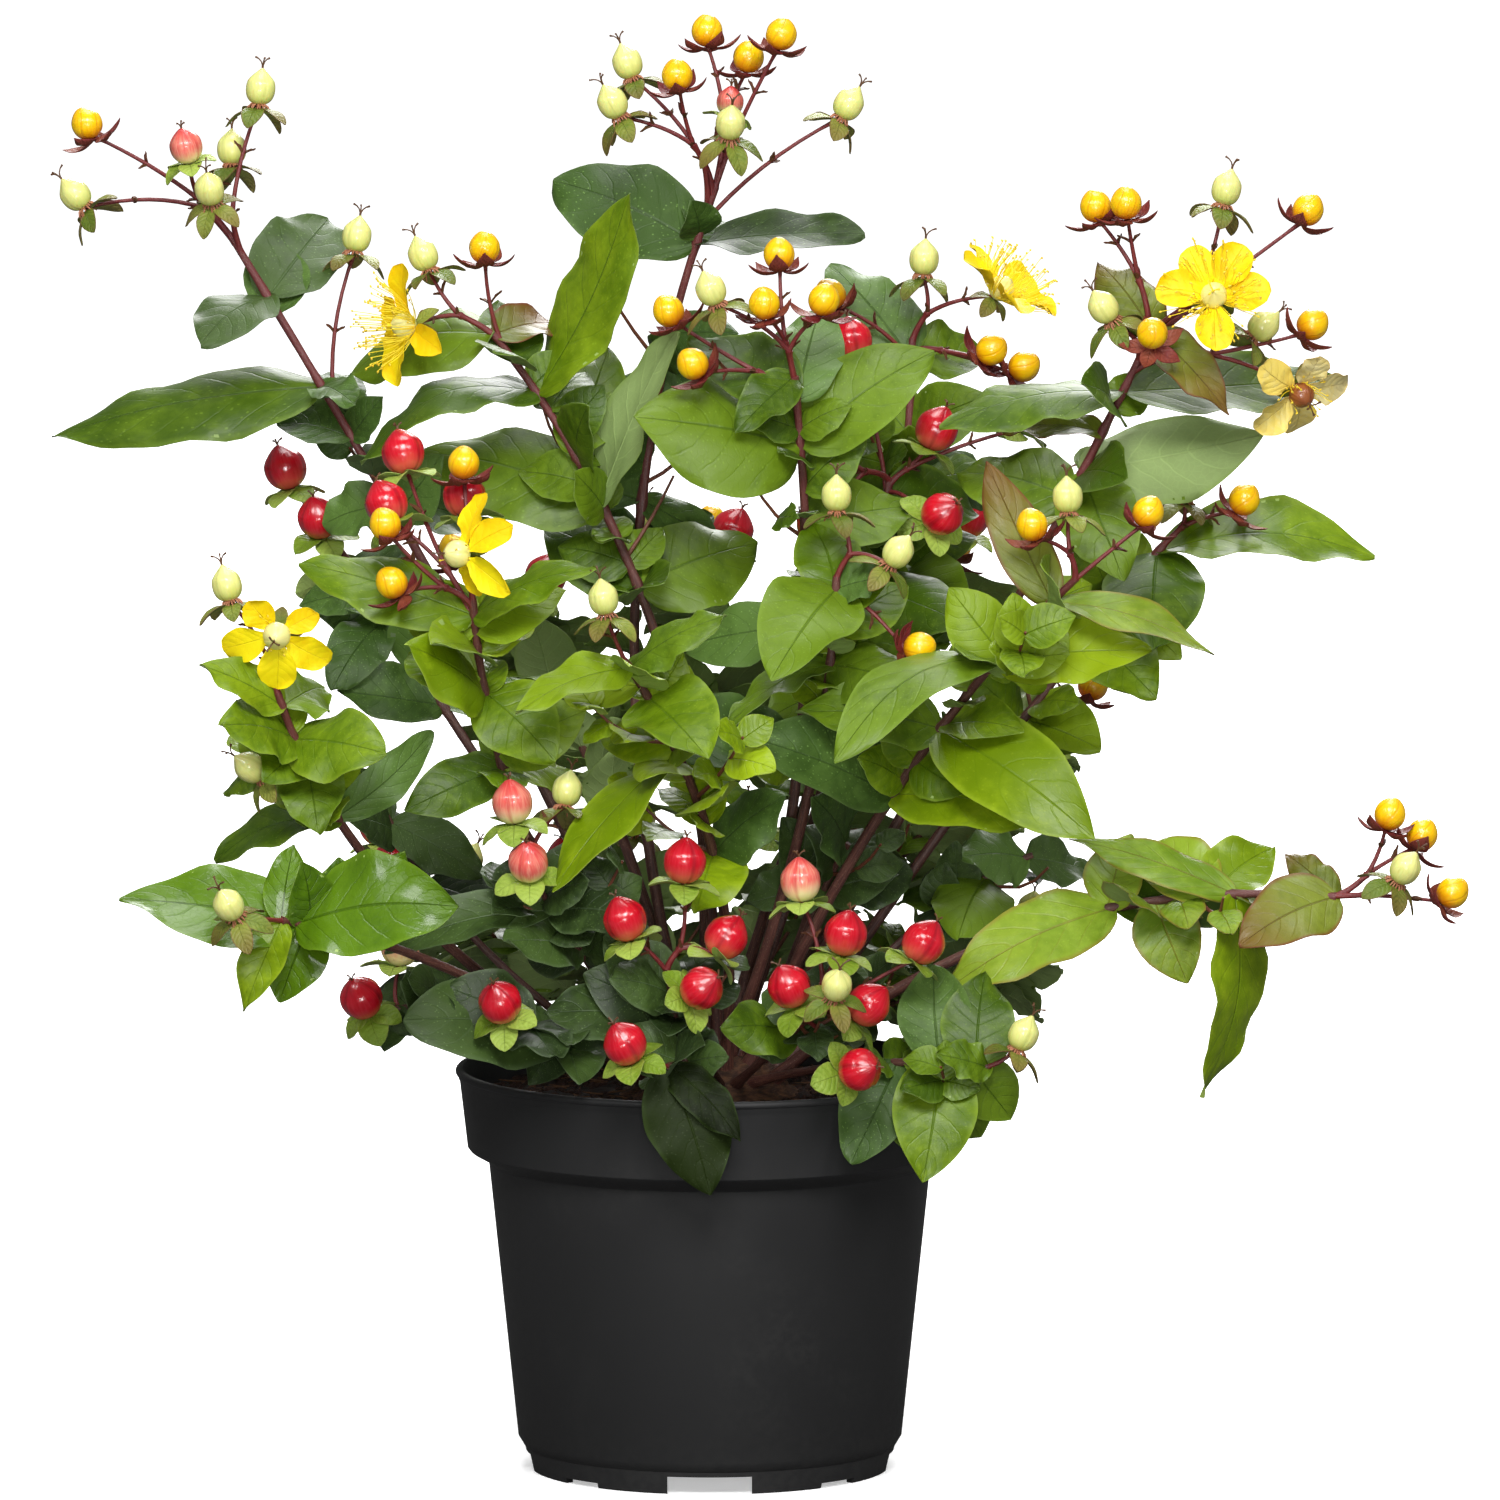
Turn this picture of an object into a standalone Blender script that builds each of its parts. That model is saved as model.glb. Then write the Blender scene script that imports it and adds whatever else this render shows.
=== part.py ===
"""A potted hypericum with buds, flowers and berries, in a black nursery pot.

Sizes below are in millimetres and the meshes are made in metres, +Z up. The origin is the middle
of the pot's underside and the plant is seen from -Y. Each cane rises from a low woody crown. A tall
cane is a bare bough with a leafy mass above it, and a low cane is all leafy mass.
"""

import math
import random
from collections import namedtuple

import bmesh
import bpy
from mathutils import Matrix, Vector
from mathutils.bvhtree import BVHTree

MM = 0.001
GAP = 0.3
UP = Vector((0, 0, 1))

# Pot
RIM_HEIGHT = 135.0
RIM_RADIUS = 85.0
BAND_RADIUS = 81.0
BAND_BOTTOM = 108.0
SHOULDER_BOTTOM = 103.5
SHOULDER_RADIUS = 74.0
BODY_FOOT_RADIUS = 64.2
BODY_FOOT_HEIGHT = 11.0
FOOT_STEP_HEIGHT = 8.0
FOOT_RADIUS = 62.0
GROUND_RADIUS = 60.4
WALL = 1.4
FOOT_WALL = 3.0
FLOOR_BOTTOM = 6.5
CENTRE_PAD_RADIUS = 14.0
LIP_REACH = 1.5
LIP_DEPTH = 5.0
LIP_SLOPE = 1.5
LIP_ROUND = 0.6
FLOOR_CHAMFER = 1.5
PAD_TAPER = 1.0
SHARP_ANGLE = 35.0
POT_SEGMENTS = 32
FOOT_SPACES = 4
NOTCH_WIDTH = 28.0
NOTCH_HEIGHT = 6.0
RECESS_WIDTH = 15.0
RECESS_HEIGHT = 1.8
DRAIN_SLOT = (16.0, 5.0)

# Peat and woody crown
SOIL_TOP = 126.0
SOIL_MOUND = 1.6
SOIL_EDGE_GAP = 0.7
CROWN_RADIUS = 27.0
CROWN_HEIGHT = 15.0
CROWN_FLARE = 4.0
CROWN_FLARE_HEIGHT = 1.2
CROWN_SIDES = 20
CROWN_RINGS = 6

# Canes
TALL_RADII = (2.5, 1.5)
LOW_RADII = (1.9, 1.1)
BOUGH_SIDES = 5
STEM_SIDES = 3
STEM_FULLNESS = 1.25
STEPS = 3
FOOT_SPACING = 6.6
SPACING_ROUNDS = 200
STEM_BELOW_LEAVES = 6.0
RING_REACH = {"top": 0.34, "middle": 0.64, "low": 0.9}
BRANCHLET_RADIUS = 0.9
BRANCHLET_STEP = 2.0
HEAD_SIDES = 4
OUTER_FROM = 0.2
SUNK = 0.8

# Leaves
LEAF_RATIO = 0.37
SHORT_LEAF_RATIO = 0.9
LONG_LEAF = 90.0
TWO_SECTIONS = 50.0
LEAF_THICKNESS = 1.3
PLAIN_LEAF = (0.0, 1.0, 0.07)
LEAF_ROOT_WIDTH = 1.4
LEAF_ROOT_THICKNESS = 0.9
LEAF_SLENDERNESS = 60.0
LONG_SECTIONS = ((0.28, 1.0), (0.7, 0.8))
SHORT_SECTIONS = ((0.42, 1.0),)
FACE_FRONT = Vector((0, -0.78, 0.62))
BACK_FACE_OUT = 0.6
BACK_FACE_UP = 0.8

# Blossom and fruit: length, radius and sepal reach of each kind of head
Head = namedtuple("Head", "length radius sepal lift")
HEADS = {
    "bud": Head(12.0, 5.6, 8.5, 0.45),
    "pale": Head(14.5, 5.8, 9.5, -0.5),
    "red": Head(16.0, 7.4, 11.0, -0.45),
    "pink": Head(15.5, 6.9, 10.5, -0.45),
    "flower": Head(9.0, 4.4, 0.0, 0.0),
    "spent": Head(9.0, 4.4, 0.0, 0.0),
}
STALK_END = 1.5
STALK_SWELL = 0.3
BARE_SEPAL = 0.6
HEAD_SHOULDER = (0.14, 0.7)
HEAD_WIDEST = 0.52
HEAD_LEAN = 0.6
HEAD_RISE = 0.5
PETALS = 5
PETAL_REACH = 20.0
PETAL_LIFT = 0.3
PETAL_OUTLINE = ((0.0, 0.34), (0.3, 0.94), (0.5, 1.04), (0.7, 0.94))
ROSETTE_HALF_THICKNESS = 1.2
ROSETTE_LIFT = 1.5

Cane = namedtuple("Cane", "name ring elbow tip leaves heads")

# One row for each cane that shows from the front. Elbow and tip are (right, away, up) places.
# A leaf is (station along the cane, then how far right, away and up its tip stands of its node,
# then any roll in degrees, share of the usual width, and arch). A head is (kind, right, away, up
# of the tip, then any other station it leaves the cane at, and any direction that it faces).
TALL_CANES = (
    Cane("far_left", "middle", (-46, 10, 226), (-160, 35, 410),
         ((0.86, -92, 18, -18, 15, 0.95, 0.06), (0.86, 12, -28, -3, 0, 0.7),
          (0.945, 20, 36, 24), (0.945, -22, -30, -13, 20, 0.9), (0.74, -24, 12, -8),
          (0.74, 28, 28, -10)),
         (("bud", -48, -8, 39), ("pale", -53, 8, 14), ("pink", -15, -12, 33),
          ("pale", -14, -22, 19), ("pale", 0, 14, 29), ("pale", 10, 6, 50),
          ("pale", 14, 10, 47, 0.87))),
    Cane("left_berry", "middle", (-74, 42, 228), (-126, 60, 304),
         ((0.66, -36, -8, 6, 0, 0.9), (0.66, 26, 30, 4), (0.84, -18, -20, -22, 0, 0.8),
          (0.84, 14, 34, 8), (0.95, -20, 16, -8), (0.95, 26, -10, -4)),
         (("red", -17, 0, 26), ("red", -12, -8, 13), ("red", -7, 12, -12))),
    Cane("left_fan", "top", (3, 6, 285), (-72, 16, 379),
         ((0.6, 41, 24, 12, 0, 1.1), (0.6, -32, 26, 18), (0.72, -62, 26, 15),
          (0.72, 26, -12, 60, 140, 0.85, -0.02), (0.8, 32, 30, 42, 0, 0.8),
          (0.9, -59, -18, -22, 32, 0.9, 0.2), (0.9, 30, -14, 69, -38, 0.95, -0.05),
          (1.0, 30, 14, 2, -10, 0.85), (1.0, -49, 20, -15, 22, 1.0, 0.12)),
         (("flower", -30, -10, 4, 1.0, (205, 5)), ("pale", -24, 6, 27), ("bud", -3, -4, 30))),
    Cane("tallest", "top", (-48, 46, 290), (2, 42, 426),
         ((0.55, 26, 30, 12, 0, 0.6), (0.62, 24, 28, -26, 0, 0.6), (0.62, -30, 26, 0),
          (0.93, -49, 22, 20, 0, 1.15), (0.93, 57, -8, 5, -30, 0.75, 0.03)),
         (("bud", -3, 10, 52), ("bud", -13, -12, 39), ("bud", 11, 12, 43), ("bud", 22, -4, 52),
          ("pale", -30, 6, 42), ("pale", -35, -10, 30), ("pale", 5, -20, 24),
          ("pale", 45, 6, 28), ("pink", 5, 4, 31))),
    Cane("front_left", "middle", (-72, -46, 210), (-78, -60, 299),
         ((0.67, -33, -8, -14, 0, 0.8), (0.67, 24, 24, -6, -15), (0.82, -24, -30, 20),
          (0.82, 24, -12, -22, 0, 1.1), (0.97, -58, -16, 17, 8, 0.85), (0.97, 41, -18, 18, -25, 0.8),
          (0.9, 17, 26, 16)),
         (("flower", -5, -16, 17, 1.0, (215, 5)), ("bud", -27, -8, 7), ("bud", -29, -4, 26),
          ("bud", -3, 8, 45), ("red", -29, 14, 31), ("red", -32, 22, 46), ("red", -3, 18, 33))),
    Cane("left_mid", "low", (-118, -55, 190), (-142, -76, 270),
         ((0.72, -42, 14, -16, 25, 0.65, 0.12), (0.72, 32, 10, 28, 35, 0.5, 0.12),
          (0.84, -19, -18, -11, 0, 0.9),
          (0.84, 4, -20, -20), (0.9, 31, -22, -2, 0, 1.1), (0.9, -24, -24, 8),
          (0.97, -27, -10, 16, 0, 0.75), (0.97, 14, 26, 4)),
         (("flower", 0, -10, 20, 1.0, (262, -12)), ("pale", -17, 6, 36),
          ("pale", -18, -8, -2, 0.86))),
    Cane("low_left", "low", (-90, -76, 188), (-140, -118, 200),
         ((0.84, 24, 30, 22), (0.84, -14, 34, 8), (0.95, 54, -18, 8, 0, 1.1), (0.95, -59, 2, 8, 0, 0.9),
          (1.0, 4, 16, 24, 0, 0.7), (1.0, -14, -8, -29, 0, 0.62)),
         (("pale", -17, -22, 9),)),
    Cane("front_centre", "middle", (14, -46, 216), (-28, -70, 280),
         ((0.5, 24, -16, 22), (0.5, -6, -26, -17, 0, 1.2), (0.76, -43, -26, -42, 40, 0.8, 0.02),
          (0.76, 38, 24, 4), (0.9, 20, -30, -16, 0, 1.1), (0.9, -8, 30, 8),
          (0.98, -38, -18, -12, 15, 0.7), (0.98, 32, -12, 20, -20, 0.7)),
         (("pale", -7, -4, 22),)),
    Cane("centre", "top", (40, -34, 232), (42, -38, 304),
         ((0.6, 20, 26, -10), (0.6, -24, 24, -4), (0.8, -35, -20, -18, 30, 0.6, 0.1),
          (0.8, 30, -20, -6), (0.97, -22, -34, -26, 0, 1.1, 0.1), (0.97, -8, 26, 20), (0.97, 30, -8, 8)),
         (("pale", 0, 2, 28), ("pale", 21, -8, 10), ("bud", 28, -12, -22))),
    Cane("centre_right", "top", (42, 2, 240), (28, -14, 368),
         ((0.66, -42, 22, -10, 0, 0.75), (0.66, 34, -20, -16), (0.8, 38, 22, 4),
          (0.91, -56, -16, 11, 0, 1.3), (0.91, 45, 8, 31), (1.0, -20, -16, -17, 0, 0.8),
          (0.97, 8, 30, 28, 0, 0.9), (0.97, -31, 24, 19)),
         (("bud", -5, 4, 41), ("bud", -10, -10, 26), ("bud", 10, -8, 27), ("bud", -34, -12, 6),
          ("bud", -42, 4, 22), ("pale", -28, -10, 31))),
    Cane("berry_back", "top", (48, 24, 240), (60, 22, 330),
         ((0.62, -24, -28, -8), (0.8, -34, 20, -4), (0.8, 34, -26, -10),
          (0.97, -28, -18, -12), (0.97, 32, 14, -8)),
         (("red", -24, -14, 21), ("red", 16, 2, 17), ("red", 10, -27, -9), ("red", -13, 10, 46),
          ("red", 48, 6, 22), ("red", -12, -30, -12))),
    Cane("right_back", "middle", (66, 48, 250), (68, 70, 372),
         ((0.68, 26, -30, -10), (0.68, -30, 30, 4), (0.82, -38, -18, 10), (0.82, 34, 24, -8),
          (0.97, -28, 22, 32), (0.97, 27, 12, 0, 0, 1.1)),
         (("pale", 4, 0, 28), ("flower", 30, -8, 18, 1.0, (-20, 50)), ("bud", 27, -14, -2),
          ("bud", 38, -10, -8), ("bud", -28, -6, 16))),
    Cane("right_tall", "middle", (78, 10, 238), (147, -6, 382),
         ((0.8, -38, 24, 6), (0.83, 61, 22, 9, 180, 0.9, -0.02), (0.83, 14, -20, -34),
          (0.93, -62, -6, -11, 35, 0.85), (0.93, 80, 8, 2, -20, 1.0, 0.01),
          (1.0, 26, -14, -26, 0, 0.65), (1.0, -24, 16, 22, 0, 0.8), (0.88, -34, 10, 0, 20, 0.6)),
         (("flower", 20, -16, 14, 1.0, (265, 20)), ("bud", -19, 6, 42), ("bud", -9, -4, 44),
          ("bud", 52, 4, 41), ("pale", 25, 8, 48), ("pale", -17, -8, 10), ("bud", -9, -16, 2),
          ("bud", 54, 10, 2), ("spent", 50, 8, -22, 1.0, (300, -30)), ("pale", 38, 8, 2))),
    Cane("right_mid", "middle", (54, -36, 240), (121, -60, 306),
         ((0.5, 52, -28, -6, 0, 0.85), (0.5, -46, -20, 22), (0.64, 51, -34, -31),
          (0.64, -48, -10, 8, 0, 0.8), (0.8, -72, -18, -27, 30, 0.85, 0.14),
          (0.8, 51, -10, 5, 0, 0.85), (0.94, -22, 12, 46, 0, 0.62, -0.02),
          (0.94, 54, -14, -16, -20, 0.55)),
         (("bud", -15, -6, 19), ("bud", 24, 4, 22), ("pale", -3, 2, 28))),
    Cane("right_fan", "low", (92, 28, 236), (152, 30, 307),
         ((0.62, 26, -16, -8, 0, 1.15), (0.62, -14, 36, 0), (0.8, 22, -20, -20, 0, 1.1),
          (0.8, 30, 14, 6), (0.98, 74, 6, -1, -25, 0.9, 0.11), (0.98, -2, -34, -28, 0, 1.2)),
         (("bud", 27, -4, 16), ("pale", 8, 2, 21))),
    Cane("far_right", "low", (100, -42, 207), (207, -60, 200),
         ((0.64, -58, -16, -26, 0, 0.8), (0.64, 45, 26, 1, 0, 1.1), (0.84, -55, 8, 19, 0, 0.45),
          (0.84, -9, -8, -68, -50, 0.75, 0.1), (1.0, -33, -14, -14), (1.0, -17, 12, 14, 0, 0.7),
          (0.8, 22, 20, 14), (0.8, -22, 20, 16)),
         (("bud", 18, 2, 28), ("bud", 29, 10, 20), ("bud", 39, 0, 2), ("pale", 23, -12, 12))),
)
LOW_CANES = (
    Cane("front_low", "low", (-10, -60, 146), (-14, -84, 180),
         ((0.62, -44, -12, 7), (0.62, 18, -10, -14, 0, 0.9), (0.85, -20, -16, 8),
          (0.85, 16, 14, 12)),
         (("red", 6, -2, 36), ("red", -14, -4, 17), ("red", 20, 4, 10), ("red", 12, -12, -5))),
    Cane("rim_left", "low", (0, -70, 150), (-14, -92, 148),
         ((0.97, 14, -10, -42, 0, 0.95), (0.97, 24, -10, -24, 0, 0.65), (0.8, -22, -12, 8)),
         (("red", -14, -12, 10),)),
    Cane("left_rim", "low", (-46, -58, 150), (-60, -72, 160),
         ((0.95, -46, -6, 22), (0.95, 16, -26, -6), (0.7, -56, -8, 10), (0.7, 24, -22, 10)),
         (("red", -9, -20, 10),)),
    Cane("left_low", "low", (-76, -12, 166), (-106, -18, 156),
         ((0.8, -16, 22, -8), (0.8, 10, 20, 8), (0.98, -14, -16, -14)),
         (("red", -10, -14, 7), ("pink", 3, 6, 22))),
    Cane("front_left_low", "low", (-44, -58, 180), (-58, -70, 208),
         ((0.6, -24, -24, 6), (0.6, 24, 24, 6), (0.8, -56, -10, -13, 10, 0.55), (0.8, 26, -20, 0)),
         (("pink", -7, -4, 26), ("pink", -2, -14, 9), ("pale", 17, 8, 28))),
    Cane("left_small", "low", (-84, 12, 170), (-108, 10, 218),
         ((0.75, -28, 14, -10), (0.75, 24, -24, -8), (0.98, -20, -6, 18),
          (0.98, 32, -8, -18, 0, 0.7)),
         ()),
    Cane("centre_low", "middle", (34, -4, 190), (46, -14, 212),
         ((0.7, -24, -14, -4), (0.7, 26, 18, 4), (0.97, -19, -14, 20, 0, 1.2)),
         ()),
    Cane("front_low_right", "low", (22, -62, 150), (36, -82, 166),
         ((0.7, -24, -18, 4), (0.7, 26, 16, 0), (0.9, 16, -20, -32, 0, 0.9), (0.9, -14, 18, 10)),
         (("red", -10, -8, 9), ("red", 9, -4, 26), ("pale", 6, -25, 12), ("red", 17, -2, 2),
          ("red", 14, -16, -18), ("pink", -6, 8, 42), ("red", 35, 4, 22))),
    Cane("rim_right", "low", (52, -72, 150), (92, -80, 146),
         ((0.62, -18, -12, -32, 0, 1.0), (0.8, -6, -16, -38), (0.8, -2, 14, 32),
          (1.0, 25, -16, -3, 0, 0.65), (1.0, -18, -8, 6), (0.95, 8, 14, 30)),
         (("pale", 12, 0, 12),)),
    Cane("right_low", "low", (70, 14, 190), (108, 16, 204),
         ((0.62, 4, -30, -6), (0.62, -6, 36, 4), (0.8, -10, -34, -16), (0.8, 14, 34, 0),
          (0.97, 22, 12, -6), (0.97, -22, -12, 2, 0, 1.2)),
         ()),
)

# Canes on the far side: direction in degrees, reach and height of the tip, leaf length and seed.
BACK_TALL = (
    ("back_left", 118, 150, 268, 50, 11),
    ("back_centre", 92, 170, 282, 54, 12),
    ("back_right", 64, 165, 276, 54, 13),
    ("back_far_right", 42, 150, 226, 50, 14),
)
BACK_LOW = (
    ("back_low_left", 142, 132, 176, 46, 31),
    ("back_low", 104, 150, 172, 48, 32),
    ("back_low_right", 76, 148, 176, 48, 33),
    ("back_low_far", 34, 122, 158, 44, 34),
)
BACK_STATIONS = (0.48, 0.66, 0.83, 0.97)
BACK_TALL_HEADS = ("bud", "pale", "red")
BACK_LOW_HEADS = ("red", "red", "pale")
BACK_JITTER = 14.0
BACK_SPREAD = (14.0, 24.0)
BACK_LIFT = (14.0, 30.0)
BACK_ELBOW = (0.42, 0.72)
BACK_LONGEST_AT = 0.7
BACK_RISE = (-8.0, 12.0)
BACK_DROOP = -16.0
BACK_PERK = 4.0
BACK_HEAD_JITTER = 20.0

# A leaf or head that would touch a neighbour is turned aside by these angles, then made smaller by
# these shares, before it is left out.
ASIDE = (0, 9, -9, 18, -18, 28, -28)
SMALLER = (1.0, 0.8, 0.62)


def clear_scene():
    """Removes every object of the start-up scene."""
    for ob in list(bpy.data.objects):
        bpy.data.objects.remove(ob, do_unlink=True)


def plain_material(name, colour, roughness):
    """One plain material of this colour."""
    material = bpy.data.materials.new(name)
    material.use_nodes = True
    shader = material.node_tree.nodes["Principled BSDF"]
    shader.inputs["Base Color"].default_value = (*colour, 1)
    shader.inputs["Roughness"].default_value = roughness
    shader.inputs["Metallic"].default_value = 0
    return material


def solid(name, verts, faces, material=None):
    """One mesh object from points in millimetres, with its faces turned outwards."""
    mesh = bpy.data.meshes.new(name)
    mesh.from_pydata([Vector(v) * MM for v in verts], [], faces)
    work = bmesh.new()
    work.from_mesh(mesh)
    bmesh.ops.recalc_face_normals(work, faces=work.faces)
    work.to_mesh(mesh)
    work.free()
    if material:
        mesh.materials.append(material)
    ob = bpy.data.objects.new(name, mesh)
    bpy.context.scene.collection.objects.link(ob)
    return ob


def turned(profile, segments):
    """Points and faces of a profile of (radius, height) turned about +Z, closed where radius is 0."""
    verts = []
    rings = []
    for radius, height in profile:
        if radius == 0:
            rings.append([len(verts)])
            verts.append((0, 0, height))
            continue
        rings.append(list(range(len(verts), len(verts) + segments)))
        for k in range(segments):
            angle = math.tau * k / segments
            verts.append((radius * math.cos(angle), radius * math.sin(angle), height))
    faces = []
    for low, high in zip(rings, rings[1:]):
        for k in range(segments):
            n = (k + 1) % segments
            if len(low) == 1:
                faces.append((low[0], high[n], high[k]))
            elif len(high) == 1:
                faces.append((low[k], low[n], high[0]))
            else:
                faces.append((low[k], low[n], high[n], high[k]))
    return verts, faces


def foot_cutter(size, place, turn):
    """A hidden cutter: a box of this size at a place that is then turned about the pot's axis."""
    mesh = bpy.data.meshes.new("foot_cutter")
    work = bmesh.new()
    bmesh.ops.create_cube(work, size=1)
    bmesh.ops.scale(work, vec=Vector(size) * MM, verts=work.verts)
    bmesh.ops.translate(work, vec=Vector(place) * MM, verts=work.verts)
    bmesh.ops.rotate(work, cent=(0, 0, 0), matrix=Matrix.Rotation(turn, 3, "Z"), verts=work.verts)
    work.to_mesh(mesh)
    work.free()
    cutter = bpy.data.objects.new("foot_cutter", mesh)
    cutter.hide_render = True
    cutter.display_type = "WIRE"
    bpy.context.scene.collection.objects.link(cutter)
    return cutter


def inner_radius(height):
    """Inside radius of the pot's body, band and shoulder at a height."""
    if height >= BAND_BOTTOM:
        share = (height - BAND_BOTTOM) / (RIM_HEIGHT - BAND_BOTTOM)
        return BAND_RADIUS + share * (RIM_RADIUS - LIP_REACH - BAND_RADIUS) - WALL
    if height >= SHOULDER_BOTTOM:
        share = (height - SHOULDER_BOTTOM) / (BAND_BOTTOM - SHOULDER_BOTTOM)
        return SHOULDER_RADIUS + share * (BAND_RADIUS - SHOULDER_RADIUS) - WALL
    share = (height - BODY_FOOT_HEIGHT) / (SHOULDER_BOTTOM - BODY_FOOT_HEIGHT)
    return BODY_FOOT_RADIUS + share * (SHOULDER_RADIUS - BODY_FOOT_RADIUS) - WALL


def make_pot():
    """The thin-walled pot: rolled lip, deep band, tapering body and a foot ring with drain notches."""
    floor_top = FLOOR_BOTTOM + WALL
    profile = [
        (0, 0),
        (CENTRE_PAD_RADIUS, 0),
        (CENTRE_PAD_RADIUS - PAD_TAPER, FLOOR_BOTTOM),
        (GROUND_RADIUS - FOOT_WALL, FLOOR_BOTTOM),
        (GROUND_RADIUS - FOOT_WALL, 0),
        (GROUND_RADIUS, 0),
        (FOOT_RADIUS, FOOT_STEP_HEIGHT),
        (BODY_FOOT_RADIUS, BODY_FOOT_HEIGHT),
        (SHOULDER_RADIUS, SHOULDER_BOTTOM),
        (BAND_RADIUS, BAND_BOTTOM),
        (RIM_RADIUS - LIP_REACH, RIM_HEIGHT - LIP_DEPTH),
        (RIM_RADIUS, RIM_HEIGHT - LIP_DEPTH + LIP_SLOPE),
        (RIM_RADIUS, RIM_HEIGHT - LIP_ROUND),
        (RIM_RADIUS - LIP_ROUND, RIM_HEIGHT),
        (RIM_RADIUS - LIP_REACH - WALL, RIM_HEIGHT),
        (inner_radius(BAND_BOTTOM), BAND_BOTTOM),
        (inner_radius(SHOULDER_BOTTOM), SHOULDER_BOTTOM),
        (inner_radius(BODY_FOOT_HEIGHT), BODY_FOOT_HEIGHT),
        (inner_radius(BODY_FOOT_HEIGHT) - FLOOR_CHAMFER, floor_top),
        (0, floor_top),
    ]
    verts, faces = turned(profile, POT_SEGMENTS)
    pot = solid("pot", verts, faces, plain_material("black plastic", (0.018, 0.018, 0.019), 0.42))
    ring = GROUND_RADIUS - FOOT_WALL / 2
    for k in range(FOOT_SPACES):
        turn = math.tau * k / FOOT_SPACES
        between = turn + math.pi / FOOT_SPACES
        cutters = (
            (NOTCH_WIDTH, 3 * FOOT_WALL, 2 * NOTCH_HEIGHT, ring, turn),
            (RECESS_WIDTH, 3 * FOOT_WALL, 2 * RECESS_HEIGHT, ring, between),
            (*DRAIN_SLOT, 4 * FLOOR_BOTTOM, ring - FOOT_WALL - DRAIN_SLOT[1], turn),
        )
        for wide, deep, tall, reach, angle in cutters:
            cutter = foot_cutter((wide, deep, tall), (0, -reach, 0), angle)
            apply_boolean(pot, cutter, "DIFFERENCE", "EXACT")
            bpy.data.objects.remove(cutter, do_unlink=True)
    smooth(pot)
    return pot


def make_peat():
    """The peat that fills the pot, a little mounded round the crown."""
    floor_top = FLOOR_BOTTOM + WALL + GAP
    profile = [
        (0, floor_top),
        (inner_radius(BODY_FOOT_HEIGHT) - FLOOR_CHAMFER - 2 * GAP, floor_top),
        (inner_radius(BODY_FOOT_HEIGHT) - GAP, BODY_FOOT_HEIGHT + 2 * GAP),
        (inner_radius(SHOULDER_BOTTOM) - GAP, SHOULDER_BOTTOM + GAP),
        (inner_radius(BAND_BOTTOM) - GAP, BAND_BOTTOM + GAP),
        (inner_radius(SOIL_TOP) - SOIL_EDGE_GAP, SOIL_TOP - SOIL_MOUND),
        (CROWN_RADIUS + 2 * CROWN_FLARE, SOIL_TOP),
        (0, SOIL_TOP),
    ]
    verts, faces = turned(profile, POT_SEGMENTS)
    return solid("peat", verts, faces, plain_material("peat", (0.035, 0.018, 0.012), 0.95))


def crown_point(angle, share):
    """Place on the crown's dome, and the way out of it there."""
    height = CROWN_HEIGHT * math.sqrt(1 - share**2)
    flat = Vector((math.cos(angle), math.sin(angle), 0))
    place = flat * (CROWN_RADIUS * share) + UP * (SOIL_TOP + GAP + height)
    way = flat * (share / CROWN_RADIUS) + UP * (math.sqrt(1 - share**2) / CROWN_HEIGHT)
    return place, way.normalized()


def make_crown():
    """The low woody stock that carries every cane, flared where it stands on the peat."""
    base = SOIL_TOP + GAP
    profile = [(0, base), (CROWN_RADIUS + CROWN_FLARE, base), (CROWN_RADIUS, base + CROWN_FLARE_HEIGHT)]
    for k in range(1, CROWN_RINGS):
        share = math.cos(math.pi / 2 * k / CROWN_RINGS)
        profile.append((CROWN_RADIUS * share, base + CROWN_HEIGHT * math.sqrt(1 - share**2)))
    profile.append((0, base + CROWN_HEIGHT))
    verts, faces = turned(profile, CROWN_SIDES)
    crown = solid("crown", verts, faces, plain_material("woody stock", (0.12, 0.055, 0.035), 0.85))
    smooth(crown)
    return crown


def smooth(ob):
    """Shades a round piece smooth, with its sharp edges kept."""
    ob.data.shade_smooth()
    ob.data.set_sharp_from_angle(angle=math.radians(SHARP_ANGLE))


def apply_boolean(ob, operand, operation, solver):
    """Joins or cuts ob with an object or a collection, and applies the result."""
    cut = ob.modifiers.new("join", "BOOLEAN")
    cut.operation = operation
    cut.solver = solver
    if isinstance(operand, bpy.types.Collection):
        cut.operand_type = "COLLECTION"
        cut.collection = operand
    else:
        cut.object = operand
    graph = bpy.context.evaluated_depsgraph_get()
    mesh = bpy.data.meshes.new_from_object(ob.evaluated_get(graph), depsgraph=graph)
    ob.modifiers.clear()
    ob.data = mesh


def bend(foot, elbow, tip, t):
    """Point on the smooth bend of a cane at station t."""
    return foot * (1 - t) ** 2 + elbow * (2 * t * (1 - t)) + tip * t**2


def heading(foot, elbow, tip, t):
    """Unit vector along a cane at station t."""
    return ((elbow - foot) * (1 - t) + (tip - elbow) * t).normalized()


def across(way):
    """Two unit vectors square to a way and to each other."""
    side = way.cross(UP if abs(way.z) < 0.9 else Vector((0, 1, 0))).normalized()
    return side, side.cross(way).normalized()


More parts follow.
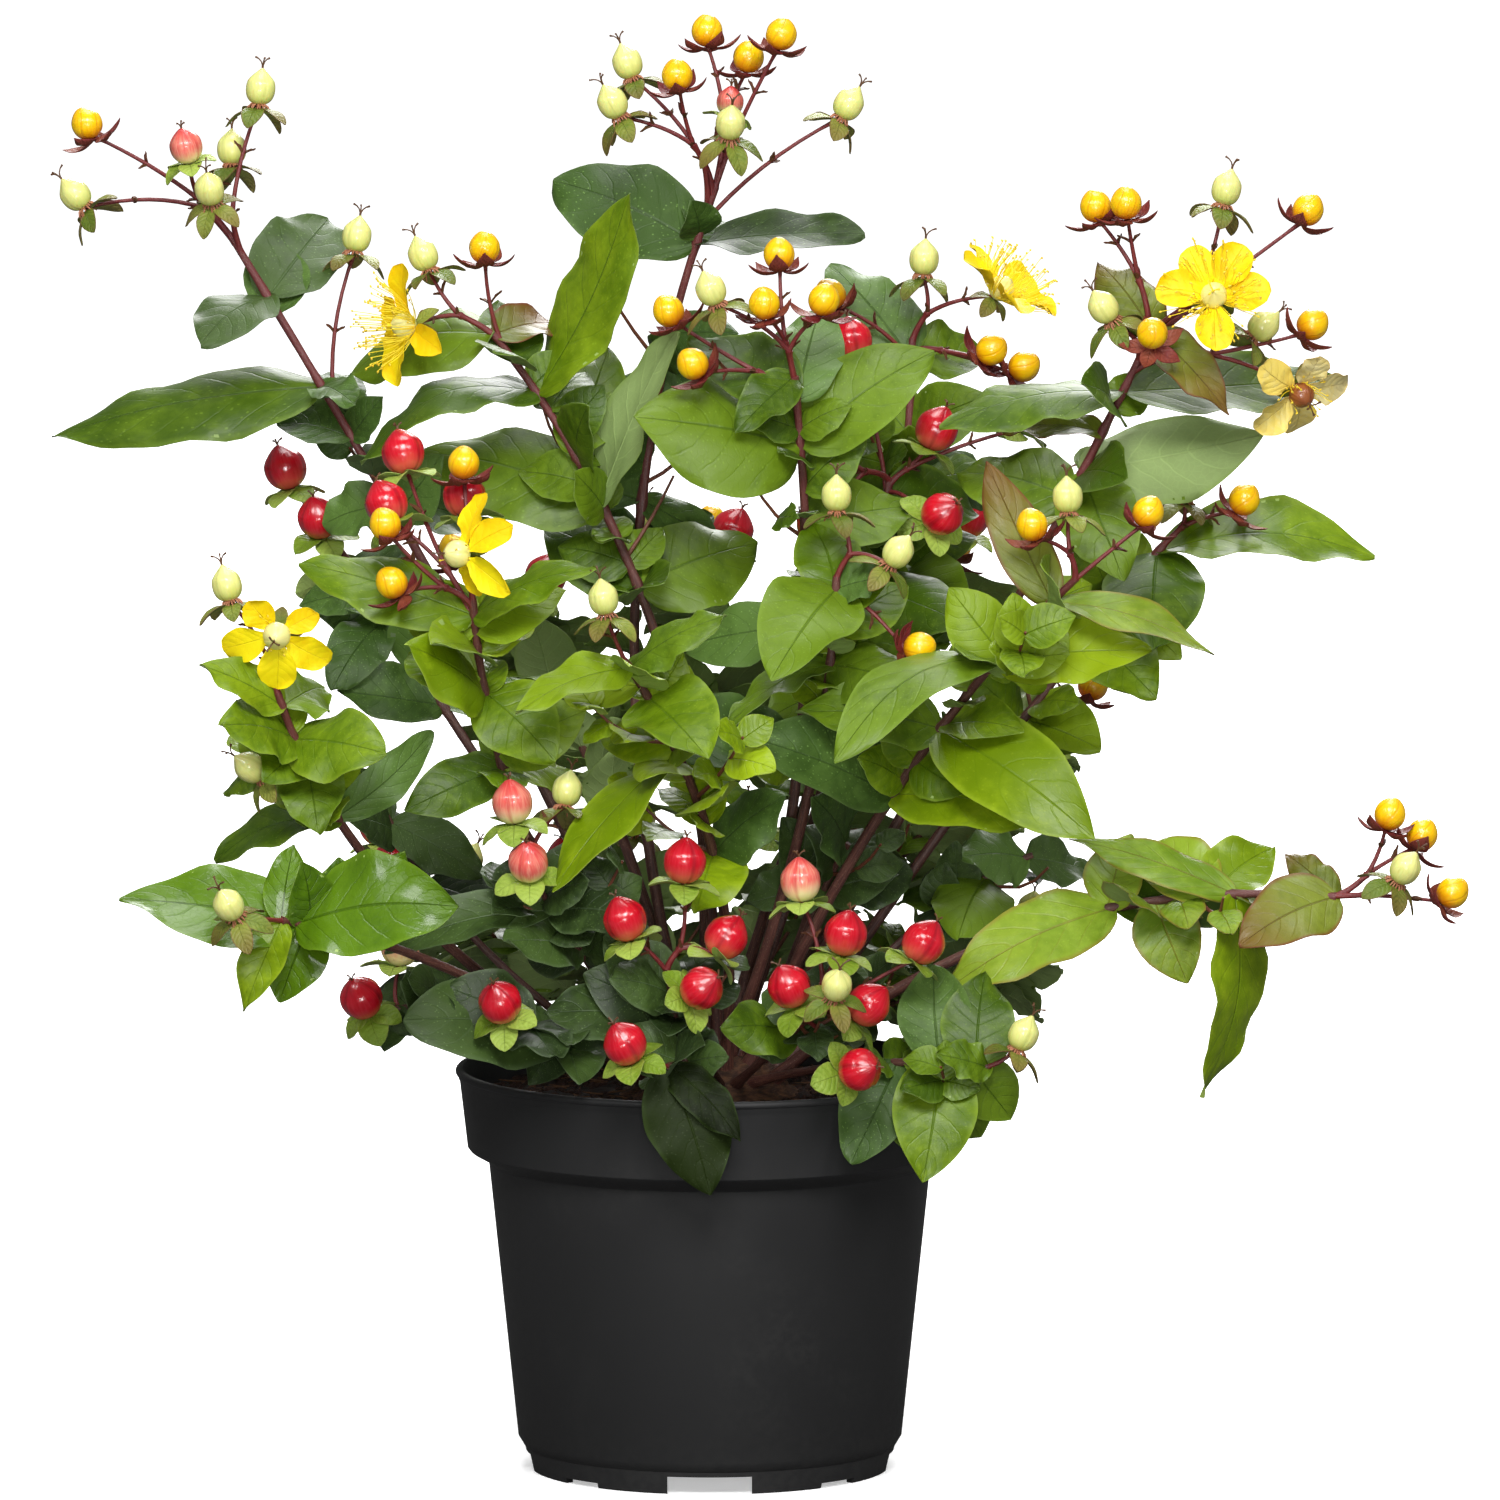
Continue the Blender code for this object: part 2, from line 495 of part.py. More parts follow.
def tube(points, ways, radii, sides):
    """Points and faces of a closed, tapering limb through these points."""
    verts = []
    faces = []
    side, over = across(ways[0])
    for point, way, radius in zip(points, ways, radii):
        side = (side - way * side.dot(way)).normalized()
        over = side.cross(way)
        for k in range(sides):
            angle = math.tau * k / sides
            verts.append(point + (side * math.cos(angle) + over * math.sin(angle)) * radius)
    for ring in range(len(points) - 1):
        for k in range(sides):
            n = (k + 1) % sides
            a, b = ring * sides, (ring + 1) * sides
            faces.append((a + k, a + n, b + n, b + k))
    faces.append(tuple(range(sides)))
    faces.append(tuple(range(len(verts) - sides, len(verts)))[::-1])
    return verts, faces


def leaf_shape(root, reach, face, form, grow=0.0, start=0.0):
    """Points and faces of one arched leaf from its root to its tip, keeled along its underside.

    Its form is its roll, width share and arch. A long leaf has two cross-sections and a short one
    has one. grow makes it that much larger all round, to test whether it is clear of its
    neighbours, and start leaves out that share at its root.
    """
    roll, broad, arch = form
    length = reach.length
    axis = reach.normalized()
    normal = face - axis * face.dot(axis)
    normal = normal.normalized() if normal.length > 0.05 else across(axis)[1]
    normal = Matrix.Rotation(math.radians(roll), 3, axis) @ normal
    side = axis.cross(normal)
    slim = min(1.0, length / LONG_LEAF)
    width = broad * length * (SHORT_LEAF_RATIO + (LEAF_RATIO - SHORT_LEAF_RATIO) * slim)
    blade = LONG_SECTIONS if length > TWO_SECTIONS else SHORT_SECTIONS
    sections = [(start, LEAF_ROOT_WIDTH / 2 + start * width, LEAF_ROOT_THICKNESS)]
    sections += [(station, width / 2 * share, max(LEAF_THICKNESS, length / LEAF_SLENDERNESS))
                 for station, share in blade]
    rings = []
    for station, half, thick in sections:
        rise = normal * (arch * length * math.sin(math.pi * station) + grow)
        middle = root + reach * station + rise
        edge = side * (half + grow)
        rings.append([middle - edge, middle + edge, middle - normal * (thick + 2 * grow)])
    return loft(rings, root + reach + axis * grow)


def loft(rings, tip):
    """Points and faces of rings with equal numbers of points, closed by a flat end and a tip."""
    sides = len(rings[0])
    verts = [point for ring in rings for point in ring] + [tip]
    faces = [tuple(range(sides))]
    for ring in range(len(rings) - 1):
        a, b = ring * sides, (ring + 1) * sides
        for k in range(sides):
            n = (k + 1) % sides
            faces.append((a + k, b + k, b + n, a + n))
    last = len(verts) - 1 - sides
    for k in range(sides):
        faces.append((last + k, len(verts) - 1, last + (k + 1) % sides))
    return verts, faces


def head_shape(head, root, base, way, grow=0.0):
    """A stalk from root to base that ends in sepals and an egg along way, as one closed shape."""
    side, over = across(way)
    stalk_side, stalk_over = across((base - root).normalized())
    if stalk_side.dot(side) < 0:
        stalk_side, stalk_over = -stalk_side, -stalk_over

    def ring(place, one, two, radius):
        angles = [math.tau * k / HEAD_SIDES for k in range(HEAD_SIDES)]
        return [place + (one * math.cos(a) + two * math.sin(a)) * radius for a in angles]

    stalk = BRANCHLET_RADIUS + grow
    radius = head.radius + grow
    sepal = max(head.sepal, head.radius * BARE_SEPAL) + grow
    shoulder, shoulder_share = HEAD_SHOULDER
    rings = [
        ring(root, stalk_side, stalk_over, stalk),
        ring(base - way * STALK_END, side, over, stalk + STALK_SWELL),
        ring(base + way * head.lift * sepal, side, over, sepal),
        ring(base + way * head.length * shoulder, side, over, radius * shoulder_share),
        ring(base + way * head.length * HEAD_WIDEST, side, over, radius),
    ]
    return loft(rings, base + way * (head.length + grow))


def rosette_shape(place, way):
    """Five blunt petals round a flower's middle, as one cupped rosette."""
    side, over = across(way)
    verts = [place + way * ROSETTE_HALF_THICKNESS, place - way * ROSETTE_HALF_THICKNESS]
    count = PETALS * len(PETAL_OUTLINE)
    for k in range(PETALS):
        for share, reach in PETAL_OUTLINE:
            angle = math.tau * (k + share) / PETALS
            out = side * math.cos(angle) + over * math.sin(angle)
            verts.append(place + (out + way * PETAL_LIFT * reach) * reach * PETAL_REACH)
    faces = []
    for k in range(count):
        n = (k + 1) % count
        faces += [(0, 2 + k, 2 + n), (1, 2 + n, 2 + k)]
    return verts, faces


Taken = namedtuple("Taken", "owner low high tree outer")


class Space:
    """The solids placed so far, by owner, for testing that a new piece stays clear of the rest.

    A piece keeps clear of all of a neighbour's solids. Of its own mass's solids it crosses only
    their roots, so its outer part is tested against theirs.
    """

    def __init__(self):
        self.taken = []

    def add(self, owner, shape, outer=None):
        verts, faces = shape
        outer_tree = BVHTree.FromPolygons(*(outer or shape))
        low, high = Vector(map(min, *verts)), Vector(map(max, *verts))
        self.taken.append(Taken(owner, low, high, BVHTree.FromPolygons(verts, faces), outer_tree))

    def free(self, owner, shape, outer=None):
        verts, faces = shape
        low, high = Vector(map(min, *verts)), Vector(map(max, *verts))
        tree = BVHTree.FromPolygons(verts, faces)
        outer_tree = BVHTree.FromPolygons(*outer) if outer else None
        for other in self.taken:
            if any(low[i] > other.high[i] or high[i] < other.low[i] for i in range(3)):
                continue
            if other.owner != owner:
                if tree.overlap(other.tree):
                    return False
            elif outer_tree and outer_tree.overlap(other.outer):
                return False
        return True


def cane_feet(canes):
    """A foot on the crown for each cane, on its own ring, towards its elbow but spaced apart."""
    feet = {}
    for ring, share in RING_REACH.items():
        found = sorted(
            (math.atan2(c.elbow[1], c.elbow[0]), c.name) for c in canes if c.ring == ring
        )
        angles = [angle for angle, _ in found]
        least = FOOT_SPACING / (CROWN_RADIUS * share)
        for _ in range(SPACING_ROUNDS):
            for k in range(len(angles)):
                n = (k + 1) % len(angles)
                turn = math.tau if n == 0 else 0
                short = least - (angles[n] + turn - angles[k])
                if short > 0:
                    angles[k] -= short / 2
                    angles[n] += short / 2
        for angle, (_, name) in zip(angles, found):
            feet[name] = crown_point(angle, share)
    return feet


def back_cane(name, turn, reach, height, leaf, seed, ring, kinds):
    """A cane of the far side, with crossed pairs of leaves and a few heads by rule."""
    rng = random.Random(seed)
    angle = math.radians(turn)
    out = Vector((math.cos(angle), math.sin(angle), 0))
    tip = out * reach + UP * height
    elbow = out * (reach * BACK_ELBOW[0]) + UP * (SOIL_TOP + (height - SOIL_TOP) * BACK_ELBOW[1])
    leaves = []
    for k, station in enumerate(BACK_STATIONS):
        length = leaf * (1 - abs(station - BACK_LONGEST_AT))
        sideways = 0 if k % 2 == 0 else 90
        for half in (0, 180):
            droops = half == 0 and sideways == 0
            aim = math.radians(turn + half + sideways + rng.uniform(-BACK_JITTER, BACK_JITTER))
            rise = math.radians(rng.uniform(*BACK_RISE) + (BACK_DROOP if droops else BACK_PERK))
            flat = length * math.cos(rise)
            up = length * math.sin(rise)
            leaves.append((station, flat * math.cos(aim), flat * math.sin(aim), up))
    heads = []
    for k, kind in enumerate(kinds):
        jitter = rng.uniform(-BACK_HEAD_JITTER, BACK_HEAD_JITTER)
        aim = math.radians(turn + 360 * k / len(kinds) + jitter)
        spread = rng.uniform(*BACK_SPREAD)
        lift = rng.uniform(*BACK_LIFT)
        heads.append((kind, spread * math.cos(aim), spread * math.sin(aim), lift))
    return Cane(name, ring, tuple(elbow), tuple(tip), tuple(leaves), tuple(heads))


class Grower:
    """Grows every cane into boughs and leafy masses that keep clear of each other."""

    def __init__(self, space, canes, feet):
        self.space = space
        self.feet = feet
        self.canes = canes
        self.pieces = {}

    def line(self, cane):
        """Foot, elbow and tip of a cane, with its foot clear of the crown."""
        place, way = self.feet[cane.name]
        return place + way * GAP, Vector(cane.elbow), Vector(cane.tip)

    def limb(self, cane, start, end, radii, sides, steps):
        """Tube of the cane's stretch from station start to end."""
        foot, elbow, tip = self.line(cane)
        stations = [start + (end - start) * k / steps for k in range(steps + 1)]
        points = [bend(foot, elbow, tip, t) for t in stations]
        ways = [heading(foot, elbow, tip, t) for t in stations]
        if start == 0:
            ways[0] = self.feet[cane.name][1]
        full = STEM_FULLNESS if sides == STEM_SIDES else 1.0
        sizes = [full * (radii[0] + (radii[1] - radii[0]) * t) for t in stations]
        return tube(points, ways, sizes, sides)

    def stems(self, cane, tall):
        """Places the cane's bough and the stem of its mass."""
        foot, elbow, tip = self.line(cane)
        radii = TALL_RADII if tall else LOW_RADII
        start = 0.0
        if tall:
            length = (tip - foot).length
            lowest = min(leaf[0] for leaf in cane.leaves)
            end = lowest - STEM_BELOW_LEAVES / length
            bough = self.limb(cane, 0.0, end, radii, BOUGH_SIDES, STEPS)
            self.keep("bough_" + cane.name, bough)
            start = end + GAP / (2 * ((elbow - foot) * (1 - end) + (tip - elbow) * end).length)
        stem = self.limb(cane, start, 1.0, radii, STEM_SIDES, STEPS)
        self.keep("foliage_" + cane.name, stem)

    def keep(self, owner, shape):
        """Keeps a limb, which has to be clear of every other by the places in the tables."""
        if not self.space.free(owner, shape):
            raise ValueError(f"{owner} touches a neighbour")
        self.space.add(owner, shape)
        self.pieces.setdefault(owner, []).append(shape)

    def dress(self, cane):
        """Hangs a cane's heads and leaves on the stem of its mass."""
        face = FACE_FRONT
        if cane.name.startswith("back"):
            out = Vector((cane.tip[0], cane.tip[1], 0)).normalized()
            face = out * BACK_FACE_OUT + UP * BACK_FACE_UP
        owner = "foliage_" + cane.name
        for number, row in enumerate(cane.heads):
            self.head(cane, number, row, owner)
        for row in cane.leaves:
            self.leaf(cane, row, face, owner)

    def leaf(self, cane, row, face, owner):
        """Places a leaf, turned aside or made smaller where it would touch a neighbour."""
        station, right, away, up, *given = row
        form = (*given, *PLAIN_LEAF[len(given):])
        node = bend(*self.line(cane), station)
        reach = Vector((right, away, up))
        for share in SMALLER:
            for aside in ASIDE:
                aim = Matrix.Rotation(math.radians(aside), 3, "Z") @ reach * share
                root = node - aim.normalized() * SUNK
                outer = leaf_shape(root, aim, face, form, GAP, OUTER_FROM)
                if self.space.free(owner, leaf_shape(root, aim, face, form, GAP), outer):
                    shape = leaf_shape(root, aim, face, form)
                    self.space.add(owner, shape, leaf_shape(root, aim, face, form, 0, OUTER_FROM))
                    self.pieces[owner].append(shape)
                    return

    def head(self, cane, number, row, owner):
        """Places a head on its branchlet, drawn in where it would touch a neighbour."""
        kind, right, away, up, *rest = row
        station = rest[0] if rest else 1.0
        foot, elbow, tip = self.line(cane)
        down = heading(foot, elbow, tip, station) * (SUNK + BRANCHLET_STEP * number)
        node = bend(foot, elbow, tip, station)
        root = node - down
        head = HEADS[kind]
        reach = Vector((right, away, up))
        for share in SMALLER:
            for aside in ASIDE:
                aim = Matrix.Rotation(math.radians(aside), 3, "Z") @ reach * share
                if kind in ("flower", "spent"):
                    turn, rise = (math.radians(a) for a in rest[1])
                    flat = math.cos(rise)
                    way = Vector((flat * math.cos(turn), flat * math.sin(turn), math.sin(rise)))
                else:
                    way = (aim.normalized() * HEAD_LEAN + UP * HEAD_RISE).normalized()
                middle = node + aim
                base = middle - way * (head.length * 0.5)
                shapes = [(head_shape(head, root, base, way), head_shape(head, base - way, base, way))]
                guards = [
                    (head_shape(head, root, base, way, GAP), head_shape(head, base - way, base, way, GAP))
                ]
                if not head.sepal:
                    petals = rosette_shape(base + way * ROSETTE_LIFT, way)
                    guards.append((petals, petals))
                    shapes.append((petals, petals))
                if all(self.space.free(owner, *guard) for guard in guards):
                    for shape, outer in shapes:
                        self.space.add(owner, shape, outer)
                        self.pieces[owner].append(shape)
                    return


def join_mass(name, shapes, material):
    """Joins a mass's shapes into one closed solid."""
    first = solid(name, *shapes[0], material)
    group = bpy.data.collections.new(name + "_pieces")
    bpy.context.scene.collection.children.link(group)
    for k, shape in enumerate(shapes[1:]):
        piece = solid(f"{name}_piece_{k}", *shape)
        bpy.context.scene.collection.objects.unlink(piece)
        group.objects.link(piece)
    if len(shapes) > 1:
        apply_boolean(first, group, "UNION", "MANIFOLD")
    for piece in list(group.objects):
        bpy.data.objects.remove(piece, do_unlink=True)
    bpy.data.collections.remove(group)
    keep_largest(first)


def keep_largest(ob):
    """Drops loose scraps and the walls of sealed hollows, which share no edge with the main body."""
    work = bmesh.new()
    work.from_mesh(ob.data)
    bmesh.ops.triangulate(work, faces=work.faces)
    seen = set()
    bodies = []
    for face in work.faces:
        if face.index in seen:
            continue
        body = []
        front = [face]
        seen.add(face.index)
        while front:
            here = front.pop()
            body.append(here)
            for edge in here.edges:
                if len(edge.link_faces) > 2:
                    continue
                for there in edge.link_faces:
                    if there.index not in seen:
                        seen.add(there.index)
                        front.append(there)
        bodies.append(body)
    bodies.sort(key=len)
    for body in bodies[:-1]:
        bmesh.ops.delete(work, geom=body, context="FACES")
    work.to_mesh(ob.data)
    work.free()


def main():
    clear_scene()
    pot = make_pot()
    peat = make_peat()
    crown = make_crown()
    space = Space()
    for ob in (pot, peat, crown):
        verts = [v.co / MM for v in ob.data.vertices]
        space.add(ob.name, (verts, [tuple(p.vertices) for p in ob.data.polygons]))

    back_tall = [back_cane(*row, "middle", BACK_TALL_HEADS) for row in BACK_TALL]
    back_low = [back_cane(*row, "low", BACK_LOW_HEADS) for row in BACK_LOW]
    canes = [(c, True) for c in (*TALL_CANES, *back_tall)]
    canes += [(c, False) for c in (*LOW_CANES, *back_low)]
    feet = cane_feet([c for c, _ in canes])
    grower = Grower(space, canes, feet)
    for cane, tall in canes:
        grower.stems(cane, tall)
    for cane, _ in canes:
        grower.dress(cane)
    bark = plain_material("cane bark", (0.16, 0.035, 0.03), 0.6)
    leaf_green = plain_material("leaf green", (0.12, 0.24, 0.03), 0.5)
    for owner, shapes in grower.pieces.items():
        if owner.startswith("foliage"):
            join_mass(owner, shapes, leaf_green)
        else:
            smooth(solid(owner, *shapes[0], bark))


main()
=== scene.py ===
"""Looks of a potted hypericum with buds, flowers and berries, in a black nursery pot.

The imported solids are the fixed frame. The canes, leaves, fruit and blossom grow here by the same
rule as the solids, carried on to finer leaves and twigs within the same reach. Sizes and places are
in millimetres and the meshes are made in metres, +Z up. The plant is seen from -Y.
"""

import logging
import math
import random
from dataclasses import dataclass, field
from enum import Enum
from typing import Callable, Iterable, Iterator, NamedTuple, Sequence

import bmesh
import bpy
import numpy as np
from mathutils import Matrix, Vector, noise
from mathutils.bvhtree import BVHTree


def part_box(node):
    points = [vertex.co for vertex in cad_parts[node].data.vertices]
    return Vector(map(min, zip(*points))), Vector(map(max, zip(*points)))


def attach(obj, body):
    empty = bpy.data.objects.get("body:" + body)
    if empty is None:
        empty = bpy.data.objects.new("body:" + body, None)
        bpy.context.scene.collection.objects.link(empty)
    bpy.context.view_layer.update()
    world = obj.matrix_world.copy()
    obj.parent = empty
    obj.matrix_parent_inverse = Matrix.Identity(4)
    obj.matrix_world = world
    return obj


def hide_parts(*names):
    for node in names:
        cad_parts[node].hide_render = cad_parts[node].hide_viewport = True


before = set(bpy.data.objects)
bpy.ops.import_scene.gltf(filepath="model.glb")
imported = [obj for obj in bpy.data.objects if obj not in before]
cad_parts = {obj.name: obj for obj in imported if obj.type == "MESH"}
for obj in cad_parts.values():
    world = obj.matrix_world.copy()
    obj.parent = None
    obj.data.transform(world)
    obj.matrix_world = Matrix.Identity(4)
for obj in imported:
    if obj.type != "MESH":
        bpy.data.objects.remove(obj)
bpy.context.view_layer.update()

MM = 0.001
GAP = 0.3
UP = Vector((0, 0, 1))
ROOT = "root"
# Millimetres to one step of the map along a pipe; degrees past which an edge stays sharp.
MARK_LENGTH = 40.0
SHARP_PLANT = 60
SHARP_POT = 32

Colour = tuple[float, float, float]
Shape = tuple[list[Vector], list[tuple[int, ...]]]
Loft = tuple[np.ndarray, np.ndarray]
LOG = logging.getLogger("hypericum")


class Kind(Enum):
    """What a branchlet carries."""

    BUD = "bud"
    PALE = "pale berry"
    RED = "red berry"
    PINK = "pink berry"
    FLOWER = "flower"
    BARE = "flower that has shed its stamens"
    SPENT = "spent flower"


class Tint(Enum):
    """Age and colour of a spray of leaves. The darkest tint is painted shade, and the deep tint is the
    dark colour of old leaves that also serves as painted shade.
    """

    OLD = "old"
    GROWN = "grown"
    BRIGHT = "bright"
    YOUNG = "young"
    GLOSSY = "glossy"
    FLUSHED = "flushed"
    TAWNY = "tawny"
    # Dark colour of old leaves; on the low canes and a few shaded leaves it is also painted shade.
    DEEP = "deep"
    # Wholly painted shade: a darkened leaf colour for leaves that sit in shade.
    DIM = "dim"


BUD, PALE, RED, PINK, FLOWER, BARE, SPENT = Kind
OLD, GROWN, BRIGHT, YOUNG, GLOSSY, FLUSHED, TAWNY, DEEP, DIM = Tint


# Pot, peat and woody crown, as in the solids
RIM_HEIGHT = 135.0
RIM_RADIUS = 85.0
BAND_RADIUS = 81.0
BAND_BOTTOM = 108.0
SHOULDER_BOTTOM = 103.5
SHOULDER_RADIUS = 74.0
BODY_FOOT_RADIUS = 64.2
BODY_FOOT_HEIGHT = 11.0
FOOT_STEP_HEIGHT = 8.0
FOOT_RADIUS = 62.0
GROUND_RADIUS = 60.4
WALL = 1.4
LIP = 1.5
FLOOR_CORNER = 1.5
FOOT_WALL = 3.0
FLOOR_BOTTOM = 6.5
CENTRE_PAD_RADIUS = 14.0
FOOT_SPACES = 4
NOTCH_WIDTH = 28.0
NOTCH_HEIGHT = 6.0
RECESS_WIDTH = 15.0
RECESS_HEIGHT = 1.8
DRAIN_SLOT = (16.0, 5.0)
SOIL_TOP = 126.0
SOIL_MOUND = 1.6
CROWN_RADIUS = 27.0
CROWN_HEIGHT = 15.0
CROWN_FLARE = 4.0

# Canes, as in the solids
TALL_RADII = (2.5, 1.5)
LOW_RADII = (1.9, 1.1)
BOUGH_SIDES = 5
STEM_SIDES = 3
STEM_FULLNESS = 1.25
STEPS = 3
FOOT_SPACING = 6.6
SPACING_ROUNDS = 200
STEM_BELOW_LEAVES = 6.0
RING_REACH = {"top": 0.34, "middle": 0.64, "low": 0.9}
BRANCHLET_RADIUS = 0.9
BRANCHLET_STEP = 2.0
HEAD_SIDES = 4
OUTER_FROM = 0.2
SUNK = 0.8

# Leaves, as in the solids
LEAF_RATIO = 0.37
SHORT_LEAF_RATIO = 0.9
LONG_LEAF = 90.0
TWO_SECTIONS = 50.0
LEAF_THICKNESS = 1.3
PLAIN_LEAF = (0.0, 1.0, 0.07)
LEAF_ROOT_WIDTH = 1.4
LEAF_ROOT_THICKNESS = 0.9
LEAF_SLENDERNESS = 60.0
LONG_SECTIONS = ((0.28, 1.0), (0.7, 0.8))
SHORT_SECTIONS = ((0.42, 1.0),)
FACE_FRONT = Vector((0, -0.78, 0.62))
BACK_FACE_OUT = 0.6
BACK_FACE_UP = 0.8


@dataclass(frozen=True)
class Head:
    """Length, radius, sepal reach and sepal lift of one kind of head."""

    length: float
    radius: float
    sepal: float
    lift: float


HEADS = {
    BUD: Head(12.0, 5.6, 8.5, 0.45),
    PALE: Head(14.5, 5.8, 9.5, -0.5),
    RED: Head(16.0, 7.4, 11.0, -0.45),
    PINK: Head(15.5, 6.9, 10.5, -0.45),
    FLOWER: Head(9.0, 4.4, 0.0, 0.0),
    BARE: Head(9.0, 4.4, 0.0, 0.0),
    SPENT: Head(9.0, 4.4, 0.0, 0.0),
}
STALK_END = 1.5
STALK_SWELL = 0.3
BARE_SEPAL = 0.6
HEAD_SHOULDER = (0.14, 0.7)
HEAD_WIDEST = 0.52
HEAD_LEAN = 0.6
HEAD_RISE = 0.5
PETALS = 5
PETAL_REACH = 20.0
PETAL_LIFT = 0.3
PETAL_OUTLINE = ((0.0, 0.34), (0.3, 0.94), (0.5, 1.04), (0.7, 0.94))
ROSETTE_HALF_THICKNESS = 1.2
ROSETTE_LIFT = 1.5


@dataclass(frozen=True)
class Cane:
    """One cane, its leaves and heads, and the tint of its leaves.

    A leaf is (station along the cane, then how far right, away and up its tip stands of its node,
    then any roll in degrees, share of the usual width, and arch). A head is (kind, right, away, up of
    the tip, then any other station it leaves the cane at, and any direction that it faces).
    """

    name: str
    ring: str
    elbow: tuple[float, float, float]
    tip: tuple[float, float, float]
    leaves: tuple[tuple[float, ...], ...]
    heads: tuple[tuple, ...]
    tint: Tint = OLD

    @property
    def mass(self) -> str:
        """The node of its foliage."""
        return "foliage_" + self.name

    @property
    def face(self) -> Vector:
        """Where the upper sides of its leaves look: to the front, or outwards on the far side.

        Returns:
            The way, of about unit length.
        """
        if not self.name.startswith("back"):
            return FACE_FRONT
        out = Vector((self.tip[0], self.tip[1], 0)).normalized()
        return out * BACK_FACE_OUT + UP * BACK_FACE_UP


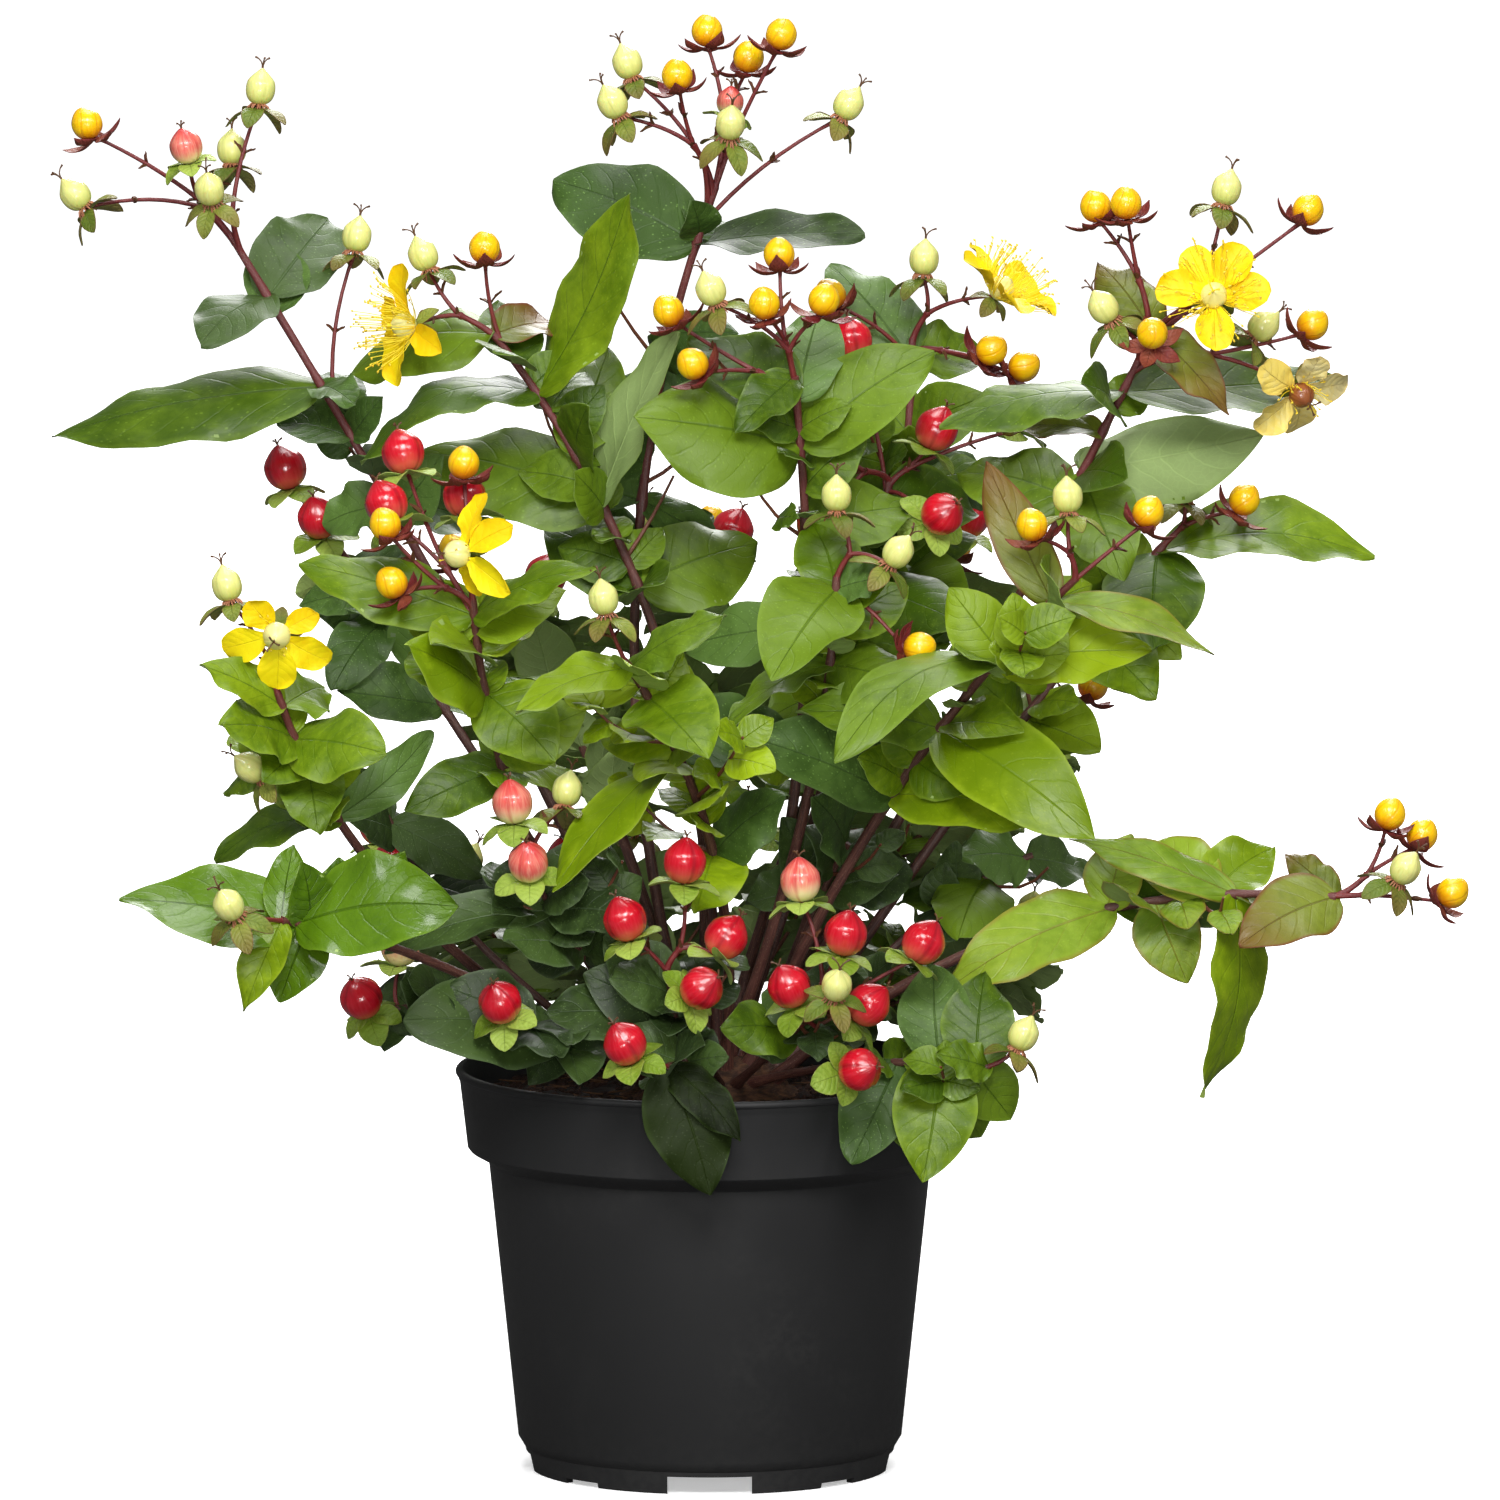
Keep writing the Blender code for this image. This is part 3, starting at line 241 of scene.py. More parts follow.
TALL_CANES = (
    Cane("far_left", "middle", (-46, 10, 226), (-160, 35, 410),
         ((0.86, -92, 18, -18, 15, 0.95, 0.06), (0.86, 12, -28, -3, 0, 0.7),
          (0.945, 20, 36, 24), (0.945, -22, -30, -13, 20, 0.9), (0.74, -24, 12, -8),
          (0.74, 28, 28, -10)),
         ((BUD, -48, -8, 39), (PALE, -53, 8, 14), (PINK, -15, -12, 33),
          (PALE, -14, -22, 19), (PALE, 0, 14, 29), (PALE, 10, 6, 50),
          (PALE, 14, 10, 47, 0.87)), OLD),
    Cane("left_berry", "middle", (-74, 42, 228), (-126, 60, 304),
         ((0.66, -36, -8, 6, 0, 0.9), (0.66, 26, 30, 4), (0.84, -18, -20, -22, 0, 0.8),
          (0.84, 14, 34, 8), (0.95, -20, 16, -8), (0.95, 26, -10, -4)),
         ((RED, -17, 0, 26), (RED, -12, -8, 13), (RED, -7, 12, -12)), OLD),
    Cane("left_fan", "top", (3, 6, 285), (-72, 16, 379),
         ((0.6, 41, 24, 12, 0, 1.1), (0.6, -32, 26, 18), (0.72, -62, 26, 15),
          (0.72, 26, -12, 60, 140, 0.85, -0.02), (0.8, 32, 30, 42, 0, 0.8),
          (0.9, -59, -18, -22, 32, 0.9, 0.2), (0.9, 30, -14, 69, -38, 0.95, -0.05),
          (1.0, 30, 14, 2, -10, 0.85), (1.0, -49, 20, -15, 22, 1.0, 0.12)),
         ((FLOWER, -30, -10, 4, 1.0, (205, 5)), (PALE, -24, 6, 27), (BUD, -3, -4, 30)), GROWN),
    Cane("tallest", "top", (-48, 46, 290), (2, 42, 426),
         ((0.55, 26, 30, 12, 0, 0.6), (0.62, 24, 28, -26, 0, 0.6), (0.62, -30, 26, 0),
          (0.93, -49, 22, 20, 0, 1.15), (0.93, 57, -8, 5, -30, 0.75, 0.03)),
         ((BUD, -3, 10, 52), (BUD, -13, -12, 39), (BUD, 11, 12, 43), (BUD, 22, -4, 52),
          (PALE, -30, 6, 42), (PALE, -35, -10, 30), (PALE, 5, -20, 24),
          (PALE, 45, 6, 28), (PINK, 5, 4, 31)), OLD),
    Cane("front_left", "middle", (-72, -46, 210), (-78, -60, 299),
         ((0.67, -33, -8, -14, 0, 0.8), (0.67, 24, 24, -6, -15), (0.82, -24, -30, 20),
          (0.82, 24, -12, -22, 0, 1.1), (0.97, -58, -16, 17, 8, 0.85), (0.97, 41, -18, 18, -25, 0.8),
          (0.9, 17, 26, 16)),
         ((BARE, -5, -16, 17, 1.0, (215, 5)), (BUD, -27, -8, 7), (BUD, -29, -4, 26),
          (BUD, -3, 8, 45), (RED, -29, 14, 31), (RED, -32, 22, 46), (RED, -3, 18, 33)), BRIGHT),
    Cane("left_mid", "low", (-118, -55, 190), (-142, -76, 270),
         ((0.72, -42, 14, -16, 25, 0.65, 0.12), (0.72, 32, 10, 28, 35, 0.5, 0.12),
          (0.84, -19, -18, -11, 0, 0.9),
          (0.84, 4, -20, -20), (0.9, 31, -22, -2, 0, 1.1), (0.9, -24, -24, 8),
          (0.97, -27, -10, 16, 0, 0.75), (0.97, 14, 26, 4)),
         ((BARE, 0, -10, 20, 1.0, (262, -12)), (PALE, -17, 6, 36),
          (PALE, -18, -8, -2, 0.86)), BRIGHT),
    Cane("low_left", "low", (-90, -76, 188), (-140, -118, 200),
         ((0.84, 24, 30, 22), (0.84, -14, 34, 8), (0.95, 54, -18, 8, 0, 1.1), (0.95, -59, 2, 8, 0, 0.9),
          (1.0, 4, 16, 24, 0, 0.7), (1.0, -14, -8, -29, 0, 0.62)),
         ((PALE, -17, -22, 9),), GLOSSY),
    Cane("front_centre", "middle", (14, -46, 216), (-28, -70, 280),
         ((0.5, 24, -16, 22), (0.5, -6, -26, -17, 0, 1.2), (0.76, -43, -26, -42, 40, 0.8, 0.02),
          (0.76, 38, 24, 4), (0.9, 20, -30, -16, 0, 1.1), (0.9, -8, 30, 8),
          (0.98, -38, -18, -12, 15, 0.7), (0.98, 32, -12, 20, -20, 0.7)),
         ((PALE, -7, -4, 22),), YOUNG),
    Cane("centre", "top", (40, -34, 232), (42, -38, 304),
         ((0.6, 20, 26, -10), (0.6, -24, 24, -4), (0.8, -35, -20, -18, 30, 0.6, 0.1),
          (0.8, 30, -20, -6), (0.97, -22, -34, -26, 0, 1.1, 0.1), (0.97, -8, 26, 20), (0.97, 30, -8, 8)),
         ((PALE, 0, 2, 28), (PALE, 21, -8, 10), (BUD, 28, -12, -22)), BRIGHT),
    Cane("centre_right", "top", (42, 2, 240), (28, -14, 368),
         ((0.66, -42, 22, -10, 0, 0.75), (0.66, 34, -20, -16), (0.8, 38, 22, 4),
          (0.91, -56, -16, 11, 0, 1.3), (0.91, 45, 8, 31), (1.0, -20, -16, -17, 0, 0.8),
          (0.97, 8, 30, 28, 0, 0.9), (0.97, -31, 24, 19)),
         ((BUD, -5, 4, 41), (BUD, -10, -10, 26), (BUD, 10, -8, 27), (BUD, -34, -12, 6),
          (BUD, -42, 4, 22), (PALE, -28, -10, 31)), GROWN),
    Cane("berry_back", "top", (48, 24, 240), (60, 22, 330),
         ((0.62, -24, -28, -8), (0.8, -34, 20, -4), (0.8, 34, -26, -10),
          (0.97, -28, -18, -12), (0.97, 32, 14, -8)),
         ((RED, -24, -14, 21), (RED, 16, 2, 17), (RED, 10, -27, -9), (RED, -13, 10, 46),
          (RED, 48, 6, 22), (RED, -12, -30, -12)), GROWN),
    Cane("right_back", "middle", (66, 48, 250), (68, 70, 372),
         ((0.68, 26, -30, -10), (0.68, -30, 30, 4), (0.82, -38, -18, 10), (0.82, 34, 24, -8),
          (0.97, -28, 22, 32), (0.97, 27, 12, 0, 0, 1.1)),
         ((PALE, 4, 0, 28), (FLOWER, 30, -8, 18, 1.0, (-20, 50)), (BUD, 27, -14, -2),
          (BUD, 38, -10, -8), (BUD, -28, -6, 16)), GROWN),
    Cane("right_tall", "middle", (78, 10, 238), (147, -6, 382),
         ((0.8, -38, 24, 6), (0.83, 61, 22, 9, 180, 0.9, -0.02), (0.83, 14, -20, -34),
          (0.93, -62, -6, -11, 35, 0.85), (0.93, 80, 8, 2, -20, 1.0, 0.01),
          (1.0, 26, -14, -26, 0, 0.65), (1.0, -24, 16, 22, 0, 0.8), (0.88, -34, 10, 0, 20, 0.6)),
         ((FLOWER, 20, -16, 14, 1.0, (265, 20)), (BUD, -19, 6, 42), (BUD, -9, -4, 44),
          (BUD, 52, 4, 41), (PALE, 25, 8, 48), (PALE, -17, -8, 10), (BUD, -9, -16, 2),
          (BUD, 54, 10, 2), (SPENT, 50, 8, -22, 1.0, (300, -30)), (PALE, 38, 8, 2)), GROWN),
    Cane("right_mid", "middle", (54, -36, 240), (121, -60, 306),
         ((0.5, 52, -28, -6, 0, 0.85), (0.5, -46, -20, 22), (0.64, 51, -34, -31),
          (0.64, -48, -10, 8, 0, 0.8), (0.8, -72, -18, -27, 30, 0.85, 0.14),
          (0.8, 51, -10, 5, 0, 0.85), (0.94, -22, 12, 46, 0, 0.62, -0.02),
          (0.94, 54, -14, -16, -20, 0.55)),
         ((BUD, -15, -6, 19), (BUD, 24, 4, 22), (PALE, -3, 2, 28)), BRIGHT),
    Cane("right_fan", "low", (92, 28, 236), (152, 30, 307),
         ((0.62, 26, -16, -8, 0, 1.15), (0.62, -14, 36, 0), (0.8, 22, -20, -20, 0, 1.1),
          (0.8, 30, 14, 6), (0.98, 74, 6, -1, -25, 0.9, 0.11), (0.98, -2, -34, -28, 0, 1.2)),
         ((BUD, 27, -4, 16), (PALE, 8, 2, 21)), BRIGHT),
    Cane("far_right", "low", (100, -42, 207), (207, -60, 200),
         ((0.64, -58, -16, -26, 0, 0.8), (0.64, 45, 26, 1, 0, 1.1), (0.84, -55, 8, 19, 0, 0.45),
          (0.84, -9, -8, -68, -50, 0.75, 0.1), (1.0, -33, -14, -14), (1.0, -17, 12, 14, 0, 0.7),
          (0.8, 22, 20, 14), (0.8, -22, 20, 16)),
         ((BUD, 18, 2, 28), (BUD, 29, 10, 20), (BUD, 39, 0, 2), (PALE, 23, -12, 12)), TAWNY),
)
# Most low canes take the deep tint: the dark colour of older leaves, and also painted shade under the
# taller canes.
LOW_CANES = (
    Cane("front_low", "low", (-10, -60, 146), (-14, -84, 180),
         ((0.62, -44, -12, 7), (0.62, 18, -10, -14, 0, 0.9), (0.85, -20, -16, 8),
          (0.85, 16, 14, 12)),
         ((RED, 6, -2, 36), (RED, -14, -4, 17), (RED, 20, 4, 10), (RED, 12, -12, -5)), DEEP),
    Cane("rim_left", "low", (0, -70, 150), (-14, -92, 148),
         ((0.97, 14, -10, -42, 0, 0.95), (0.97, 24, -10, -24, 0, 0.65), (0.8, -22, -12, 8)),
         ((RED, -14, -12, 10),), DEEP),
    Cane("left_rim", "low", (-46, -58, 150), (-60, -72, 160),
         ((0.95, -46, -6, 22), (0.95, 16, -26, -6), (0.7, -56, -8, 10), (0.7, 24, -22, 10)),
         ((RED, -9, -20, 10),), DEEP),
    Cane("left_low", "low", (-76, -12, 166), (-106, -18, 156),
         ((0.8, -16, 22, -8), (0.8, 10, 20, 8), (0.98, -14, -16, -14)),
         ((RED, -10, -14, 7), (PINK, 3, 6, 22)), DEEP),
    Cane("front_left_low", "low", (-44, -58, 180), (-58, -70, 208),
         ((0.6, -24, -24, 6), (0.6, 24, 24, 6), (0.8, -56, -10, -13, 10, 0.55), (0.8, 26, -20, 0)),
         ((PINK, -7, -4, 26), (PINK, -2, -14, 9), (PALE, 17, 8, 28)), DEEP),
    Cane("left_small", "low", (-84, 12, 170), (-108, 10, 218),
         ((0.75, -28, 14, -10), (0.75, 24, -24, -8), (0.98, -20, -6, 18),
          (0.98, 32, -8, -18, 0, 0.7)),
         (), DEEP),
    Cane("centre_low", "middle", (34, -4, 190), (46, -14, 212),
         ((0.7, -24, -14, -4), (0.7, 26, 18, 4), (0.97, -19, -14, 20, 0, 1.2)),
         (), DEEP),
    Cane("front_low_right", "low", (22, -62, 150), (36, -82, 166),
         ((0.7, -24, -18, 4), (0.7, 26, 16, 0), (0.9, 16, -20, -32, 0, 0.9), (0.9, -14, 18, 10)),
         ((RED, -10, -8, 9), (RED, 9, -4, 26), (PALE, 6, -25, 12), (RED, 17, -2, 2),
          (RED, 14, -16, -18), (PINK, -6, 8, 42), (RED, 35, 4, 22)), DEEP),
    Cane("rim_right", "low", (52, -72, 150), (92, -80, 146),
         ((0.62, -18, -12, -32, 0, 1.0), (0.8, -6, -16, -38), (0.8, -2, 14, 32),
          (1.0, 25, -16, -3, 0, 0.65), (1.0, -18, -8, 6), (0.95, 8, 14, 30)),
         ((PALE, 12, 0, 12),), GROWN),
    Cane("right_low", "low", (70, 14, 190), (108, 16, 204),
         ((0.62, 4, -30, -6), (0.62, -6, 36, 4), (0.8, -10, -34, -16), (0.8, 14, 34, 0),
          (0.97, 22, 12, -6), (0.97, -22, -12, 2, 0, 1.2)),
         (), DEEP),
)

# Far-side canes: direction in degrees, reach and height of the tip, leaf length and seed.
BACK_TALL = (
    ("back_left", 118, 150, 268, 50, 11),
    ("back_centre", 92, 170, 282, 54, 12),
    ("back_right", 64, 165, 276, 54, 13),
    ("back_far_right", 42, 150, 226, 50, 14),
)
BACK_LOW = (
    ("back_low_left", 142, 132, 176, 46, 31),
    ("back_low", 104, 150, 172, 48, 32),
    ("back_low_right", 76, 148, 176, 48, 33),
    ("back_low_far", 34, 122, 158, 44, 34),
)
BACK_STATIONS = (0.48, 0.66, 0.83, 0.97)
BACK_TALL_HEADS = (BUD, PALE, RED)
BACK_LOW_HEADS = (RED, RED, PALE)
BACK_JITTER = 14.0
BACK_SPREAD = (14.0, 24.0)
BACK_LIFT = (14.0, 30.0)
BACK_ELBOW = (0.42, 0.72)
BACK_LONGEST_AT = 0.7
BACK_RISE = (-8.0, 12.0)
BACK_DROOP = -16.0
BACK_PERK = 4.0
BACK_HEAD_JITTER = 20.0

# A leaf or head that would touch a neighbour is turned aside by these angles, then made smaller.
ASIDE = (0, 9, -9, 18, -18, 28, -28)
SMALLER = (1.0, 0.8, 0.62)

# Rows of leaves whose tint differs from the rest of their cane.
ODD_ROWS = {
    # The round leaf and its neighbour take the deep tint as painted shade that tones down their sheen.
    "far_left": {0: GROWN, 2: DEEP, 3: DEEP},
    "tallest": {4: DEEP},
    "left_fan": {4: BRIGHT, 6: BRIGHT, 7: FLUSHED},
    "front_left": {0: GROWN, 2: YOUNG, 6: YOUNG},
    "left_mid": {0: GROWN, 1: OLD, 3: GROWN, 7: GROWN},
    "low_left": {5: YOUNG},
    "front_centre": {0: OLD, 3: OLD, 4: BRIGHT, 6: BRIGHT, 7: GROWN},
    "centre": {2: GROWN, 3: GROWN, 4: GROWN, 6: OLD},
    "centre_right": {0: OLD, 3: GROWN, 6: OLD},
    "right_back": {3: OLD, 4: OLD},
    "right_tall": {5: FLUSHED, 6: FLUSHED, 7: FLUSHED},
    "right_mid": {0: YOUNG, 1: OLD, 2: YOUNG, 3: GROWN, 4: GROWN, 5: YOUNG, 6: FLUSHED, 7: TAWNY},
    "right_fan": {5: GROWN},
    "far_right": {1: GROWN, 3: YOUNG, 4: FLUSHED, 5: FLUSHED, 6: YOUNG},
    "front_low_right": {0: GROWN, 2: GROWN},
    "centre_low": {2: OLD},
    # These two leaves take the darkest tint, which is painted shade.
    "rim_left": {0: DIM, 1: DIM},
    "rim_right": {0: OLD, 1: BRIGHT, 2: OLD, 3: BRIGHT},
    "right_low": {1: GROWN, 2: GROWN, 5: OLD},
}
# Openings seen from the front, which fine leaves keep out of: right, height and radius.
OPENINGS = (
    (5, 321, 15), (-7, 333, 9), (15, 304, 10), (18, 291, 8), (-15, 328, 8), (-23, 394, 12),
    (-7, 399, 10), (13, 419, 7), (-133, 380, 9), (-65, 353, 8), (-116, 268, 8), (-83, 249, 8),
    (-99, 239, 9), (-85, 221, 7), (-98, 205, 9), (-125, 161, 8), (8, 263, 7), (103, 196, 8),
    (118, 216, 7), (140, 173, 8), (190, 171, 8), (177, 166, 9), (187, 214, 12), (163, 204, 8),
)
OPENING_MARGIN = 4.0

# Petals of each flower: turn about its axis in degrees, share of the full reach, lift of the tip.
FLOWER_FORMS = {
    "foliage_left_fan": ((90, 1.05, 5), (270, 1.05, 3), (200, 0.85, -5), (318, 0.7, 3), (28, 0.7, 4)),
    "foliage_front_left": ((92, 1.0, -6), (150, 1.05, -7), (212, 1.05, -8), (272, 0.7, -8),
                           (36, 0.6, -9)),
    "foliage_left_mid": ((48, 0.75, 1), (342, 1.0, -3), (276, 1.02, -2), (216, 0.98, -4),
                         (158, 0.7, -5)),
    "foliage_right_tall": ((2, 1.0, 4), (62, 0.88, 6), (122, 0.98, 5), (182, 0.92, 5), (266, 1.0, 4)),
}
EVEN_PETALS = ((36, 1.0, 6), (108, 1.0, 5), (180, 0.98, 7), (252, 1.0, 6), (324, 1.02, 5))
SPENT_PETALS = ((30, 0.95, -2), (100, 0.8, 3), (176, 0.95, 0), (250, 1.0, -3), (316, 0.95, 2))
# Share of the usual size of the unripe pink fruit in the upper clusters.
SMALL_PINK = {"foliage_far_left": 0.8, "foliage_tallest": 0.66}


def srgb(red: float, green: float, blue: float) -> Colour:
    """Linear colour of one stated as 0 to 255 on a screen."""
    shares = (channel / 255 for channel in (red, green, blue))
    return tuple(c / 12.92 if c <= 0.04045 else ((c + 0.055) / 1.055) ** 2.4 for c in shares)


def mix(first: float, second: float, share: float) -> float:
    """Value between two."""
    return first + (second - first) * share


def level(angle: float) -> Vector:
    """Level unit vector at an angle in radians."""
    return Vector((math.cos(angle), math.sin(angle), 0))


def turned(one: Vector, two: Vector, angle: float) -> Vector:
    """Unit vector turned by an angle from one way towards a second one square to it."""
    return one * math.cos(angle) + two * math.sin(angle)


def across(way: Vector) -> tuple[Vector, Vector]:
    """Two unit vectors square to a way and to each other."""
    side = way.cross(UP if abs(way.z) < 0.9 else Vector((0, 1, 0))).normalized()
    return side, side.cross(way).normalized()


def around(way: Vector, angle: float) -> Vector:
    """Unit vector square to a way, at an angle round it."""
    return turned(*across(way), angle)


def luck(rng: random.Random) -> tuple[float, float]:
    """Two random shares."""
    return rng.random(), rng.random()


def stand(name: str, data: bpy.types.ID) -> bpy.types.Object:
    """A new object of the scene that shows a mesh, light or camera."""
    ob = bpy.data.objects.new(name, data)
    bpy.context.scene.collection.objects.link(ob)
    return ob


class Bow(NamedTuple):
    """The smooth bend of a stem from its foot, by its elbow, to its tip."""

    foot: Vector
    elbow: Vector
    tip: Vector

    def at(self, t: float) -> Vector:
        """Point on it at station t."""
        return self.foot * (1 - t) ** 2 + self.elbow * (2 * t * (1 - t)) + self.tip * t**2

    def way(self, t: float) -> Vector:
        """Unit vector along it at station t."""
        return ((self.elbow - self.foot) * (1 - t) + (self.tip - self.elbow) * t).normalized()

    def points(self, steps: int) -> list[Vector]:
        """Points at equal steps along it."""
        return [self.at(k / steps) for k in range(steps + 1)]


def tube(points: Sequence[Vector], ways: Sequence[Vector], radii: Sequence[float], sides: int) -> Shape:
    """Plain closed limb through these points, as the solids have it.

    Args:
        points: Places along its middle line.
        ways: Unit vectors along it there.
        radii: Its radius there.
        sides: Number of sides.

    Returns:
        Points and faces.
    """
    verts, faces = [], []
    side = across(ways[0])[0]
    for point, way, radius in zip(points, ways, radii):
        side = (side - way * side.dot(way)).normalized()
        over = side.cross(way)
        verts += [point + turned(side, over, math.tau * k / sides) * radius for k in range(sides)]
    for a in range(0, len(verts) - sides, sides):
        for k in range(sides):
            n = (k + 1) % sides
            faces.append((a + k, a + n, a + sides + n, a + sides + k))
    faces.append(tuple(range(sides)))
    faces.append(tuple(range(len(verts) - sides, len(verts)))[::-1])
    return verts, faces


def loft(rings: Sequence[Sequence[Vector]], tip: Vector) -> Shape:
    """Rings with equal numbers of points, closed by a flat end and a tip.

    Args:
        rings: The rings, from the flat end on.
        tip: The tip.

    Returns:
        Points and faces.
    """
    sides = len(rings[0])
    verts = [point for ring in rings for point in ring] + [tip]
    faces = [tuple(range(sides))]
    last = len(verts) - 1 - sides
    for a in range(0, last, sides):
        for k in range(sides):
            n = (k + 1) % sides
            faces.append((a + k, a + sides + k, a + sides + n, a + n))
    faces += [(last + k, len(verts) - 1, last + (k + 1) % sides) for k in range(sides)]
    return verts, faces


def leaf_width(length: float) -> float:
    """Width of a leaf of this length: the longer it is, the slimmer."""
    slim = min(1.0, length / LONG_LEAF)
    return length * (SHORT_LEAF_RATIO + (LEAF_RATIO - SHORT_LEAF_RATIO) * slim)


@dataclass(frozen=True)
class Leaf:
    """One leaf: its root, its reach to the tip, where its upper side would look, and its form.

    The form is its roll in degrees, its share of the usual width, and its arch.
    """

    owner: str
    root: Vector
    reach: Vector
    face: Vector
    form: tuple[float, float, float]
    tint: Tint
    fine: bool = False

    def frame(self) -> tuple[Vector, Vector, Vector]:
        """Its own directions.

        Returns:
            Unit vectors along it, out of its upper side, and to its side.
        """
        axis = self.reach.normalized()
        normal = self.face - axis * self.face.dot(axis)
        normal = normal.normalized() if normal.length > 0.05 else across(axis)[1]
        normal = Matrix.Rotation(math.radians(self.form[0]), 3, axis) @ normal
        return axis, normal, axis.cross(normal)

    def guard(self, grow: float = 0.0, start: float = 0.0) -> Shape:
        """The solids' plain leaf, which a new leaf has to have free.

        Args:
            grow: How much larger it is all round.
            start: Share of it that is left out at its root.

        Returns:
            Points and faces.
        """
        _, broad, arch = self.form
        length = self.reach.length
        axis, normal, side = self.frame()
        width = broad * leaf_width(length)
        blade = LONG_SECTIONS if length > TWO_SECTIONS else SHORT_SECTIONS
        sections = [(start, LEAF_ROOT_WIDTH / 2 + start * width, LEAF_ROOT_THICKNESS)]
        sections += [(station, width / 2 * share, max(LEAF_THICKNESS, length / LEAF_SLENDERNESS))
                     for station, share in blade]
        rings = []
        for station, half, thick in sections:
            rise = normal * (arch * length * math.sin(math.pi * station) + grow)
            middle = self.root + self.reach * station + rise
            edge = side * (half + grow)
            rings.append([middle - edge, middle + edge, middle - normal * (thick + 2 * grow)])
        return loft(rings, self.root + self.reach + axis * grow)

    def in_opening(self) -> bool:
        """Whether it would show in one of the openings, seen from the front.

        Returns:
            True where a point along it does.
        """
        for share in (0.25, 0.6, 1.0):
            point = self.root + self.reach * share
            high = point.z + point.y * math.tan(math.radians(Studio.pitch))
            for x, z, radius in OPENINGS:
                if math.hypot(point.x - x, high - z) < radius + OPENING_MARGIN:
                    return True
        return False


@dataclass(frozen=True)
class HeadPlace:
    """Where one head grows: its branchlet's node and way out, and the head's own base and way."""

    owner: str
    kind: Kind
    node: Vector
    leave: Vector
    base: Vector
    way: Vector

    def guard(self, root: Vector, grow: float) -> Shape:
        """The solids' plain stalk and egg.

        Args:
            root: Where the stalk starts.
            grow: How much larger it is all round.

        Returns:
            Points and faces.
        """
        head, base, way = HEADS[self.kind], self.base, self.way
        frames = [across((base - root).normalized()), across(way)]
        if frames[0][0].dot(frames[1][0]) < 0:
            frames[0] = (-frames[0][0], -frames[0][1])
        stalk = BRANCHLET_RADIUS + grow
        radius = head.radius + grow
        sepal = max(head.sepal, head.radius * BARE_SEPAL) + grow
        shoulder, shoulder_share = HEAD_SHOULDER
        sections = (
            (root, frames[0], stalk),
            (base - way * STALK_END, frames[1], stalk + STALK_SWELL),
            (base + way * head.lift * sepal, frames[1], sepal),
            (base + way * head.length * shoulder, frames[1], radius * shoulder_share),
            (base + way * head.length * HEAD_WIDEST, frames[1], radius),
        )
        rings = [[place + turned(*square, math.tau * k / HEAD_SIDES) * size for k in range(HEAD_SIDES)]
                 for place, square, size in sections]
        return loft(rings, base + way * (head.length + grow))

    def rosette(self) -> Shape:
        """The solids' five blunt petals round the middle of a flower.

        Returns:
            Points and faces.
        """
        place = self.base + self.way * ROSETTE_LIFT
        verts = [place + self.way * ROSETTE_HALF_THICKNESS, place - self.way * ROSETTE_HALF_THICKNESS]
        for k in range(PETALS):
            for share, reach in PETAL_OUTLINE:
                out = around(self.way, math.tau * (k + share) / PETALS)
                verts.append(place + (out + self.way * PETAL_LIFT * reach) * reach * PETAL_REACH)
        faces = []
        count = PETALS * len(PETAL_OUTLINE)
        for k in range(count):
            n = (k + 1) % count
            faces += [(0, 2 + k, 2 + n), (1, 2 + n, 2 + k)]
        return verts, faces


class Taken:
    """A shape that has its place, with its box and its trees for overlap tests."""

    def __init__(self, owner: str, shape: Shape, outer: Shape | None = None) -> None:
        """Keeps a shape.

        Args:
            owner: The node it belongs to.
            shape: All of it.
            outer: What of it its own mass has to stay clear of, where that is less.
        """
        self.owner = owner
        self.low, self.high = Vector(map(min, *shape[0])), Vector(map(max, *shape[0]))
        self.tree = BVHTree.FromPolygons(*shape)
        self.outer = BVHTree.FromPolygons(*outer) if outer else self.tree

    def touches(self, other: "Taken") -> bool:
        """Whether it touches another, apart from the roots of its own mass's.

        Args:
            other: The other shape.

        Returns:
            True where they touch.
        """
        if any(self.low[i] > other.high[i] or self.high[i] < other.low[i] for i in range(3)):
            return False
        if other.owner == self.owner:
            return bool(self.outer.overlap(other.outer))
        return bool(self.tree.overlap(other.tree))


@dataclass(frozen=True)
class TwigPlace:
    """Points and radii along one side twig."""

    owner: str
    points: tuple[Vector, ...]
    radii: tuple[float, ...]


def crown_point(angle: float, share: float) -> tuple[Vector, Vector]:
    """Place on the crown's dome, and the way out of it.

    Args:
        angle: Direction from the axis, in radians.
        share: Share of the crown's radius.

    Returns:
        The place, and the unit vector out of the dome.
    """
    height = CROWN_HEIGHT * math.sqrt(1 - share**2)
    flat = level(angle)
    place = flat * (CROWN_RADIUS * share) + UP * (SOIL_TOP + GAP + height)
    way = flat * (share / CROWN_RADIUS) + UP * (math.sqrt(1 - share**2) / CROWN_HEIGHT)
    return place, way.normalized()


def cane_feet(canes: Sequence[Cane]) -> dict[str, tuple[Vector, Vector]]:
    """A foot on the crown for each cane, on its own ring, towards its elbow but spaced apart.

    Args:
        canes: All canes.

    Returns:
        Place and way out of the crown, by the cane's name.
    """
    feet = {}
    for ring, share in RING_REACH.items():
        found = sorted((math.atan2(c.elbow[1], c.elbow[0]), c.name) for c in canes if c.ring == ring)
        angles = [angle for angle, _ in found]
        least = FOOT_SPACING / (CROWN_RADIUS * share)
        for _ in range(SPACING_ROUNDS):
            for k in range(len(angles)):
                n = (k + 1) % len(angles)
                turn = math.tau if n == 0 else 0
                short = least - (angles[n] + turn - angles[k])
                if short > 0:
                    angles[k] -= short / 2
                    angles[n] += short / 2
        feet |= {name: crown_point(angle, share) for angle, (_, name) in zip(angles, found)}
    return feet


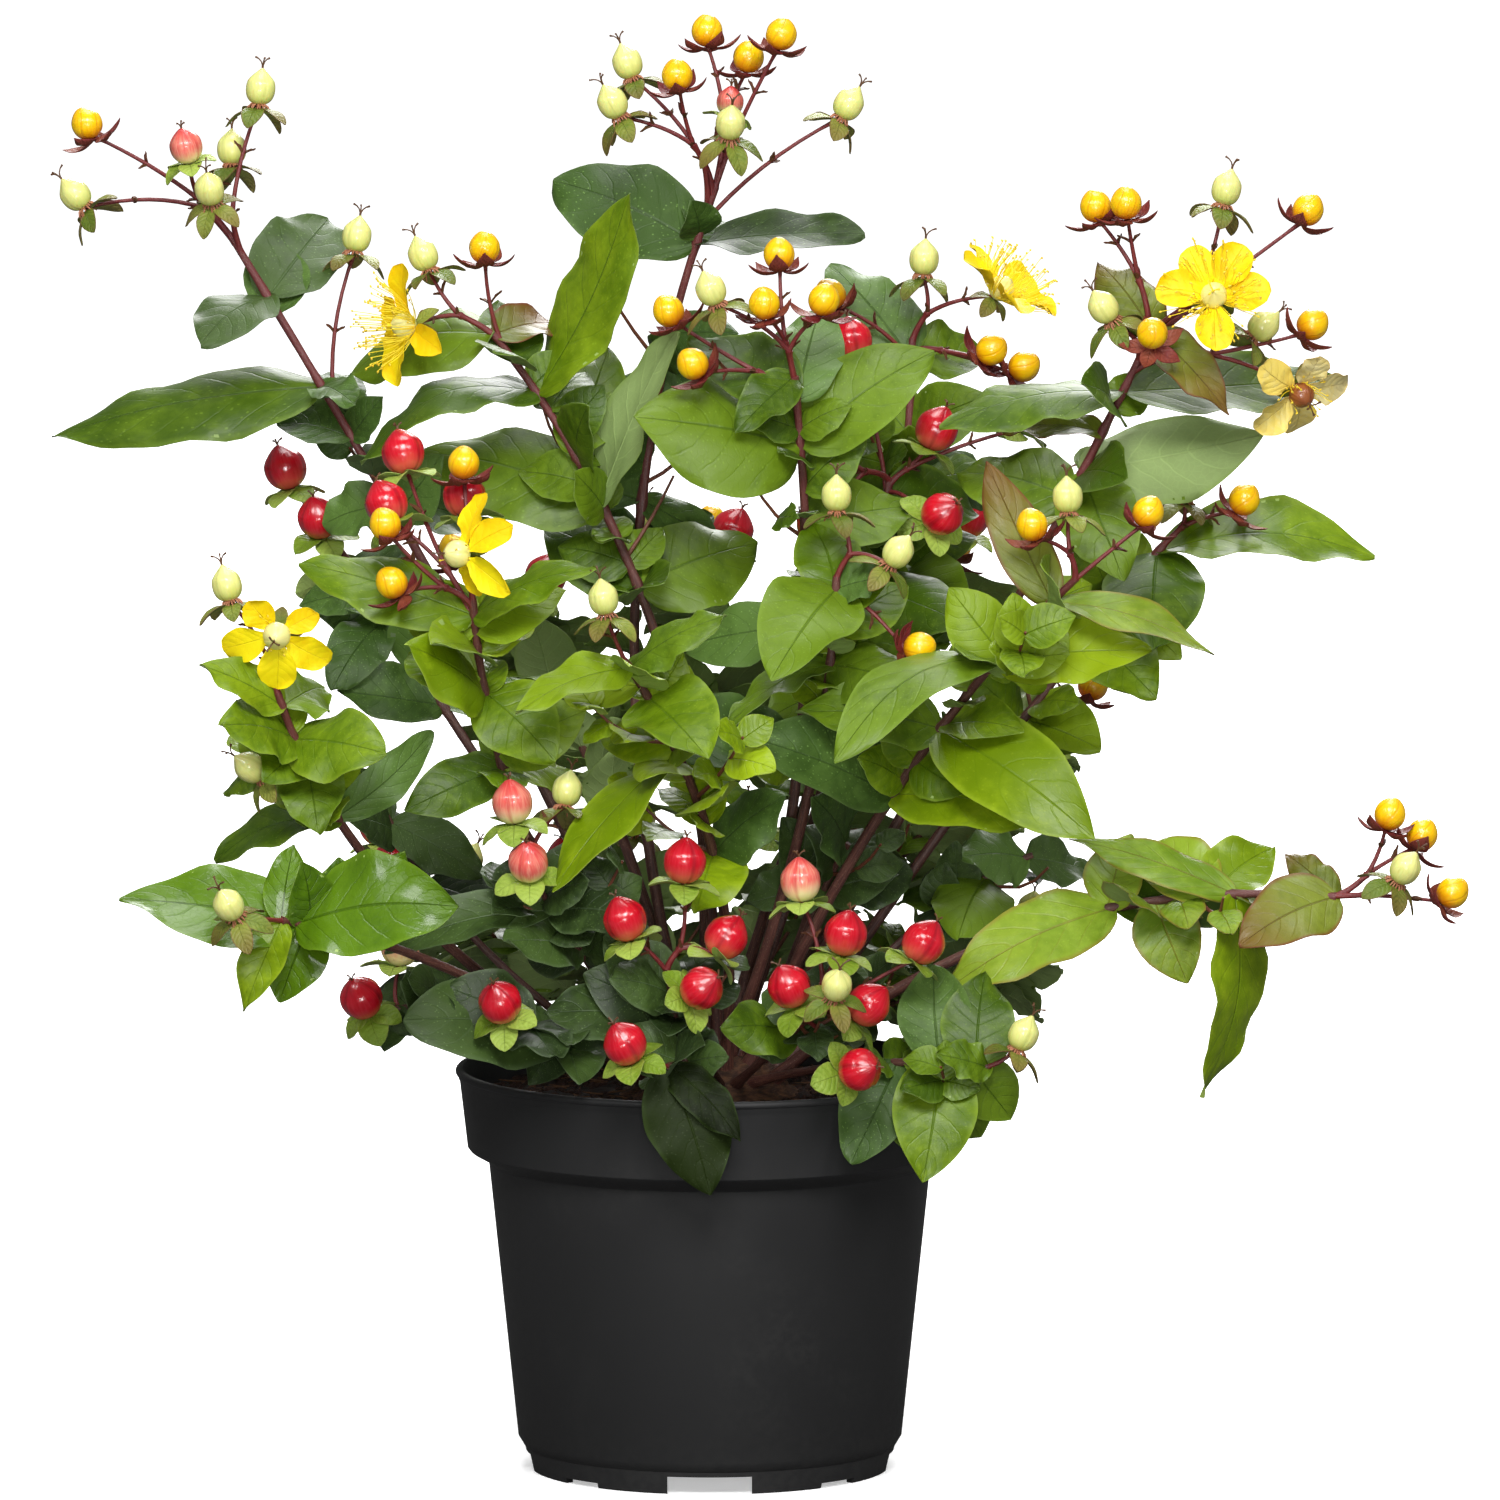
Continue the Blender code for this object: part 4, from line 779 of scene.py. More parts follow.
def back_cane(row: tuple, ring: str, kinds: Sequence[Kind]) -> Cane:
    """A cane of the far side, with crossed pairs of leaves and a few heads by rule.

    Args:
        row: Its name, direction in degrees, reach and height of its tip, leaf length and seed.
        ring: Ring of the crown that it rises from.
        kinds: Its heads.

    Returns:
        The cane.
    """
    name, turn, reach, height, leaf, seed = row
    rng = random.Random(seed)
    out = level(math.radians(turn))
    tip = out * reach + UP * height
    elbow = out * (reach * BACK_ELBOW[0]) + UP * (SOIL_TOP + (height - SOIL_TOP) * BACK_ELBOW[1])
    leaves, heads = [], []
    for k, station in enumerate(BACK_STATIONS):
        length = leaf * (1 - abs(station - BACK_LONGEST_AT))
        sideways = 90 * (k % 2)
        for half in (0, 180):
            aim = math.radians(turn + half + sideways + rng.uniform(-BACK_JITTER, BACK_JITTER))
            droop = BACK_PERK if half or sideways else BACK_DROOP
            rise = math.radians(rng.uniform(*BACK_RISE) + droop)
            flat = length * math.cos(rise)
            up = length * math.sin(rise)
            leaves.append((station, flat * math.cos(aim), flat * math.sin(aim), up))
    for k, kind in enumerate(kinds):
        jitter = rng.uniform(-BACK_HEAD_JITTER, BACK_HEAD_JITTER)
        aim = math.radians(turn + 360 * k / len(kinds) + jitter)
        spread = rng.uniform(*BACK_SPREAD)
        lift = rng.uniform(*BACK_LIFT)
        heads.append((kind, spread * math.cos(aim), spread * math.sin(aim), lift))
    return Cane(name, ring, tuple(elbow), tuple(tip), tuple(leaves), tuple(heads), GROWN)


def tries(reach: Vector) -> Iterator[Vector]:
    """A reach as it is, then turned aside, then made smaller."""
    for share in SMALLER:
        for aside in ASIDE:
            yield Matrix.Rotation(math.radians(aside), 3, "Z") @ reach * share


@dataclass
class Growth:
    """Places every cane, leaf, head and twig, clear of each other, by the solids' rule.

    After the solids' own leaves it fills the masses with finer ones, on the canes and on short side
    twigs, inside each mass's own box.
    """

    fill_step: float = 0.04
    fill_tries: int = 3
    fill_length: tuple[float, float] = (15.0, 34.0)
    fill_rise: tuple[float, float] = (5, 45)
    fill_jitter: float = 35
    fill_roll: float = 25
    fill_below: float = 0.05
    fill_end: float = 0.96
    shoot_stations: tuple[float, ...] = (0.5, 0.64, 0.78)
    shoot_length: tuple[float, float] = (22.0, 40.0)
    shoot_radii: tuple[float, float] = (0.8, 0.45)
    shoot_pairs: tuple[float, ...] = (0.45, 0.72, 0.97)
    shoot_leaf: tuple[float, float] = (11.0, 21.0)
    shoot_clear: float = 0.08
    shoot_turn: float = 137
    shoot_jitter: float = 15
    shoot_rise: tuple[float, float] = (15, 45)
    shoot_roll: float = 20
    taken: list[Taken] = field(default_factory=list)
    canes: list[tuple[Cane, bool]] = field(default_factory=list)
    feet: dict[str, tuple[Vector, Vector]] = field(default_factory=dict)
    leaves: list[Leaf] = field(default_factory=list)
    heads: list[HeadPlace] = field(default_factory=list)
    twigs: list[TwigPlace] = field(default_factory=list)

    def grow(self) -> None:
        """Runs the whole rule."""
        for name in ("pot", "peat", "crown"):
            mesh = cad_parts[name].data
            verts = [v.co / MM for v in mesh.vertices]
            self.taken.append(Taken(name, (verts, [tuple(p.vertices) for p in mesh.polygons])))
        self.canes = [(c, True) for c in TALL_CANES]
        self.canes += [(back_cane(row, "middle", BACK_TALL_HEADS), True) for row in BACK_TALL]
        self.canes += [(c, False) for c in LOW_CANES]
        self.canes += [(back_cane(row, "low", BACK_LOW_HEADS), False) for row in BACK_LOW]
        self.feet = cane_feet([c for c, _ in self.canes])
        for cane, tall in self.canes:
            self.stems(cane, tall)
        for cane, _ in self.canes:
            for number, row in enumerate(cane.heads):
                self.head(cane, number, row)
            for number, row in enumerate(cane.leaves):
                self.leaf(cane, row, ODD_ROWS.get(cane.name, {}).get(number, cane.tint))
        for cane, _ in self.canes:
            self.fill(cane)

    def free(self, new: Taken) -> bool:
        """Whether a shape touches nothing that is placed."""
        return not any(new.touches(other) for other in self.taken)

    def line(self, cane: Cane) -> Bow:
        """The bend of a cane."""
        place, way = self.feet[cane.name]
        return Bow(place + way * GAP, Vector(cane.elbow), Vector(cane.tip))

    def stems(self, cane: Cane, tall: bool) -> None:
        """Keeps the space of a cane's bough and stem.

        Args:
            cane: The cane.
            tall: Whether it has a bare bough below its leaves.
        """
        foot, elbow, tip = self.line(cane)
        start = 0.0
        if tall:
            lowest = min(leaf[0] for leaf in cane.leaves)
            end = lowest - STEM_BELOW_LEAVES / (tip - foot).length
            bough = self.limb(cane, 0.0, end, TALL_RADII, BOUGH_SIDES)
            self.taken.append(Taken("bough_" + cane.name, bough))
            start = end + GAP / (2 * ((elbow - foot) * (1 - end) + (tip - elbow) * end).length)
        stem = self.limb(cane, start, 1.0, TALL_RADII if tall else LOW_RADII, STEM_SIDES)
        self.taken.append(Taken(cane.mass, stem))

    def limb(self, cane: Cane, start: float, end: float, radii: tuple[float, float],
             sides: int) -> Shape:
        """Plain limb along a stretch of a cane.

        Args:
            cane: The cane.
            start: First station.
            end: Last station.
            radii: The cane's radii at its foot and tip.
            sides: Number of sides.

        Returns:
            Points and faces.
        """
        line = self.line(cane)
        stations = [start + (end - start) * k / STEPS for k in range(STEPS + 1)]
        ways = [line.way(t) for t in stations]
        if start == 0:
            ways[0] = self.feet[cane.name][1]
        full = STEM_FULLNESS if sides == STEM_SIDES else 1.0
        return tube([line.at(t) for t in stations], ways, [full * mix(*radii, t) for t in stations], sides)

    def leaf(self, cane: Cane, row: Sequence[float], tint: Tint) -> None:
        """Places a leaf, turned aside or made smaller where it would touch a neighbour.

        Args:
            cane: The cane.
            row: The leaf's row in the table.
            tint: Its tint.
        """
        station, right, away, up, *given = row
        form = (*given, *PLAIN_LEAF[len(given):])
        node = self.line(cane).at(station)
        for aim in tries(Vector((right, away, up))):
            root = node - aim.normalized() * SUNK
            if self.place(Leaf(cane.mass, root, aim, cane.face, form, tint)):
                return

    def place(self, leaf: Leaf) -> bool:
        """Places a leaf where it has room.

        Args:
            leaf: The leaf.

        Returns:
            True where it was placed.
        """
        if leaf.fine and leaf.in_opening():
            return False
        if not self.free(Taken(leaf.owner, leaf.guard(GAP), leaf.guard(GAP, OUTER_FROM))):
            return False
        self.taken.append(Taken(leaf.owner, leaf.guard(), leaf.guard(0.0, OUTER_FROM)))
        self.leaves.append(leaf)
        return True

    def head(self, cane: Cane, number: int, row: Sequence) -> None:
        """Places a head on its branchlet, drawn in where it would touch a neighbour.

        Args:
            cane: The cane.
            number: The head's number on it.
            row: The head's row in the table.
        """
        kind, right, away, up, *rest = row
        station = rest[0] if rest else 1.0
        line = self.line(cane)
        along, node = line.way(station), line.at(station)
        root = node - along * (SUNK + BRANCHLET_STEP * number)
        head = HEADS[kind]
        for aim in tries(Vector((right, away, up))):
            way = (aim.normalized() * HEAD_LEAN + UP * HEAD_RISE).normalized()
            if not head.sepal:
                turn, rise = (math.radians(a) for a in rest[1])
                flat = math.cos(rise)
                way = Vector((flat * math.cos(turn), flat * math.sin(turn), math.sin(rise)))
            base = node + aim - way * (head.length * 0.5)
            place = HeadPlace(cane.mass, kind, root, along, base, way)
            shapes, guards = ([Taken(cane.mass, place.guard(root, grow), place.guard(base - way, grow))]
                              for grow in (0.0, GAP))
            if not head.sepal:
                petals = Taken(cane.mass, place.rosette())
                shapes.append(petals)
                guards.append(petals)
            if all(self.free(guard) for guard in guards):
                self.taken += shapes
                self.heads.append(place)
                return

    def inside(self, owner: str, place: Vector) -> bool:
        """Whether a place is inside the box of a mass."""
        low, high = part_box(owner)
        return all(low[i] <= place[i] * MM <= high[i] for i in range(3))

    def fine_leaf(self, cane: Cane, node: Vector, reach: Vector, rng: random.Random,
                  roll: float) -> bool:
        """Places a fine leaf inside the box of its mass.

        Args:
            cane: The cane.
            node: Where it grows.
            reach: From its root to its tip.
            rng: Source of its roll.
            roll: Largest roll, in degrees.

        Returns:
            True where it was placed.
        """
        root = node - reach.normalized() * SUNK
        if not self.inside(cane.mass, root + reach):
            return False
        form = (rng.uniform(-roll, roll), *PLAIN_LEAF[1:])
        return self.place(Leaf(cane.mass, root, reach, cane.face, form, cane.tint, True))

    def fill(self, cane: Cane) -> None:
        """Fills a cane's mass with small leaves, and with side twigs that bear smaller ones.

        Args:
            cane: The cane.
        """
        rng = random.Random(cane.name)
        line = self.line(cane)
        lowest = min(leaf[0] for leaf in cane.leaves)
        for number, station in enumerate(self.shoot_stations):
            if station > lowest - self.shoot_clear:
                self.shoot(cane, station, self.shoot_turn * number + rng.uniform(0, 60), rng)
        for k in range(int((self.fill_end - lowest) / self.fill_step) + 2):
            station = lowest - self.fill_below + k * self.fill_step
            along = line.way(station)
            for half in (0, 180):
                for _ in range(self.fill_tries):
                    jitter = rng.uniform(-self.fill_jitter, self.fill_jitter)
                    out = around(along, math.radians(90 * k + half + jitter))
                    rise = math.radians(rng.uniform(*self.fill_rise))
                    reach = turned(out, along, rise) * rng.uniform(*self.fill_length)
                    if self.fine_leaf(cane, line.at(station), reach, rng, self.fill_roll):
                        break

    def shoot(self, cane: Cane, station: float, turn: float, rng: random.Random) -> None:
        """Grows one short side twig with pairs of small leaves, where it has room.

        Args:
            cane: The cane.
            station: Where it leaves the cane.
            turn: Direction round the cane, in degrees.
            rng: Source of its jitter.
        """
        line = self.line(cane)
        along = line.way(station)
        out = around(along, math.radians(turn))
        length = rng.uniform(*self.shoot_length)
        node = line.at(station)
        elbow = node + (out * 0.75 + along * 0.45).normalized() * length * 0.5
        twig = Bow(node, elbow, elbow + (out * 0.4 + UP * 0.6).normalized() * length * 0.5)
        points = twig.points(4)
        ways = [twig.way(k / 4) for k in range(5)]
        radii = tuple(mix(*self.shoot_radii, k / 4) for k in range(5))
        guard = [radius + GAP for radius in radii]
        new = Taken(cane.mass, tube(points, ways, guard, STEM_SIDES),
                    tube(points[2:], ways[2:], guard[2:], STEM_SIDES))
        if not self.inside(cane.mass, twig.tip) or not self.free(new):
            return
        self.taken.append(new)
        self.twigs.append(TwigPlace(cane.mass, tuple(points), radii))
        for k, share in enumerate(self.shoot_pairs):
            for half in (0, 180):
                jitter = rng.uniform(-self.shoot_jitter, self.shoot_jitter)
                aim = math.radians(90 * k + half + jitter)
                rise = math.radians(rng.uniform(*self.shoot_rise))
                flat = around(twig.way(share), aim)
                reach = turned(flat, twig.way(share), rise) * rng.uniform(*self.shoot_leaf)
                self.fine_leaf(cane, twig.at(share), reach, rng, self.shoot_roll)


def loft_layout(marks: np.ndarray) -> tuple[list[np.ndarray], np.ndarray, np.ndarray]:
    """Faces of a loft closed by a fan at each end, and its surface coordinates at every corner.

    Args:
        marks: Surface coordinates of its points, with one more column than its rings.

    Returns:
        The quads and the triangles, places inside its cell, and the surface coordinates, both in
        the order of the faces' corners.
    """
    rows, columns = marks.shape[0], marks.shape[1] - 1
    k = np.arange(columns)
    n = (k + 1) % columns
    r, c = (part.ravel() for part in np.meshgrid(np.arange(rows - 1), k, indexing="ij"))
    a, b, last = r * columns, (r + 1) * columns, (rows - 1) * columns
    faces = [np.stack([a + c, a + n[c], b + n[c], b + c], 1),
             np.stack([np.full(columns, rows * columns), n, k], 1),
             np.stack([np.full(columns, rows * columns + 1), last + k, last + n], 1)]
    u = np.arange(columns + 1) / columns
    cell = np.stack(np.meshgrid(u, 0.06 + 0.88 * np.arange(rows) / (rows - 1)), -1)
    cell_ends = [np.stack([u, np.full(columns + 1, v)], 1) for v in (0.05, 0.95)]
    cell_tips = [np.stack([(u[:-1] + u[1:]) / 2, np.full(columns, v)], 1) for v in (0.0, 1.0)]
    mark_tips = [(line[:-1] + line[1:]) / 2 for line in (marks[0], marks[-1])]
    laid = []
    for table, ends, tips in ((cell, cell_ends, cell_tips), (marks, marks[[0, -1]], mark_tips)):
        groups = (np.stack([table[r, c], table[r, c + 1], table[r + 1, c + 1], table[r + 1, c]], 1),
                  np.stack([tips[0], ends[0][1:], ends[0][:-1]], 1),
                  np.stack([tips[1], ends[1][:-1], ends[1][1:]], 1))
        laid.append(np.concatenate([group.reshape(-1, 2) for group in groups]))
    return faces, laid[0], laid[1]


@dataclass
class Sheaf:
    """Many closed lofts of one kind that are joined into one piece.

    Each loft has its own cell in the map "OFBake". The map "blade" runs along and round each loft,
    and the map "spray" holds two random values for each.
    """

    name: str
    lofts: list[Loft] = field(default_factory=list)
    sprays: list[tuple[float, float]] = field(default_factory=list)
    owners: set[str] = field(default_factory=set)

    def add(self, made: Loft, spray: tuple[float, float], owner: str) -> None:
        """Adds one loft.

        Args:
            made: Its rings of points in millimetres, and their surface coordinates.
            spray: Its two random values.
            owner: The node that it stands for.
        """
        self.lofts.append(made)
        self.sprays.append(spray)
        self.owners.add(owner)

    def piece(self, material: bpy.types.Material, slot: str) -> bpy.types.Object:
        """Makes the joined mesh and dresses it.

        Args:
            material: Its material.
            slot: Not used.

        Returns:
            The piece, riding on the root body in place of its nodes.
        """
        cells = math.ceil(math.sqrt(len(self.lofts)))
        points, corners, sizes, atlas, blade, spray = [], [], [], [], [], []
        first = 0
        for number, (rings, marks) in enumerate(self.lofts):
            faces, cell, mark = loft_layout(marks)
            points += [rings.reshape(-1, 3), np.stack([rings[0].mean(0), rings[-1].mean(0)])]
            for group in faces:
                corners.append(group.ravel() + first)
                sizes.append(np.full(len(group), group.shape[1]))
            corner = np.array([number % cells, number // cells], float)
            atlas.append((cell * 0.94 + 0.03 + corner) / cells)
            blade.append(mark)
            spray.append(np.tile(self.sprays[number], (len(cell), 1)))
            first += rings.shape[0] * rings.shape[1] + 2
        mesh = bpy.data.meshes.new(self.name)
        points, corners, sizes = np.concatenate(points), np.concatenate(corners), np.concatenate(sizes)
        mesh.vertices.add(len(points))
        mesh.vertices.foreach_set("co", (points * MM).astype(np.float32).ravel())
        mesh.loops.add(len(corners))
        mesh.loops.foreach_set("vertex_index", corners.astype(np.int32))
        mesh.polygons.add(len(sizes))
        starts = np.concatenate([[0], np.cumsum(sizes)[:-1]])
        mesh.polygons.foreach_set("loop_start", starts.astype(np.int32))
        mesh.update(calc_edges=True)
        for name, values in (("OFBake", atlas), ("blade", blade), ("spray", spray)):
            layer = mesh.uv_layers.new(name=name)
            layer.uv.foreach_set("vector", np.concatenate(values).astype(np.float32).ravel())
        mesh.shade_smooth()
        mesh.set_sharp_from_angle(angle=math.radians(SHARP_PLANT))
        return dress(stand(self.name, mesh), material, sorted(self.owners))


def dress(piece: bpy.types.Object, material: bpy.types.Material,
          nodes: Iterable[str]) -> bpy.types.Object:
    """Gives a piece its material and its place in the frame.

    Args:
        piece: The piece.
        material: Its material.
        nodes: The nodes that it stands for.

    Returns:
        The same piece.
    """
    piece.data.materials.clear()
    piece.data.materials.append(material)
    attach(piece, ROOT)
    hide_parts(*nodes)
    LOG.info("%s: %d faces", piece.name, len(piece.data.polygons))
    return piece


def round_marks(along: Sequence[float], columns: int, turns: float = 1.0) -> np.ndarray:
    """Surface coordinates with these values along it, and these turns round it."""
    return np.stack(np.meshgrid(along, np.arange(columns + 1) / columns * turns, indexing="ij"), -1)


def pipe(points: Sequence[Vector], radii: Sequence[float], columns: int,
         relief: Callable[[float, float], float] | None = None) -> Loft:
    """A round pipe along these points.

    Args:
        points: Places along its middle line.
        radii: Its radius there.
        columns: Points in a ring.
        relief: Share added to the radius at a distance along it and an angle round it.

    Returns:
        The rings and the surface coordinates, which run along it by its length.
    """
    rings = np.zeros((len(points), columns, 3))
    lengths = [0.0]
    side = None
    for k, (point, radius) in enumerate(zip(points, radii)):
        way = (points[min(k + 1, len(points) - 1)] - points[max(k - 1, 0)]).normalized()
        side = across(way)[0] if side is None else (side - way * side.dot(way)).normalized()
        over = side.cross(way)
        if k:
            lengths.append(lengths[-1] + (point - points[k - 1]).length)
        for c in range(columns):
            angle = math.tau * c / columns
            size = radius * (1 + (relief(lengths[-1], angle) if relief else 0))
            rings[k, c] = point + turned(side, -over, angle) * size
    return rings, round_marks([length / MARK_LENGTH for length in lengths], columns)


class Outline(Enum):
    """How the half width of a blade runs along it: power of the station, powers of the width at
    its root and tip, least half width in millimetres."""

    LEAF = (0.78, 0.6, 0.78, 0.4)
    ROUND = (0.84, 0.6, 0.62, 0.45)
    SEPAL = (0.95, 0.62, 0.6, 0.3)
    SPIKE = (0.8, 0.8, 0.95, 0.25)
    PETAL = (1.5, 0.95, 0.34, 0.8)
    BRACT = (0.7, 0.9, 0.9, 0.2)

    def half(self, s: np.ndarray, width: float) -> np.ndarray:
        """Half width at stations along a blade of this full width.

        Args:
            s: Stations, 0 to 1.
            width: Full width.

        Returns:
            Half widths.
        """
        warp, root_power, tip_power, least = self.value
        share = np.sin(np.pi * np.clip(s, 0, 1) ** warp).clip(0, 1) ** mix(root_power, tip_power, s)
        return np.maximum(width / 2 * share, least)


@dataclass(frozen=True)
class Blade:
    """A thin leaf-like shell with an upper and an under side."""

    outline: Outline
    rows: int
    columns: int
    thickness: float = 0.4
    rib: float = 0.35
    arch: float = 0.0
    wave: float = 0.0
    cup: tuple[float, float] = (0.0, 0.0)
    twist: float = 0.0
    droop: float = 0.0
    sway: float = 0.0

    def rings(self, root: Vector, reach: Vector, normal: Vector, width: float, rng: random.Random,
              arch: float | None = None) -> Loft:
        """Rings of one blade.

        Args:
            root: Where it starts.
            reach: From its root to its tip.
            normal: Out of its upper side.
            width: Its full width.
            rng: Source of its bends.
            arch: Its arch, where it is not the usual one.

        Returns:
            The rings and the surface coordinates: x runs 0 to 1 along the upper side and 1 to 2
            along the under side, and y runs across.
        """
        length = reach.length
        up = np.array(normal.normalized())
        side = np.cross(np.array(reach.normalized()), up)
        t = np.linspace(0, 1, self.rows)
        s = (t + 0.5 * (1 - np.cos(np.pi * t))) / 2
        v = np.linspace(-1, 1, self.columns + 1)
        half = self.outline.half(s, width)
        arch = self.arch if arch is None else arch
        rise = arch * length * np.sin(np.pi * s) - rng.uniform(0, self.droop) * length * s**3
        sway = rng.uniform(-self.sway, self.sway) * length * np.sin(np.pi * s)
        middle = (np.array(root) + np.outer(s, np.array(reach)) + np.outer(rise, up)
                  + np.outer(sway, side))
        roll = np.radians(rng.uniform(-self.twist, self.twist)) * (s - 0.3)
        over = np.outer(np.cos(roll), up) + np.outer(np.sin(roll), side)
        out = np.outer(np.cos(roll), side) - np.outer(np.sin(roll), up)
        cup = rng.uniform(*self.cup)
        phase = rng.uniform(0, math.tau)
        turns = rng.uniform(1.3, 2.6)
        wave = self.wave * np.outer(np.sin(math.tau * turns * s + phase), v**2 * np.sign(v))
        wave += self.wave * 0.6 * np.outer(np.sin(math.tau * turns * 1.7 * s - phase), v**2)
        groove = -self.rib * np.outer(np.sin(np.pi * s**0.6) ** 0.5, np.exp(-((v / 0.13) ** 2)))
        bulge = self.rib * 0.9 * np.outer(np.sin(np.pi * s**0.8) ** 0.5, 1 - v**2) * 0.5
        height = cup * np.outer(half, v**2) + wave + groove + bulge
        thick = self.thickness * (1 - 0.5 * v**2) + self.rib * 1.5 * np.exp(-((v / 0.11) ** 2))
        thick = thick[None, :] * np.minimum(1, 0.4 + 2.5 * np.sin(np.pi * np.clip(s, 0, 1)))[:, None]
        top = (middle[:, None] + out[:, None] * (half[:, None] * v[None, :])[..., None]
               + over[:, None] * height[..., None])
        under = top - over[:, None] * thick[..., None]
        marks = np.zeros((self.rows, 2 * len(v) + 1, 2))
        along, share = s[:, None] * 0.98 + 0.01, (v + 1) / 2
        marks[:, :len(v), 0], marks[:, :len(v), 1] = along, share
        marks[:, len(v):-1, 0], marks[:, len(v):-1, 1] = 1 + along, share[::-1]
        marks[:, -1] = marks[:, -2]
        return np.concatenate([top, under[:, ::-1]], 1), marks


LEAF_BLADE = Blade(Outline.LEAF, 22, 10, 0.42, 0.36, 0.07, 1.2, (-0.3, 0.26), 40, 0.05, 0.03)
ROUND_BLADE = Blade(Outline.ROUND, 22, 10, 0.42, 0.36, 0.07, 1.2, (-0.26, 0.3), 34, 0.05, 0.03)
FINE_BLADE = Blade(Outline.LEAF, 12, 6, 0.36, 0.3, 0.07, 0.5, (-0.25, 0.25), 34, 0.05, 0.03)
RED_SEPAL = Blade(Outline.SEPAL, 10, 6, 0.4, 0.2, 0.1, 0.12, (0.0, 0.2), 10, 0.1)
PALE_SEPAL = Blade(Outline.SEPAL, 10, 6, 0.4, 0.2, 0.12, 0.05, (0.0, 0.15), 8, 0.04)
BUD_SEPAL = Blade(Outline.SPIKE, 12, 6, 0.4, 0.15, -0.17, 0.04, (0.1, 0.25), 5)
PETAL = Blade(Outline.PETAL, 16, 8, 0.3, 0.1, 0.07, 0.6, (0.05, 0.4), 24, 0.0, 0.04)
BRACT = Blade(Outline.BRACT, 7, 4, 0.35, 0.15, 0.08, 0.15, (0.1, 0.4), 10)


@dataclass(frozen=True)
class Egg:
    """Egg of a berry, bud or ovary: where it is widest, how far its tip is drawn out, depth of its
    grooves, share of the head's size, number of lobes and their swirl."""

    warp: float
    point: float
    groove: float
    size: float = 1.0
    lobes: int = 3
    swirl: float = 0.0

    def rings(self, base: Vector, way: Vector, length: float, radius: float, start: float,
              rows: int = 20, columns: int = 24) -> Loft:
        """Rings of one egg.

        Args:
            base: Its flat end.
            way: Unit vector along it.
            length: Its length.
            radius: Its largest radius.
            start: Angle of its first groove.
            rows: Number of rings.
            columns: Points in a ring.

        Returns:
            The rings and the surface coordinates, x round it and y along it.
        """
        side, over = (np.array(v) for v in across(way))
        t = 0.5 * (1 - np.cos(np.pi * np.linspace(0.03, 0.985, rows)))
        bulge = np.sqrt(np.clip(1 - (2 * t**self.warp - 1) ** 2, 0, 1))
        drawn = np.clip((t - 0.62) / 0.38, 0, 1)
        size = radius * bulge * (1 - self.point * drawn**1.5)
        angle = math.tau * np.arange(columns) / columns
        swirl = self.swirl * t[:, None]
        lobe = np.cos(self.lobes * (angle[None, :] - start - swirl) / 2) ** 2
        groove = 1 - self.groove * np.exp(-lobe / 0.06) * np.sin(np.pi * t)[:, None] ** 0.4
        flat = side * np.cos(angle)[:, None] - over * np.sin(angle)[:, None]
        rings = (np.array(base) + (t * length)[:, None, None] * np.array(way)
                 + flat[None] * (size[:, None] * groove)[..., None])
        marks = round_marks(t, columns)[..., ::-1].copy()
        marks[..., 0] -= (start + swirl) / math.tau
        return rings, marks


EGGS = {
    BUD: Egg(0.92, 0.16, 0.02, 0.93, 5, 1.1),
    PALE: Egg(0.8, 0.72, 0.04, 0.86),
    RED: Egg(0.92, 0.4, 0.06, 0.97),
    PINK: Egg(0.9, 0.42, 0.06, 0.97),
    FLOWER: Egg(0.9, 0.35, 0.05),
    BARE: Egg(0.9, 0.35, 0.05, 1.05),
    SPENT: Egg(0.9, 0.3, 0.05),
}


@dataclass(frozen=True)
class Calyx:
    """The five sepals of a kind of head: their sheaf, form, reach, forward lean and width."""

    name: str
    blade: Blade
    reach: float
    lift: float
    width: float


RED_CALYX = Calyx("berry_sepals", RED_SEPAL, 13.4, -0.2, 11.0)
FLOWER_CALYX = Calyx("pale_sepals", PALE_SEPAL, 9.5, -0.6, 5.4)
CALYXES = {
    BUD: Calyx("bud_sepals", BUD_SEPAL, 12.0, 0.25, 6.4),
    PALE: Calyx("pale_sepals", PALE_SEPAL, 13.8, -0.55, 7.4),
    RED: RED_CALYX, PINK: RED_CALYX, FLOWER: FLOWER_CALYX, BARE: FLOWER_CALYX, SPENT: FLOWER_CALYX,
}
EGG_SHEAVES = {BUD: "buds", PALE: "pale_berries", RED: "red_berries", PINK: "pink_berries",
               FLOWER: "ovaries", BARE: "ovaries", SPENT: "spent_ovaries"}
# Number and length of the stamens by kind.
STAMENS = {FLOWER: (80, (14.0, 19.5)), BARE: (5, (4.0, 8.0)), SPENT: (24, (5.0, 10.0))}


